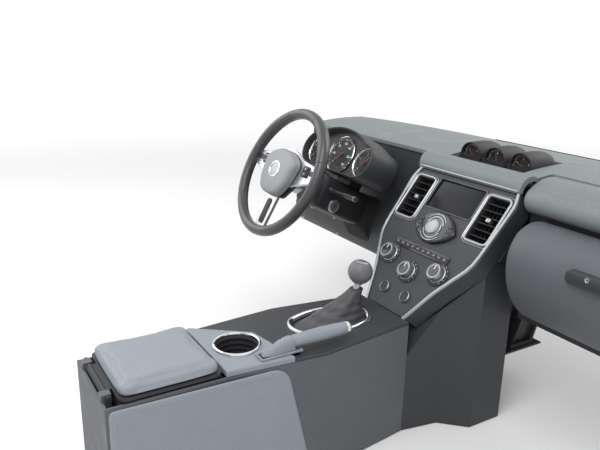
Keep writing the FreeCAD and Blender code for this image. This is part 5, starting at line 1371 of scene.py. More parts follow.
@dataclass
class PassengerSide(Assembly):
    """Padded roll, lower panel, glovebox lid and its pull."""

    roll_in: float = 158.0
    out: float = 700.0
    roll_front: float = 9.7
    roll_top: float = 402.0
    roll_low: float = 334.0
    roll_seams: Flat = (386.0, 378.0)
    lid_in: float = 196.0
    lid_out: float = 570.0
    lid_back: float = -150.0
    lid_back_z: float = 270.0
    lid_wall: float = 14.0
    end_round: float = 9.0

    def build(self) -> None:
        """Make the roll, panel, lid and pull."""
        self._roll()
        self.cover("lower_panel", CHARCOAL, "passenger_panel", 1.5)
        self._lid()
        self._pull()
        self.cover("glovebox_tray", FOAM, "glovebox_bin", 1.0)

    def _roll(self) -> None:
        """Make the roll with soft ends and two rows of stitches in its crease."""
        front, top, low, bend, foot = self.roll_front, self.roll_top, self.roll_low, (-60, 383), -56
        section = (arc((front, top), (-34, 397), bend, 14) + arc(bend, (-74, 360), (foot, low), 16)
                   + [(y, low) for y in evenly(foot, front, 8)[:-1]] + [(front, z) for z in evenly(low, top, 8)[:-1]])
        rings = round_ended(section, self.roll_in, self.out, self.end_round, (-25.0, 366.0), 55)
        half = len(rings) // 2
        xs = evenly(self.roll_in + self.end_round, self.out - self.end_round, 24)[1:-1]
        rings[half:half] = [[Vector((x, y, z)) for y, z in section] for x in xs]
        self.add("roll_skin", LIT_DASH_SKIN, loft(rings), replaces=("passenger_roll",), sharp=60)
        skin = Skin("passenger_roll")
        for row, z in enumerate(self.roll_seams):
            starts = [(x, -120, z) for x in evenly(self.roll_in + 12, self.out - 12, 30)]
            self.copies(f"roll_stitches_{row}", THREAD, stitch(3.6, 0.5), skin.spots(starts, -REAR), spacing=5.5)

    def _lid_section(self, wall: float) -> list[Flat]:
        """Give the lid's section as (y, z), a wall's thickness inside its skin, with its front crease rounded.

        Args:
            wall: the wall's thickness.

        Returns:
            The section's points.
        """
        nose, foot = (self.lid_back + wall, self.lid_back_z), (-84 + wall / 2, 128 + wall)
        row = (arc((-66, 326 - wall), (-128 + wall, 311 - wall), nose, 20)
               + arc(nose, (-138 + wall, 196 + wall / 2), foot, 24))
        for _ in range(14):
            row[13:29] = [((a[0] + 2 * b[0] + c[0]) / 4, (a[1] + 2 * b[1] + c[1]) / 4)
                          for a, b, c in zip(row[12:28], row[13:29], row[14:30])]
        return [(-62, 326 - wall), *row, foot, (-62, 128 + wall)]

    def _lid(self) -> None:
        """Make the lid's hollow shell with round ends."""
        skin, lining = self._lid_section(0), self._lid_section(self.lid_wall)
        shell = loft(round_ended(skin, self.lid_in, self.lid_out, self.end_round, (-100.0, 228.0), 80))
        shell.verts.ensure_lookup_table()
        last = len(skin) - 1
        low, high = (shell.verts[len(skin) * row:len(skin) * (row + 1)] for row in (6, 7))
        shell.faces.remove(next(f for f in low[0].link_faces if high[last] in f.verts))
        near, far = ([shell.verts.new((x, y, z)) for y, z in lining]
                     for x in (self.lid_in + self.lid_wall, self.lid_out - self.lid_wall))
        for k in range(last):
            shell.faces.new((near[k], far[k], far[k + 1], near[k + 1]))
        for face in (near, far[::-1], (low[0], high[0], far[0], near[0]),
                     (high[last], low[last], near[last], far[last]),
                     (low[last], low[0], near[0], near[last]), (high[0], high[last], far[last], far[0])):
            shell.faces.new(face)
        self._on_lid("lid_skin", LOWER_SKIN, shell, replaces=("glovebox_lid",), sharp=50)

    def _pull(self) -> None:
        """Make the lid's pull, a dark bar whose hollow behind its edge is a thin black sheet of painted shade on its
        face, and the lock.
        """
        at = frame_of(((self.lid_in + self.lid_out) / 2, self.lid_back - 0.2, self.lid_back_z + 6), REAR)
        bar = prism(box_outline(90, 24, 11), -9, 10.0, 3.0)
        self._on_lid("lid_pull", CHARCOAL, bar, at, replaces=("glovebox_handle",))
        # Thin black sheet on the bar's face: painted shade of the hollow behind its edge.
        self._on_lid("lid_pull_grip", BLACK, prism(box_outline(74, 9, 4, (0, -3)), 9.8, 10.4, 0.3), at)
        lock = lathe([(0, 10.3), (3.0, 10.3), (3.4, 10.9), (4.6, 10.9), (5.0, 10.2), (5.0, 9.0), (0, 9.0)], 32)
        self._on_lid("lid_lock", CHROME, moved(lock, y=6), at)

    def _on_lid(self, name: str, finish: Finish, mesh: Mesh, at: Matrix | None = None, **looks: Any) -> None:
        """Make a piece that swings with the lid."""
        Piece(name, Body.LID, finish, **looks).make(mesh, at)


@dataclass
class DriverSide(Assembly):
    """Knee panel, end walls and the rotary light switch."""

    switch_x: float = -618.0
    switch_z: float = 222.0
    screw_x: tuple[float, ...] = (-670.0, -480.0, -260.0, -190.0)
    screw_z: float = 109.0
    wall_in: float = 696.1
    wall_out: float = 699.6
    wall_rear: float = -28.0
    wall_front: float = 133.0
    wall_low: float = 128.0
    wall_top: float = 387.0
    panel_low: float = 97.0

    def build(self) -> None:
        """Make the panel, the end walls and the switch."""
        self.cover("knee_panel", CHARCOAL, "driver_panel", 2.0)
        self.cover("end_walls", CHARCOAL, "dash_ends", 1.0)
        self._end_returns()
        skin = Skin("driver_panel")
        at = skin.seat((self.switch_x, -200, self.switch_z), -REAR)
        self.add("light_switch_plate", BLACK, prism(box_outline(58, 50, 10), -3, 2.2, 1.2), at=at)
        knob = lathe([(15, 1.5), (16, 2.0), (15.5, 3.2), (13.5, 3.6), (13.0, 10.5), (12.2, 12.0), (0, 12.6)], 48)
        self.add("light_switch", KEYS, knob, prism(box_outline(25, 6, 3), 11.5, 16.0, 1.5), at=at)
        self.add("light_switch_mark", INK, prism(box_outline(6, 1.2, 0.5, (8, 0)), 16.0, 16.3), at=at)
        spots = skin.spots([(x, -200, self.screw_z) for x in self.screw_x], -REAR, 0)
        self.copies("knee_panel_screws", ZINC, pan_screw(), spots, turn=60)

    def _end_returns(self) -> None:
        """Close each end from the wall to the panel and the top's underside, with plates in the wall's plane."""
        plates, top = [], Skin("dash_top")
        for node, side, high in (("driver_panel", -1, 296.0), ("passenger_panel", 1, 333.0)):
            skin = Skin(node)
            rear = [(skin.hit((side * 691, -300, z), -REAR)[0].y + 0.8, z) for z in evenly(self.panel_low, high, 16)]
            plates.append((side, rear + [(self.wall_rear, high), (self.wall_rear, self.wall_low)]))
        for side, start in ((-1, -26.0), (1, 16.0)):
            under = [(y, top.hit((side * 694, y, 250), UP)[0].z + 0.5) for y in evenly(start, self.wall_front, 10)]
            plates.append((side, [(self.wall_front, self.wall_top), (start, self.wall_top)] + under))
        meshes = [slab(profile, *sorted((side * self.wall_in, side * self.wall_out))) for side, profile in plates]
        self.add("end_returns", CHARCOAL, *meshes)


@dataclass
class SideVents(Assembly):
    """Round air vent at each end of the dashboard."""

    x: float = 618.0
    y: float = -70.0
    z: float = 292.0
    radius: float = 36.0
    long: float = 60.0

    def build(self) -> None:
        """Make both vents."""
        r, end = self.radius, -self.long
        shells, rings, vanes = [], [], []
        for side in (-1, 1):
            shell = lathe([(0, -30), (r - 5, -30), (r - 4, -4), (r - 3.2, -1), (r - 1.2, -0.2), (r, -1.8),
                           (r, end + 1),
                           (r - 1.5, end), (0, end)], 64)
            ring = lathe([(r - 6.6, -2.2), (r - 6.2, -0.4), (r - 5.0, 0.0), (r - 3.6, -0.8), (r - 3.4, -2.6)], 64)
            inner = [prism(box_outline(2 * math.sqrt((r - 6.5) ** 2 - y * y), 1.8, 0.8, (0, y)), -15, -3, 0.6)
                     for y in evenly(-20, 20, 4)] + [prism(box_outline(16, 10, 4), -4, 2.6, 1.6)]
            for mesh in (shell, closed_rings(ring), *inner):
                mesh.transform(frame_of((side * self.x, self.y, self.z), REAR))
            shells.append(shell)
            rings.append(ring)
            vanes += inner
        self.add("side_vent_shells", BLACK, *shells, replaces=("side_vents",))
        self.add("side_vent_rings", SILVER, *rings)
        self.add("side_vent_vanes", KEYS, *vanes)


# Centre stack

@dataclass
class CentreStack(Assembly):
    """Shield-shaped panel with screen, vents, audio control, knobs, sockets and silver strips."""

    rows: tuple[Flat, ...] = ((149.0, 4.0), (160.0, -30.0), (150.0, -178.0), (100.0, -262.0), (66.0, -342.0))
    strip_in: float = 4.5
    screen_half: float = 70.0
    screen_top: float = 14.0
    screen_end: float = 88.0
    vent_in: float = 82.0
    vent_out: float = 142.0
    vent_top: float = 20.0
    vent_end: float = 128.0
    audio_at: float = 132.0
    audio_half: float = 62.0
    radio_at: float = 189.0
    radio_pitch: float = 16.6
    knobs: tuple[Flat, ...] = ((78.0, -222.0), (-78.0, -222.0), (0.0, -244.0))
    socket_at: float = 296.0
    socket_x: float = 34.0
    plane: ClassVar[Matrix] = STACK

    def build(self) -> None:
        """Make every piece of the stack."""
        self.cover("stack_panel", CHARCOAL, "stack_face", 2.2)
        self.cover("stack_walls", CHARCOAL, "stack_sides", 1.2)
        self._strips()
        self._screen()
        self._vents()
        self._audio()
        self._radio()
        self._knobs()
        self._sockets()

    def _strips(self) -> None:
        """Run a silver strip down each edge."""
        strips, half = [], [(3.4, -2.4), (3.4, 1.0), (2.2, 2.3)]
        for side in (-1, 1):
            path = [Vector((side * (x - self.strip_in), y, 2.4)) for x, y in broken_line(self.rows, 6)]
            path[1:-1] = [(p + q * 2 + r) / 4 for p, q, r in zip(path, path[1:], path[2:])]
            strips.append(swept(path, half + [(0, 2.6)] + [(-a, b) for a, b in half[::-1]], UP))
        self.add("stack_strips", SILVER, *strips, replaces=("stack_trims",))

    def _screen(self) -> None:
        """Set the glass in a dark bezel."""
        wide, tall = 2 * self.screen_half, self.screen_end - self.screen_top
        middle = (0, -(self.screen_end + self.screen_top) / 2)
        glass = prism(box_outline(wide - 0.6, tall - 0.6, 3, middle), -14.5, -3.0, 0.8)
        self.add("screen_glass", SCREEN, glass, replaces=("screen",))
        section = [(-2.2, -2.5), (-2.2, 0.6), (-1.0, 1.4), (1.0, 1.4), (2.2, 0.4), (2.2, -2.5)]
        self.add("screen_bezel", PIANO, moulding(box_outline(wide + 2, tall + 2, 6, middle), 0.2, section))

    def _vents(self) -> None:
        """Make vent boxes, silver frames, slats, vanes and thumb tabs."""
        frames, vanes, tabs, spots = [], [], [], []
        wide, tall = self.vent_out - self.vent_in, self.vent_end - self.vent_top
        rim = [(-2.8, -2), (-2.8, 1.4), (-1.2, 2.8), (1.2, 2.8), (2.8, 1.4), (2.8, -2)]
        line = [(-1.2, -1.2), (-1.2, 0.8), (0, 1.5), (1.2, 0.8), (1.2, -1.2)]
        lean = Vector((0, -0.35, 1)).normalized()
        for side in (-1, 1):
            x, y = side * (self.vent_in + self.vent_out) / 2, -(self.vent_end + self.vent_top) / 2
            frames.append(moulding(box_outline(wide + 3, tall + 3, 12, (x, y)), 0.8, rim))
            frames.append(moulding(box_outline(wide + 15, tall + 13, 15, (x + side, y)), 0.2, line))
            spots += [Spot(Vector((x, -self.vent_top - drop, -8)), lean, RIGHT) for drop in evenly(0, tall, 7)[1:-1]]
            vanes += [prism(box_outline(1.6, tall - 8, 0.6, (x + out, y)), -34, -19)
                      for out in evenly(-wide / 2, wide / 2, 6)[1:-1]]
            tabs.append(prism(box_outline(12, 9, 3, (x, y)), -10, 0.6, 1.4))
        end = wide / 2 - 3.2
        slat = slab([(-1.0, -8), (1.0, -8), (1.1, 5), (0.5, 6.2), (-0.5, 6.2), (-1.1, 5)], -end, end)
        self.copies("vent_slats", KEYS, slat, spots, replaces=("centre_vent_slats",))
        self.add("vent_frames", SILVER, *frames)
        self.add("vent_vanes", BLACK, *vanes)
        self.add("vent_tabs", SILVER, *tabs)
        self.cover("vent_boxes", BLACK, "centre_vents", 0.4)

    def _audio(self) -> None:
        """Make the rounded control cluster: domed body, arcs, keys and knob."""
        centre = (0.0, -self.audio_at)
        left, right = (-self.audio_half, -self.audio_at), (self.audio_half, -self.audio_at)
        outline = arc(left, (0, -92), right, 28) + arc(right, (0, -168), left, 28)
        rows = ((0, 1), (4.5, 1), (7.0, 0.975), (8.4, 0.93), (9.0, 0.86), (9.0, 0.5))
        body = loft([ring_at(outline, z, scale, centre) for z, scale in rows])
        self.add("audio_panel", PIANO, body, replaces=("audio_control",), sharp=50)
        arcs = []
        for r0, r1, a0, a1 in ((24, 27, 20, 160), (24, 27, 200, 340), (31, 33, 35, 145), (31, 33, 215, 325)):
            turns = evenly(a0, a1, 20)
            loop = [polar(r1, a) for a in turns] + [polar(r0, a) for a in turns[::-1]]
            arcs.append(moved(prism(loop, 8.4, 10.4, 0.5), *centre))
        self.add("audio_arcs", SILVER, *arcs)
        places = [(13 - 2 * abs(row), (x, -self.audio_at - 12 * row)) for x in (-44, 44) for row in (-1, 0, 1)]
        self.add("audio_keys", KEYS, *(prism(box_outline(wide, 8.5, 2.5, at), 8.2, 10.6, 1.0) for wide, at in places))
        knob = lathe([(0, 8.5), (20.5, 8.5), (20.8, 9.6), (19.4, 10.4), (18.2, 15.2), (17.2, 16.0), (15.8, 15.6),
                      (15.2, 14.6), (0, 14.2)], 144)
        knurl(knob, (17.6, 20.0), (10.5, 15.4), 36, 0.5)
        self.add("audio_knob", SILVER, moved(knob, *centre))
        cap = lathe([(0, 14.0), (13.5, 14.0), (13.0, 15.2), (9.0, 15.7), (0, 15.9)])
        self.add("audio_knob_cap", SILVER, moved(cap, *centre))

    def _radio(self) -> None:
        """Make the band with its row of keys."""
        y, xs = -self.radio_at, [self.radio_pitch * k - 75 for k in range(10)]
        self.add("radio_bar", PIANO, prism(box_outline(168, 18, 4, (0, y)), 0, 3.4, 0.8), replaces=("radio_band",))
        self.add("radio_keys", KEYS, *(prism(box_outline(14.5, 11, 2, (x, y)), 3.0, 5.0, 0.9) for x in xs))
        spots = [Spot(Vector((x, y, 5.0)), UP, RIGHT) for x in xs]
        self.copies("radio_marks", INK, prism(box_outline(5, 0.9, 0.4), 0, 0.15), spots)

    def _knobs(self) -> None:
        """Make three climate knobs, each in a dark collar with a ring of marks."""
        collars, knobs, caps, points, marks = [], [], [], [], []
        for x, y in self.knobs:
            collar = [(0, 0), (26.5, 0), (26.5, 1.8), (25.4, 2.6), (21.6, 2.6), (21.0, 1.6), (0, 1.6)]
            collars.append(moved(lathe(collar, 64), x, y))
            knob = lathe([(0, 1.7), (19.8, 1.7), (20.0, 3.4), (18.6, 4.4), (17.8, 17.2), (16.6, 19.2), (14.6, 19.6),
                          (13.9, 18.6), (0, 18.2)], 120)
            knurl(knob, (17.5, 19.4), (4.6, 17.6), 30, 0.55)
            knobs.append(moved(knob, x, y))
            caps.append(moved(lathe([(0, 18.0), (13.3, 18.0), (12.6, 19.0), (0, 19.4)]), x, y))
            points.append(prism(box_outline(2.0, 9, 0.9, (x, y + 8.2)), 19.2, 19.8, 0.2))
            for angle in evenly(-45, 225, 10):
                way = Vector((*polar(1, angle), 0))
                marks.append(Spot(Vector((x, y, 2.6)) + way * 23.6, UP, way))
        self.add("knob_collars", BLACK, *collars)
        self.add("knobs_turned", SILVER, *knobs, replaces=("climate_knobs",))
        self.add("knob_caps", PIANO, *caps)
        self.add("knob_pointers", INK, *points)
        self.copies("knob_marks", INK, prism(box_outline(2.4, 0.9, 0.3), 0, 0.15), marks)

    def _sockets(self) -> None:
        """Make two sockets with sprung caps."""
        rims, caps = [], []
        for x in (-self.socket_x, self.socket_x):
            rim = closed_rings(lathe([(10.6, 0), (10.6, 5.0), (11.4, 6.0), (12.6, 5.2), (13.0, 3.6), (13.0, 0)]))
            rims.append(moved(rim, x, -self.socket_at))
            cap = lathe([(0, 0.5), (10.3, 0.5), (10.3, 4.2), (9.2, 5.0), (4.0, 4.4), (0, 4.3)])
            caps.append(moved(cap, x, -self.socket_at))
        self.add("socket_rims", SILVER, *rims, replaces=("stack_sockets",))
        self.add("socket_caps", BLACK, *caps)


# Centre console

@dataclass
class Console(Assembly):
    """Console walls, plate, leather cap, cup holder and switch."""

    walls: tuple[Flat, ...] = ((-910.0, 92.0), (-690.0, 96.0), (-500.0, 112.0), (-284.0, 84.0))
    pad_middle: Flat = (-735.0, -22.0)
    cap_line: tuple[Flat, ...] = ((58.0, -587.0), (-16.0, -597.0), (-58.0, -652.0), (-88.0, -692.0))
    cap_top: float = 114.0
    cup: Flat = (14.0, -642.0)
    cup_r: float = 40.0
    cup_deep: float = 72.0
    switch: tuple[float, float, float] = (47.0, -563.0, 108.0)

    def on_wall(self, side: int, y: float, z: float, out: float) -> Vector:
        """Give the place at a height over a side wall, whose distance from the middle changes along the console.

        Args:
            side: -1 for the left wall, 1 for the right.
            y: the place along the console.
            z: its height.
            out: its distance from the wall.

        Returns:
            The place.
        """
        for (y0, x0), (y1, x1) in zip(self.walls, self.walls[1:]):
            if y <= y1:
                return Vector((side * (x0 + (x1 - x0) * (y - y0) / (y1 - y0) + out), y, z))
        return Vector((side * (self.walls[-1][1] + out), y, z))

    def build(self) -> None:
        """Make every piece of the console."""
        self.cover("console_walls", LOWER_SKIN, "console_body", 3.0)
        self.cover("console_plate_skin", CHARCOAL, "console_plate", 1.5)
        self.cover("console_cap_skin", LIGHT_HIDE, "console_cap", 3.0)
        self._side_pads()
        line = [Vector((x, y, self.cap_top + 0.1)) for x, y in broken_line(self.cap_line, 8)]
        self.copies("cap_stitches", THREAD, stitch(), line_of_spots(line, UP), spacing=5.2)
        self._cup()
        self._switch()

    def _side_pads(self) -> None:
        """Cover the rear walls with leather pads and stitch their edges."""
        pads = []
        outline = filleted([(-905, -140, 16), (-530, -140, 30), (-585, 96, 40), (-905, 96, 12)], 8)
        rows = ((0.2, 1.0), (1.8, 1.0), (2.8, 0.992), (3.4, 0.975), (3.6, 0.94), (3.8, 0.6), (3.9, 0.3))
        for side in (-1, 1):
            rings = [(out, ring_at(outline, 0, scale, self.pad_middle)) for out, scale in rows]
            pads.append(loft([[self.on_wall(side, y, z, out) for y, z, _ in ring] for out, ring in rings]))
        self.add("console_side_pads", LIGHT_HIDE, *pads, sharp=60)
        outline = filleted([(-897, -132, 12), (-540, -132, 26), (-592, 88, 36), (-897, 88, 8)], 8)
        for side, name in ((-1, "left"), (1, "right")):
            points = [self.on_wall(side, y, z, 3.7) for y, z in outline]
            line = line_of_spots(points, RIGHT * side, True)
            self.copies(f"side_pad_stitches_{name}", THREAD, stitch(), line, spacing=5.4, closed=True)

    def _cup(self) -> None:
        """Make the cup well with ribs, its floor mat and a bright ring."""
        r, deep = self.cup_r, -self.cup_deep
        well = [(0, deep), (r + 2.9, deep), (r + 2.9, 0), (r + 6.4, 0.4), (r + 6.4, 2.4), (r + 2, 2.6)]
        for z in evenly(-4, -48, 4):
            well += [(r, z), (r - 0.9, z - 1.5), (r - 0.9, z - 3.5), (r, z - 5)]
        well += [(r, -62), (r - 3, deep + 4), (0, deep + 3.4)]
        ring = [(r + 0.6, 2.0), (r + 1.2, 4.2), (r + 3.2, 5.0), (r + 5.8, 4.2), (r + 7.0, 2.2), (r + 6.9, 0.3)]
        mat = [(0, -68.8), (34, -68.8), (34, -66.6), (30, -66.2), (28, -67.4), (24, -66.2), (20, -67.4), (16, -66.2),
               (12, -67.4), (8, -66.2), (0, -66.2)]
        at = Matrix.Translation((*self.cup, self.cap_top))
        self.add("cup_well", BLACK, lathe(well, 64), at=at, replaces=("cup_holder",))
        self.add("cup_ring", CHROME, closed_rings(lathe(ring, 72)), at=at)
        self.add("cup_mat", RUBBER, lathe(mat), at=at)

    def _switch(self) -> None:
        """Make the pair of rocker keys in their frame."""
        keys = [prism(box_outline(10.6, 14, 2, (x, 0)), 3, 7.0, 1.4) for x in (-5.9, 5.9)]
        base = prism(box_outline(26, 18, 3), 0, 3.2, 0.8)
        self.add("console_rockers", SILVER, base, *keys, at=Matrix.Translation(self.switch),
                 replaces=("console_switch",))


@dataclass
class Shifter(Assembly):
    """Bright oval ring, pleated gaiter, lever and leather knob."""

    ring_y: float = -424.0
    half_wide: float = 58.0
    half_long: float = 94.0
    band: float = 11.0
    low: float = 108.0
    lever_y: float = -392.0
    lever_z: float = 30.0
    knob_y: float = -352.0
    knob_z: float = 203.0
    neck_z: float = 168.0
    neck_r: float = 13.5
    ball: float = 26.0
    gate: float = 6.0

    def oval(self, half_wide: float, half_long: float, y: float) -> list[Flat]:
        """Give the opening's oval of four arcs.

        Args:
            half_wide: half its width.
            half_long: half its length.
            y: its middle.

        Returns:
            The oval's points.
        """
        w, l = half_wide * 0.72, half_long * 0.78
        stops = ((w, y - l), (half_wide, y), (w, y + l), (0, y + half_long), (-w, y + l), (-half_wide, y),
                 (-w, y - l),
                 (0, y - half_long), (w, y - l))
        return [p for k in (0, 2, 4, 6) for p in arc(*stops[k:k + 3], 24)]

    def build(self) -> None:
        """Make the ring, the gaiter, the lever and the knob."""
        rows = ((0.2, 0.2), (0.0, 3.0), (1.4, 5.6), (4.0, 7.0), (7.0, 6.6), (9.6, 4.6), (10.8, 1.6), (10.9, 0.0))
        rings = [ring_at(self.oval(self.half_wide - inset, self.half_long - inset, self.ring_y), self.low + rise)
                 for inset, rise in rows]
        self.add("shift_ring_bright", CHROME, loft(rings, around=True), replaces=("shift_ring",), sharp=60)
        self._gaiter()
        dress("lever_bracket", STEEL)
        dress("gear_lever", SHAFT)
        self._knob()

    def _neck(self, z: float) -> float:
        """Give the lever's y at a height."""
        return self.lever_y + (self.knob_y - self.lever_y) * (z - self.lever_z) / (self.knob_z - self.lever_z)

    def _gaiter(self) -> None:
        """Gather the leather from the ring to the lever's neck in soft folds."""
        wide, long = (half - self.band - 0.4 - self.neck_r for half in (self.half_wide, self.half_long))
        base, top, rings = self.low - 4.0, self.neck_z, []
        for u in evenly(0, 1, 28):
            z = base + (top - base) * u ** 1.15
            y = self.ring_y + (self._neck(z) - self.ring_y) * u ** 0.8
            close = (1 - u) ** 1.25
            fold = 1 + 0.050 * math.sin(u * math.pi * 9) * math.sin(math.pi * min(1.0, u * 1.05))
            ring, (half_wide, half_long) = [], ((self.neck_r + more * close) * fold for more in (wide, long))
            for i, (a, b) in enumerate(self.oval(half_wide, half_long, 0)):
                pucker = 1 - 0.14 * math.cos(math.pi * i / 6) * u * (1 - u)
                ring.append(Vector((a * pucker, y + b * pucker, z)))
            rings.append(ring)
        neck = Vector((0, self._neck(top), top))
        rings.append([neck + (p - neck) * 0.62 + UP * 0.6 for p in rings[-1]])
        bend = Bend(Body.SHIFTER, (0, self.ring_y, self.low), tuple(neck))
        self.add("gaiter_folds", DARK_HIDE, loft(rings), replaces=("shift_gaiter",), sharp=80, bend=bend)

    def _knob(self) -> None:
        """Make the ball knob of stitched leather, its collar and its bright cap."""
        lean = math.atan2(self.knob_y - self.lever_y, self.knob_z - self.lever_z)
        at = Matrix.Translation((0, self.knob_y, self.knob_z)) @ Matrix.Rotation(-lean, 4, "X")
        r, gate = self.ball, self.gate
        hide = [(0, -r * 0.97)] + [polar(r, a - 90) for a in range(14, 140, 6)]
        hide += [(polar(r, 50)[0], r * 0.766), (r * 0.60, r * 0.775), (0, r * 0.78)]
        Piece("knob_hide", Body.SHIFTER, KNOB_HIDE, ("gear_knob",), sharp=70).make(lathe(hide, 64), at)
        cap = [(0, r * 0.70), (r * 0.585, r * 0.70), (r * 0.585, r * 0.80), (r * 0.52, r * 0.86), (0, r * 0.93)]
        Piece("knob_cap", Body.SHIFTER, SILVER).make(lathe(cap), at)
        lines = [prism(box_outline(1.0, 11, 0.4, (x, 0)), 0, 0.3) for x in (-gate, 0, gate)]
        lines.append(prism(box_outline(2 * gate + 1, 1.0, 0.4), 0, 0.3))
        gears = (("1", -gate, 7.6), ("2", -gate, -7.6), ("3", 0, 7.8), ("4", 0, -7.8), ("5", gate, 7.6),
                 ("R", gate, -7.6))
        figures = [moved(lettering(text, 3.4), x, y) for text, x, y in gears]
        Piece("knob_pattern", Body.SHIFTER, BLACK).make(moved(joined(*lines, *figures), z=r * 0.925), at)
        collar = [(0, -r * 0.99), (9.5, -r * 0.99), (11.0, -r * 0.93), (11.5, -r * 0.86), (10.5, -r * 0.80),
                  (0, -r * 0.80)]
        Piece("knob_collar", Body.SHIFTER, CHROME).make(lathe(collar, 40), at)
        ways = [Vector((0, *polar(1, -90 - a))) for a in evenly(30, 138, 24)]
        line = line_of_spots([way * (r + 0.05) for way in ways], ways)
        repeat(Piece("knob_stitches", Body.SHIFTER, THREAD), stitch(2.6, 0.38), line, spacing=3.6, place=at)


@dataclass
class Handbrake(Assembly):
    """Leather grip with its button, the pleated boot and the lever's steel."""

    x: float = 81.0
    pivot_y: float = -612.0
    pivot_z: float = 66.0
    start: float = 50.0
    long: float = 128.0
    radius: float = 13.5
    up: float = 66.0
    top: float = 114.0
    boot_y: float = -588.0
    boot_half: Flat = (11.5, 38.0)
    boot_neck: float = 10.4
    body: ClassVar[Body] = Body.HANDBRAKE

    def build(self) -> None:
        """Make the grip, boot, collar and steel pieces."""
        dress("handbrake_lever", STEEL)
        dress("handbrake_mount", STEEL)
        self._grip()
        self._boot()
        Piece("boot_frame", Body.DASH, LIGHT_HIDE).of_solid("handbrake_collar", soften=1.2)

    def _belly(self, part: float) -> float:
        """Give the grip's radius at a part of its length."""
        return self.radius - 2.2 + 2.0 * math.sin(math.pi * part * 0.98)

    def _grip(self) -> None:
        """Turn the tapered grip, with its seam and button."""
        at = frame_of((self.x, self.pivot_y, self.pivot_z + self.up), -REAR)
        r, s, end, parts = self.radius, self.start, self.start + self.long, evenly(0, 1, 16)[1:-1]
        hide = [(0, s), (r - 3.6, s), (r - 2.6, s + 1.5), (r - 2.2, s + 5)]
        hide += [(self._belly(part), s + 5 + (self.long - 12) * part) for part in parts]
        hide += [(r - 2.3, end - 5), (r - 2.6, end - 2), (r - 4.2, end - 0.5), (0, end)]
        self.add("grip_hide", LIGHT_HIDE, lathe(hide), at=at, replaces=("handbrake_grip",), sharp=60)
        ring = [(r - 2.0, end - 9), (r - 1.6, end - 8), (r - 1.6, end - 4), (r - 2.4, end - 3), (r - 4, end - 6)]
        self.add("grip_ring", CHROME, closed_rings(lathe(ring, 40)), at=at)
        button = [(0, end - 2), (5.4, end - 2), (5.4, end + 2.2), (4.4, end + 3.4), (0, end + 3.9)]
        self.add("grip_button", CHROME, lathe(button, 32), at=at)
        seam = [Vector((0, -self._belly(part) - 0.1, s + 5 + (self.long - 16) * part)) for part in evenly(0, 1, 24)]
        self.copies("grip_stitches", THREAD, stitch(3.0, 0.4), line_of_spots(seam, REAR), at, spacing=4.6)

    def _boot(self) -> None:
        """Pleat the boot from its frame up to the grip."""
        rings, (wide, long), neck = [], self.boot_half, self.boot_neck
        for k, u in enumerate(evenly(0, 1, 18)):
            turn = math.radians(78) * u
            centre = Vector((self.x, self.boot_y + 27 * u + 6 * math.sin(math.pi * u), self.top + 1.5 + 17 * u))
            pleat = 1 + (0.07 if k % 2 else -0.05) * (1 - 0.3 * u)
            oval = oval_outline((wide + (neck - wide) * u) * pleat, (long + (neck - long) * u) * pleat, 48, 2.6)
            rings.append([centre + Vector((a, b * math.cos(turn), -b * math.sin(turn))) for a, b in oval])
        bend = Bend(Body.HANDBRAKE, (self.x, -600, self.top + 2), (self.x, -570, self.top + 14))
        Piece("brake_boot", Body.DASH, LIGHT_HIDE, sharp=80, bend=bend).make(loft(rings))


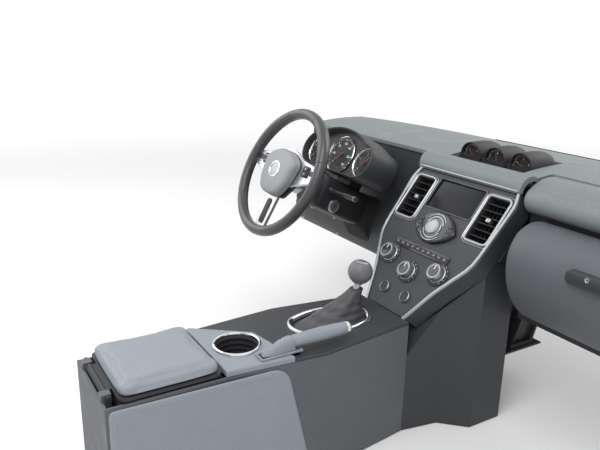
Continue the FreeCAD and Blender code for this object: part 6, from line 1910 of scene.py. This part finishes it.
@dataclass
class Armrest(Assembly):
    """Padded lid over the bin, with its base."""

    half: float = 92.0
    front: float = -704.0
    tail: float = -886.0
    low: float = 111.0
    voxel: float = 4.0
    pressure: float = 4.0
    reach: float = 3.2
    steps: int = 20
    seam_in: float = 16.0
    seam_deep: float = 1.2
    body: ClassVar[Body] = Body.ARMREST

    def build(self) -> None:
        """Make the pad, its seams and stitches."""
        self.cover("rest_base_plate", BLACK, "armrest_base", 1.0)
        Piece("bin_liner", Body.DASH, FOAM).of_solid("console_bin", soften=0.6)
        pad = self._swollen(self._blank())
        self._crease(pad)
        Piece("rest_pad", self.body, LIGHT_HIDE, ("armrest_pad",), sharp=75, levels=1).settle(pad)
        self._stitches(pad)

    def _outline(self, inset: float, radius: float) -> list[Flat]:
        """Give the pad's outline, drawn in by an inset."""
        wide, long = 2 * (self.half - inset), self.front - self.tail - 2 * inset
        return box_outline(wide, long, radius, (0.0, (self.front + self.tail) / 2))

    def _blank(self) -> bpy.types.Object:
        """Cut the pad's blank, a little smaller than the pad."""
        rows = ((0.2, 3.5), (1.5, 1.0), (5, 0), (13, 0), (16.5, 1.6), (18.4, 5.0), (19.0, 10.0))
        return linked("rest_pad", loft([ring_at(self._outline(3.5 + inset, 18), self.low + z) for z, inset in rows]))

    def _swollen(self, item: bpy.types.Object) -> bpy.types.Object:
        """Remesh the blank and let pressure swell it, by a capped amount.

        Args:
            item: the blank.

        Returns:
            The same object with its new mesh.
        """
        remesh = item.modifiers.new("Even", "REMESH")
        remesh.mode, remesh.voxel_size = "VOXEL", self.voxel * MM
        item.data = evaluated(item)
        item.modifiers.clear()
        before, limit = [v.co.copy() for v in item.data.vertices], self.reach * MM
        group = item.vertex_groups.new(name="held")
        group.add([v.index for v in item.data.vertices if v.co.z < (self.low + 3) * MM], 1.0, "REPLACE")
        cloth = item.modifiers.new("Cloth", "CLOTH")
        cloth.settings.use_pressure = True
        cloth.settings.uniform_pressure_force = self.pressure
        cloth.settings.effector_weights.gravity = 0
        cloth.settings.vertex_group_mass = "held"
        cloth.settings.quality = 5
        cloth.point_cache.frame_start, cloth.point_cache.frame_end = 1, self.steps
        for step in range(1, self.steps + 1):
            bpy.context.scene.frame_set(step)
        swollen = evaluated(item)
        item.modifiers.remove(cloth)
        bpy.context.scene.frame_set(1)
        for vert, start in zip(swollen.vertices, before):
            move = vert.co - start
            vert.co = start + (move * (limit / move.length) if move.length > limit else move)
        item.data = swollen
        return item

    def _crease(self, item: bpy.types.Object) -> None:
        """Sink the seam that runs round the top panel.

        Args:
            item: the pad.
        """
        middle, wide = (self.front + self.tail) / 2, self.half - self.seam_in
        long = (self.front - self.tail) / 2 - self.seam_in
        for vert in item.data.vertices:
            x, y, z = vert.co / MM
            if z > self.low + 12:
                away = abs(max(abs(x) - wide, abs(y - middle) - long))
                vert.co.z -= self.seam_deep * math.exp(-(away / 3.0) ** 2) * MM

    def _stitches(self, pad: bpy.types.Object) -> None:
        """Run stitches along both sides of the seam.

        Args:
            pad: the finished pad.
        """
        tree = BVHTree.FromObject(pad, bpy.context.evaluated_depsgraph_get())
        for order, inset in enumerate((self.seam_in - 3, self.seam_in + 3)):
            outline, points, faces = self._outline(inset, 12), [], []
            for (ax, ay), (bx, by) in zip(outline, outline[1:] + outline[:1]):
                cuts = max(1, int(math.hypot(bx - ax, by - ay) / 10))
                for x, y in broken_line(((ax, ay), (bx, by)), cuts)[:-1]:
                    at, normal, _, _ = tree.ray_cast(Vector((x, y, 300)) * MM, -UP)
                    points.append(at / MM + normal * 0.1)
                    faces.append(normal)
            line = line_of_spots(points, faces, True)
            self.copies(f"rest_stitches_{order}", THREAD, stitch(), line, spacing=5.0, closed=True)


# Column and wheel

@dataclass
class Column(Assembly):
    """Shroud in two halves, stalks and the key barrel."""

    wide: float = 104.0
    tall: float = 84.0
    front: float = -102.0
    run: float = 150.0
    stalk_up: float = 12.0
    stalk_z: float = -126.0
    stalk_long: float = 112.0
    stalk_r: float = 8.0
    stalk_flat: float = 0.82
    hatch: Flat = (-366.0, 190.0)
    hatch_half: Flat = (52.0, 58.0)
    pleats: int = 11
    boot_run: tuple[tuple[float, float, float], ...] = ((-366.0, -79.7, 191.6), (-366.0, -116.6, 204.4))
    body: ClassVar[Body] = Body.COLUMN
    plane: ClassVar[Matrix] = WHEEL

    def section(self, scale: float) -> list[Flat]:
        """Give the shroud's section with a narrow step where its halves meet.

        Args:
            scale: its size against the full one.

        Returns:
            The section's points.
        """
        x, y = self.wide / 2, self.tall / 2
        step = [(x, 1.0, 0), (x - 1.4, 0.8, 0), (x - 1.4, -0.8, 0), (x, -1.0, 0)]
        corners = [(x, -y, 14), *step[::-1], (x, y, 16), (0, y + 4, 60), (-x, y, 16),
                   *((-a, b, r) for a, b, r in step),
                   (-x, -y, 14), (0, -y - 6, 60)]
        return [(a * scale, b * scale) for a, b in filleted(corners, 6)]

    def build(self) -> None:
        """Make the shroud, its screws, the stalks and the barrel."""
        dress("column_jacket", STEEL)
        front, back = self.front, self.front - self.run
        rows = ((back, 0.94), (back + 2, 0.96), (back + 40, 0.99), (front - 30, 1.0), (front - 8, 0.985),
                (front - 3, 0.965), (front - 0.8, 0.93), (front, 0.88))
        shroud = loft([ring_at(self.section(scale), z) for z, scale in rows])
        self.add("shroud_halves", BLACK, shroud, replaces=("column_shroud",), sharp=45)
        spots = [Spot(Vector((0, -self.tall / 2 - 5.6, z)), REAR, RIGHT) for z in (front - 30, front - 110)]
        self.copies("shroud_screws", ZINC, pan_screw(), spots, turn=60)
        self._stalks()
        self._boot()
        sideways = Matrix.Rotation(math.radians(90), 4, "Y")
        at = WHEEL @ Matrix.Translation((self.wide / 2 - 4, -22, front - 52)) @ sideways
        barrel = lathe([(0, 0), (17, 0), (17, 6), (15, 9.0), (12.5, 9.6), (12, 8.2), (0, 8.2)])
        self.add("key_barrel", SILVER, barrel, at=at)
        self.add("key_slot", BLACK, prism(box_outline(2.4, 11, 0.8), 8.0, 8.5), at=at)

    def _boot(self) -> None:
        """Pleat a rubber boot from the panel round the column to the shroud's far end."""
        skin, (x, z), far = Skin("driver_panel"), self.hatch, self.front - self.run + 3
        foot = []
        for a, b in oval_outline(*self.hatch_half, 60, 7):
            at, _ = skin.hit((x + 1.3 * self.hatch_half[0], -300, z + b), -REAR)
            foot.append(Vector((x + a, at.y - 0.6, at.z)))
        neck = [WHEEL @ Vector((a, b, far)) for a, b in oval_outline(self.wide * 0.44, self.tall * 0.44, 60, 4)]
        rings = [[p - REAR * deep for p in foot] for deep in (1.4, 0, -1.6)]
        for k in range(1, self.pleats + 1):
            ring = [p.lerp(q, k / self.pleats) for p, q in zip(rings[2], neck)]
            middle = sum(ring, Vector()) / len(ring)
            pleat = 0.92 if k % 2 and k < self.pleats else 1.0
            rings.append([middle + (p - middle) * pleat for p in ring])
        Piece("column_boot", Body.DASH, RUBBER, sharp=50, bend=Bend(Body.COLUMN, *self.boot_run)).make(loft(rings))

    def _stalks(self) -> None:
        """Make a stalk on each side, with a gaiter, a neck and a flat grip with a turning end."""
        stalks, rings, r, long = [], [], self.stalk_r, self.stalk_long
        profile = [(0, -2), (r, -2), (r, 2), (r - 1.2, 3), (r - 0.4, 4.5), (r - 1.8, 6), (r - 1.0, 7.5), (r - 2.6, 9),
                   (4.6, 14), (4.9, 50), (6.2, long - 52), (7.6, long - 44), (7.8, long - 26), (7.4, long - 21),
                   (6.6, long - 20.6), (6.6, long - 19.4), (7.6, long - 19), (7.6, long - 3), (6.6, long - 0.4),
                   (0, long + 0.3)]
        for side in (-1, 1):
            at = Matrix.Translation((side * (self.wide / 2 - 1), self.stalk_up, self.stalk_z))
            stalk = lathe(profile, 40)
            ring = closed_rings(lathe([(7.0, long - 10.5), (7.9, long - 10), (7.9, long - 7.4), (7.0, long - 6.9)],
                                      40))
            for mesh, kept in ((stalk, stalks), (ring, rings)):
                for vert in mesh.verts:
                    if vert.co.z > 20:
                        vert.co.y *= self.stalk_flat
                mesh.transform(at @ Matrix.Rotation(math.radians(90 * side), 4, "Y"))
                kept.append(mesh)
        self.add("stalks", KEYS, *stalks, replaces=("column_stalks",))
        self.add("stalk_rings", SILVER, *rings)


@dataclass
class Wheel(Assembly):
    """Leather rim, satin spokes, domed cover with a round badge plate, and thumb switches."""

    outer: float = 170.0
    tube: float = 15.0
    dish: float = 14.0
    thick: float = 9.0
    hands: Flat = (38.0, 142.0)
    seams: tuple[float, ...] = (18.0, 68.0, 112.0, 162.0, 214.0, 326.0)
    switch: Flat = (95.0, 21.0)
    body: ClassVar[Body] = Body.STEERING
    plane: ClassVar[Matrix] = WHEEL

    @property
    def ring(self) -> float:
        """Radius of the rim's middle line."""
        return self.outer - self.tube

    @property
    def low(self) -> float:
        """Height of the cover's foot over the wheel's plane."""
        return self.thick - self.dish

    def grip(self, angle: float) -> float:
        """Give the rim's thickness at an angle, fuller where the hands go.

        Args:
            angle: the place on the rim, in degrees.

        Returns:
            The radius of the rim's section.
        """
        fuller, seam = (sum(math.exp(-(((angle - a + 180) % 360 - 180) / wide) ** 2) for a in places)
                        for places, wide in ((self.hands, 22), (self.seams, 0.28)))
        return 13.6 + 1.2 * min(1.0, fuller) - 0.9 * min(1.0, seam)

    def build(self) -> None:
        """Make every piece of the wheel."""
        dress("steering_shaft", SHAFT)
        self._rim()
        self._spokes()
        self._cover()
        self._switches()

    def _rim(self) -> None:
        """Make the leather rim and the seam on its inner side."""
        angles = set(range(0, 360, 3)) | {seam + d for seam in self.seams for d in (-0.7, -0.35, 0.0, 0.35, 0.7)}
        rings = []
        for angle in sorted(angles):
            out, r = Vector((*polar(1, angle), 0)), self.grip(angle)
            section = [(math.cos(t), math.sin(t)) for t in (2 * math.pi * k / 28 for k in range(28))]
            rings.append([out * (self.ring + r * (0.94 + 0.06 * abs(s)) * c) + UP * (r * s) for c, s in section])
        self.add("rim_hide", RIM_HIDE, loft(rings, around=True), replaces=("wheel_rim",), sharp=80)
        points, faces = [], []
        for angle in range(0, 360, 2):
            out, (inward, lift) = Vector((*polar(1, angle), 0)), polar(1, 32)
            faces.append((UP * lift - out * inward).normalized())
            points.append(out * self.ring + faces[-1] * (self.grip(angle) * 0.955))
        line = line_of_spots(points, faces, True)
        self.copies("rim_stitches", DARK_THREAD, stitch(3.6, 0.5), line, spacing=5.0, closed=True)

    def _spokes(self) -> None:
        """Make the satin spoke frame and the dark strip on the lower spoke."""
        reach, back, front = self.ring - self.tube + 13, -self.dish, self.low
        right = [(26, -40, 16), (62, -22, 16), (reach * 0.985, 4, 5), (reach * 0.97, 36, 5), (62, 46, 20),
                 (0, 70, 60)]
        left = [(-x, y, r) for x, y, r in right[::-1][1:]]
        outline = filleted([(-20, -reach * 0.98, 2), (20, -reach * 0.98, 2)] + right + left, 7)
        self.add("spoke_frame", BRIGHT_SATIN, prism(outline, back, front - 0.4), replaces=("wheel_spokes",),
                 bevel=1.6)
        tip = reach * 0.88
        right = [(30, -60, 20), (70, -10, 20), (tip, 12, 8), (tip, 28, 8), (66, 40, 20)]
        outline = filleted([(-30, -60, 20), *right, (0, 52, 40), *((-x, y, r) for x, y, r in right[:0:-1])], 6)
        self.add("wheel_back_cover", BLACK, prism(outline, back - 9, back + 1), bevel=2.5)
        self.add("spoke_strip", BLACK, prism(box_outline(20, 66, 7, (0, -103)), front - 1, front + 1.4, 1.0))
        self.add("spoke_pads", KEYS, *(prism(box_outline(32, 13, 5, (x, 21)), front - 1, front + 0.9, 0.7)
                                       for x in (-127, 127)))

    def _cover(self) -> None:
        """Dome the cover over its outline, with a ringed badge plate at its middle."""
        right = [(36, 50), (66, 30), (64, 0), (54, -34), (34, -56)]
        left = [(-x, y) for x, y in right]
        outline = smooth_loop([left[1], left[0], (0, 57), *right, (0, -62), *left[:1:-1]], 6)
        rows = ((0, 1.0), (12, 1.0), (17.5, 0.985), (21, 0.95), (23.4, 0.89), (24.6, 0.80), (25.2, 0.66),
                (25.6, 0.46),
                (25.8, 0.24), (25.85, 0.08))
        dome = loft([ring_at(outline, self.low + z, scale) for z, scale in rows])
        self.add("cover_skin", COVER_SKIN, dome, replaces=("airbag_cover",), sharp=60)
        ring = lathe([(18.2, 0), (18.0, 1.0), (19.0, 2.0), (20.6, 1.8), (21.4, 0.6), (21.4, -1.5), (18.2, -1.5)], 64)
        self.add("cover_ring", CHROME, moved(closed_rings(ring), z=self.low + 25.4))
        disc = lathe([(0, -1), (18.3, -1), (18.3, 0.2), (12, 0.9), (0, 1.2)])
        self.add("cover_disc", SILVER, moved(disc, z=self.low + 25.5))
        outer, inner = 1.012, 1.012 * 0.97
        rows = ((0.8, outer), (2.3, outer), (2.3, inner), (0.8, inner))
        band = [ring_at(outline, self.low + z, scale) for z, scale in rows]
        self.add("cover_gap", BLACK, loft(band, around=True))

    def _switches(self) -> None:
        """Make a pair of rocker keys on each side spoke."""
        bases, keys, marks, z = [], [], [], self.low
        for side in (-1, 1):
            x, y = side * self.switch[0], self.switch[1]
            bases.append(prism(box_outline(26, 28, 6, (x, y)), z - 0.6, z + 2.4, 0.8))
            for k in (-1, 1):
                at = (x, y + k * 6.4)
                keys.append(prism(box_outline(20, 10.6, 3, at), z + 2, z + 5.4, 1.4))
                sizes = ((5, 0.9), (0.9, 5))[:1 if k < 0 else 2]
                marks += [prism(box_outline(*size, 0.3, at), z + 5.4, z + 5.6) for size in sizes]
        self.add("switch_frames", CHARCOAL, *bases, replaces=("wheel_switches",))
        self.add("switch_keys", KEYS, *keys)
        self.add("switch_marks", INK, *marks)


# Structure and air handling

@dataclass
class Structure(Assembly):
    """Steel that carries everything, with its welds and fixings."""

    beam: Flat = (100.0, 262.0)
    beam_r: float = 28.0
    half: float = 697.0
    saddle: Flat = (195.0, 345.0)
    saddles: tuple[float, ...] = (-135.8, -104.2, 104.2, 135.8, -402.2, -396.8, -334.6, -329.2)

    def build(self) -> None:
        """Finish the steel and add weld beads."""
        for node in ("cross_beam", "beam_end_plates", "tunnel_braces", "column_bracket", "stack_carrier"):
            dress(node, STEEL)
        ends = [self._bead(x, 0, 360) for x in (1.2 - self.half, self.half - 1.2)]
        self.add("weld_beads", STEEL, *ends, *(self._bead(x, *self.saddle) for x in self.saddles), sharp=80)

    def _bead(self, x: float, start: float, end: float) -> Mesh:
        """Lay a rippled weld round the beam at an x, from one angle to another.

        Args:
            x: the weld's place.
            start: its first angle.
            end: its last angle.

        Returns:
            The mesh.
        """
        closed, rings = end - start >= 360, []
        turns = evenly(start, end, int((end - start) / 3))
        for k, angle in enumerate(turns[:-1] if closed else turns):
            way, size = Vector((0, *polar(1, angle))), 2.3 + 0.35 * math.sin(k * 1.9)
            rings.append([Vector((x, *self.beam)) + way * (self.beam_r + 0.6 + size * 0.8 * c) + RIGHT * (size * s)
                          for c, s in circle(1, 8)])
        return loft(rings, caps=not closed, around=closed)


@dataclass
class AirHandling(Assembly):
    """Heater case, blower and ducts, with a flange, ribs, a motor cap and screws."""

    half: float = 104.7
    back: float = -40.0
    front: float = 230.0
    low: float = 20.0
    top: float = 226.0
    rib_rows: Flat = (64.0, 182.0)
    blower: tuple[float, float, float] = (300.0, 172.0, 140.0)
    blower_r: float = 92.0
    blower_tall: float = 84.0
    outlet: tuple[float, float] = (165.0, 255.0)

    def build(self) -> None:
        """Finish the cases and ducts and add their details."""
        for name, node, soften in (("heater_case", "heater_unit", 5.0), ("blower_case", "blower_housing", 3.0),
                                   ("riser_duct", "centre_duct", 1.0), ("side_duct_runs", "side_ducts", 0.8)):
            self.cover(name, DUCT, node, soften)
        seam = box_outline(2 * self.half, self.front - self.back, 6, (0, (self.front + self.back) / 2))
        section = [(-3, -2), (0.3, -2), (0.3, 2), (-3, 2)]
        self.add("heater_flange", DUCT, moulding(seam, (self.low + self.top) / 2, section))
        rib = moved(prism(box_outline(2.0, 70, 0.8), -0.5, 2.2, 0.5), turn=90)
        sides = ((self.back, REAR), (self.front, -REAR))
        spots = [Spot(Vector((x, y, z)), face, UP)
                 for y, face in sides for x in evenly(-80, 80, 8) for z in self.rib_rows]
        self.copies("heater_ribs", DUCT, rib, spots)
        middle, up, spots = Vector(self.blower), UP * self.blower_tall, []
        for angle in range(0, 360, 15):
            if not self.outlet[0] < angle < self.outlet[1]:
                way = Vector((*polar(1, angle), 0))
                spots.append(Spot(middle + up / 2 + way * self.blower_r, way, UP))
        self.copies("blower_ribs", DUCT, prism(box_outline(60, 2.0, 0.8), -0.5, 1.8, 0.5), spots)
        motor = lathe([(0, 0.2), (44, 0.2), (44, 1.6), (40, 3.0), (34, 3.0), (33, 1.0), (12, 1.0), (10, 3.2),
                       (0, 3.6)], 64)
        self.add("blower_motor_cap", BLACK, moved(motor, *self.blower, 180, "X"))
        spots = [Spot(middle + up + Vector((*polar(80, angle), 0)), UP, RIGHT) for angle in range(0, 360, 60)]
        spots += [Spot(Vector((x, self.back, z)), REAR, RIGHT) for x in (-92, 92) for z in (40, 205)]
        self.copies("case_screws", ZINC, hex_bolt(7.0), spots, turn=60)


# Room and camera

def shown(nodes: Nodes) -> Value:
    """Give 1 where the eye, a reflection or a clear piece sees the surface, and 0 for its light.

    Args:
        nodes: the tree to add to.

    Returns:
        The mask.
    """
    paths = nodes.node("ShaderNodeLightPath").outputs
    eye, mirror, clear = (Value(nodes, paths[kind])
                          for kind in ("Is Camera Ray", "Is Glossy Ray", "Is Transmission Ray"))
    return (eye + mirror + clear).band(0.0, 0.5)


@dataclass
class Studio:
    """Pale floor, soft lamps and the camera at the photograph's place."""

    place: tuple[float, float, float] = (1.0137, -1.1193, 0.6879)
    yaw: float = -58.6
    pitch: float = -17.0
    roll: float = 1.2
    focal_px: float = 653.1
    frame_px: float = 600.0
    floor_gap: float = 0.001
    fade: Flat = (1.5, 4.2)
    sky: float = 0.62

    def build(self, low: float) -> None:
        """Make the floor at a height, the world, the lamps and the camera.

        Args:
            low: the part's lowest height, in metres.
        """
        self._floor(low - self.floor_gap)
        self._world()
        self._lamps()
        self._camera()

    def _floor(self, height: float) -> None:
        """Lay a large pale floor.

        Args:
            height: the floor's height, in metres.
        """
        mesh = bpy.data.meshes.new("floor")
        mesh.from_pydata([(-12, -12, height), (12, -12, height), (12, 12, height), (-12, 12, height)], [],
                         [(0, 1, 2, 3)])
        floor = bpy.data.objects.new("floor", mesh)
        bpy.context.scene.collection.objects.link(floor)
        tree = Shading("pale_floor")
        tone = tree.noise(900, 2)
        tree.feed(tree.shader.inputs["Base Color"], tree.mix(tone, (0.80, 0.80, 0.80), (0.84, 0.84, 0.84)))
        tree.shader.inputs["Roughness"].default_value = 0.7
        self._fade(tree)
        mesh.materials.append(tree.material)
        floor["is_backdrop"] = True

    def _fade(self, tree: Shading) -> None:
        """Let the floor turn into plain white away from the object, to the eye and in reflections.

        Args:
            tree: the floor's tree.
        """
        away = Value(tree,
                     tree.node("ShaderNodeVectorMath", {"operation": "LENGTH"}, {0: tree.place}).outputs["Value"])
        seen = shown(tree)
        glow = tree.node("ShaderNodeEmission", None, {"Color": (1.0, 1.0, 1.0, 1.0), "Strength": 1.0}).outputs[0]
        mixed = tree.node("ShaderNodeMixShader", None,
                          {0: away.band(*self.fade) * seen, 1: tree.shader.outputs[0], 2: glow})
        tree.feed(tree.tree.nodes["Material Output"].inputs["Surface"], mixed.outputs[0])

    def _world(self) -> None:
        """Make the surroundings white to the eye and in reflections, and a plain soft light otherwise."""
        world = bpy.data.worlds.new("room")
        bpy.context.scene.world = world
        world.use_nodes = True
        nodes = Nodes(world.node_tree)
        background = world.node_tree.nodes["Background"]
        nodes.feed(background.inputs["Color"], (1.0, 1.0, 1.0, 1.0))
        nodes.feed(background.inputs["Strength"], self.sky + (1.0 - self.sky) * shown(nodes))

    def _lamps(self) -> None:
        """Hang a large key lamp, a fill and a back lamp."""
        rows = (("key", (0.9, -1.6, 2.6), 2.2, 62.0), ("fill", (-2.2, -1.4, 1.8), 2.4, 30.0),
                ("back", (0.3, 2.2, 2.2), 2.0, 30.0))
        for name, at, size, power in rows:
            data = bpy.data.lights.new(name, "AREA")
            data.shape, data.size, data.energy = "DISK", size, power
            lamp = bpy.data.objects.new(name, data)
            lamp.location = at
            way = Vector((0.0, -0.25, 0.2)) - Vector(at)
            lamp.rotation_euler = way.to_track_quat("-Z", "Y").to_euler()
            bpy.context.scene.collection.objects.link(lamp)

    def _camera(self) -> None:
        """Set the camera where the photograph was taken."""
        yaw, pitch, roll = (math.radians(a) for a in (self.yaw, self.pitch, self.roll))
        ahead = Vector((math.sin(yaw) * math.cos(pitch), math.cos(yaw) * math.cos(pitch), math.sin(pitch)))
        right = ahead.cross(UP).normalized()
        above = right.cross(ahead)
        side = right * math.cos(roll) + above * math.sin(roll)
        up = above * math.cos(roll) - right * math.sin(roll)
        data = bpy.data.cameras.new("photo_camera")
        data.sensor_width, data.lens = 36.0, 36.0 * self.focal_px / self.frame_px
        camera = bpy.data.objects.new("photo_camera", data)
        camera.matrix_world = Matrix.Translation(self.place) @ Matrix((side, up, -ahead)).transposed().to_4x4()
        bpy.context.scene.collection.objects.link(camera)
        bpy.context.scene.camera = camera


def corners(box: tuple[Vector, Vector]) -> list[list[float]]:
    """Give a box as plain lists."""
    return [list(box[0]), list(box[1])]


def main() -> None:
    """Build the whole model in order."""
    logging.basicConfig(level=logging.INFO, format="%(message)s")
    bpy.context.view_layer.update()
    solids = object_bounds()
    bpy.context.scene.view_settings.view_transform = "Standard"
    for part in (Structure, AirHandling, DashTop, GaugePods, PassengerSide, DriverSide, SideVents, InstrumentCluster,
                 CentreStack, Console, Shifter, Handbrake, Armrest, Column, Wheel):
        part().build()
        LOG.info("built %s", part.__name__)
    Studio().build(solids[0].z)
    bpy.context.view_layer.update()
    {"cad": corners(solids), "visual": corners(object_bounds())}


if __name__ == "__main__":
    main()
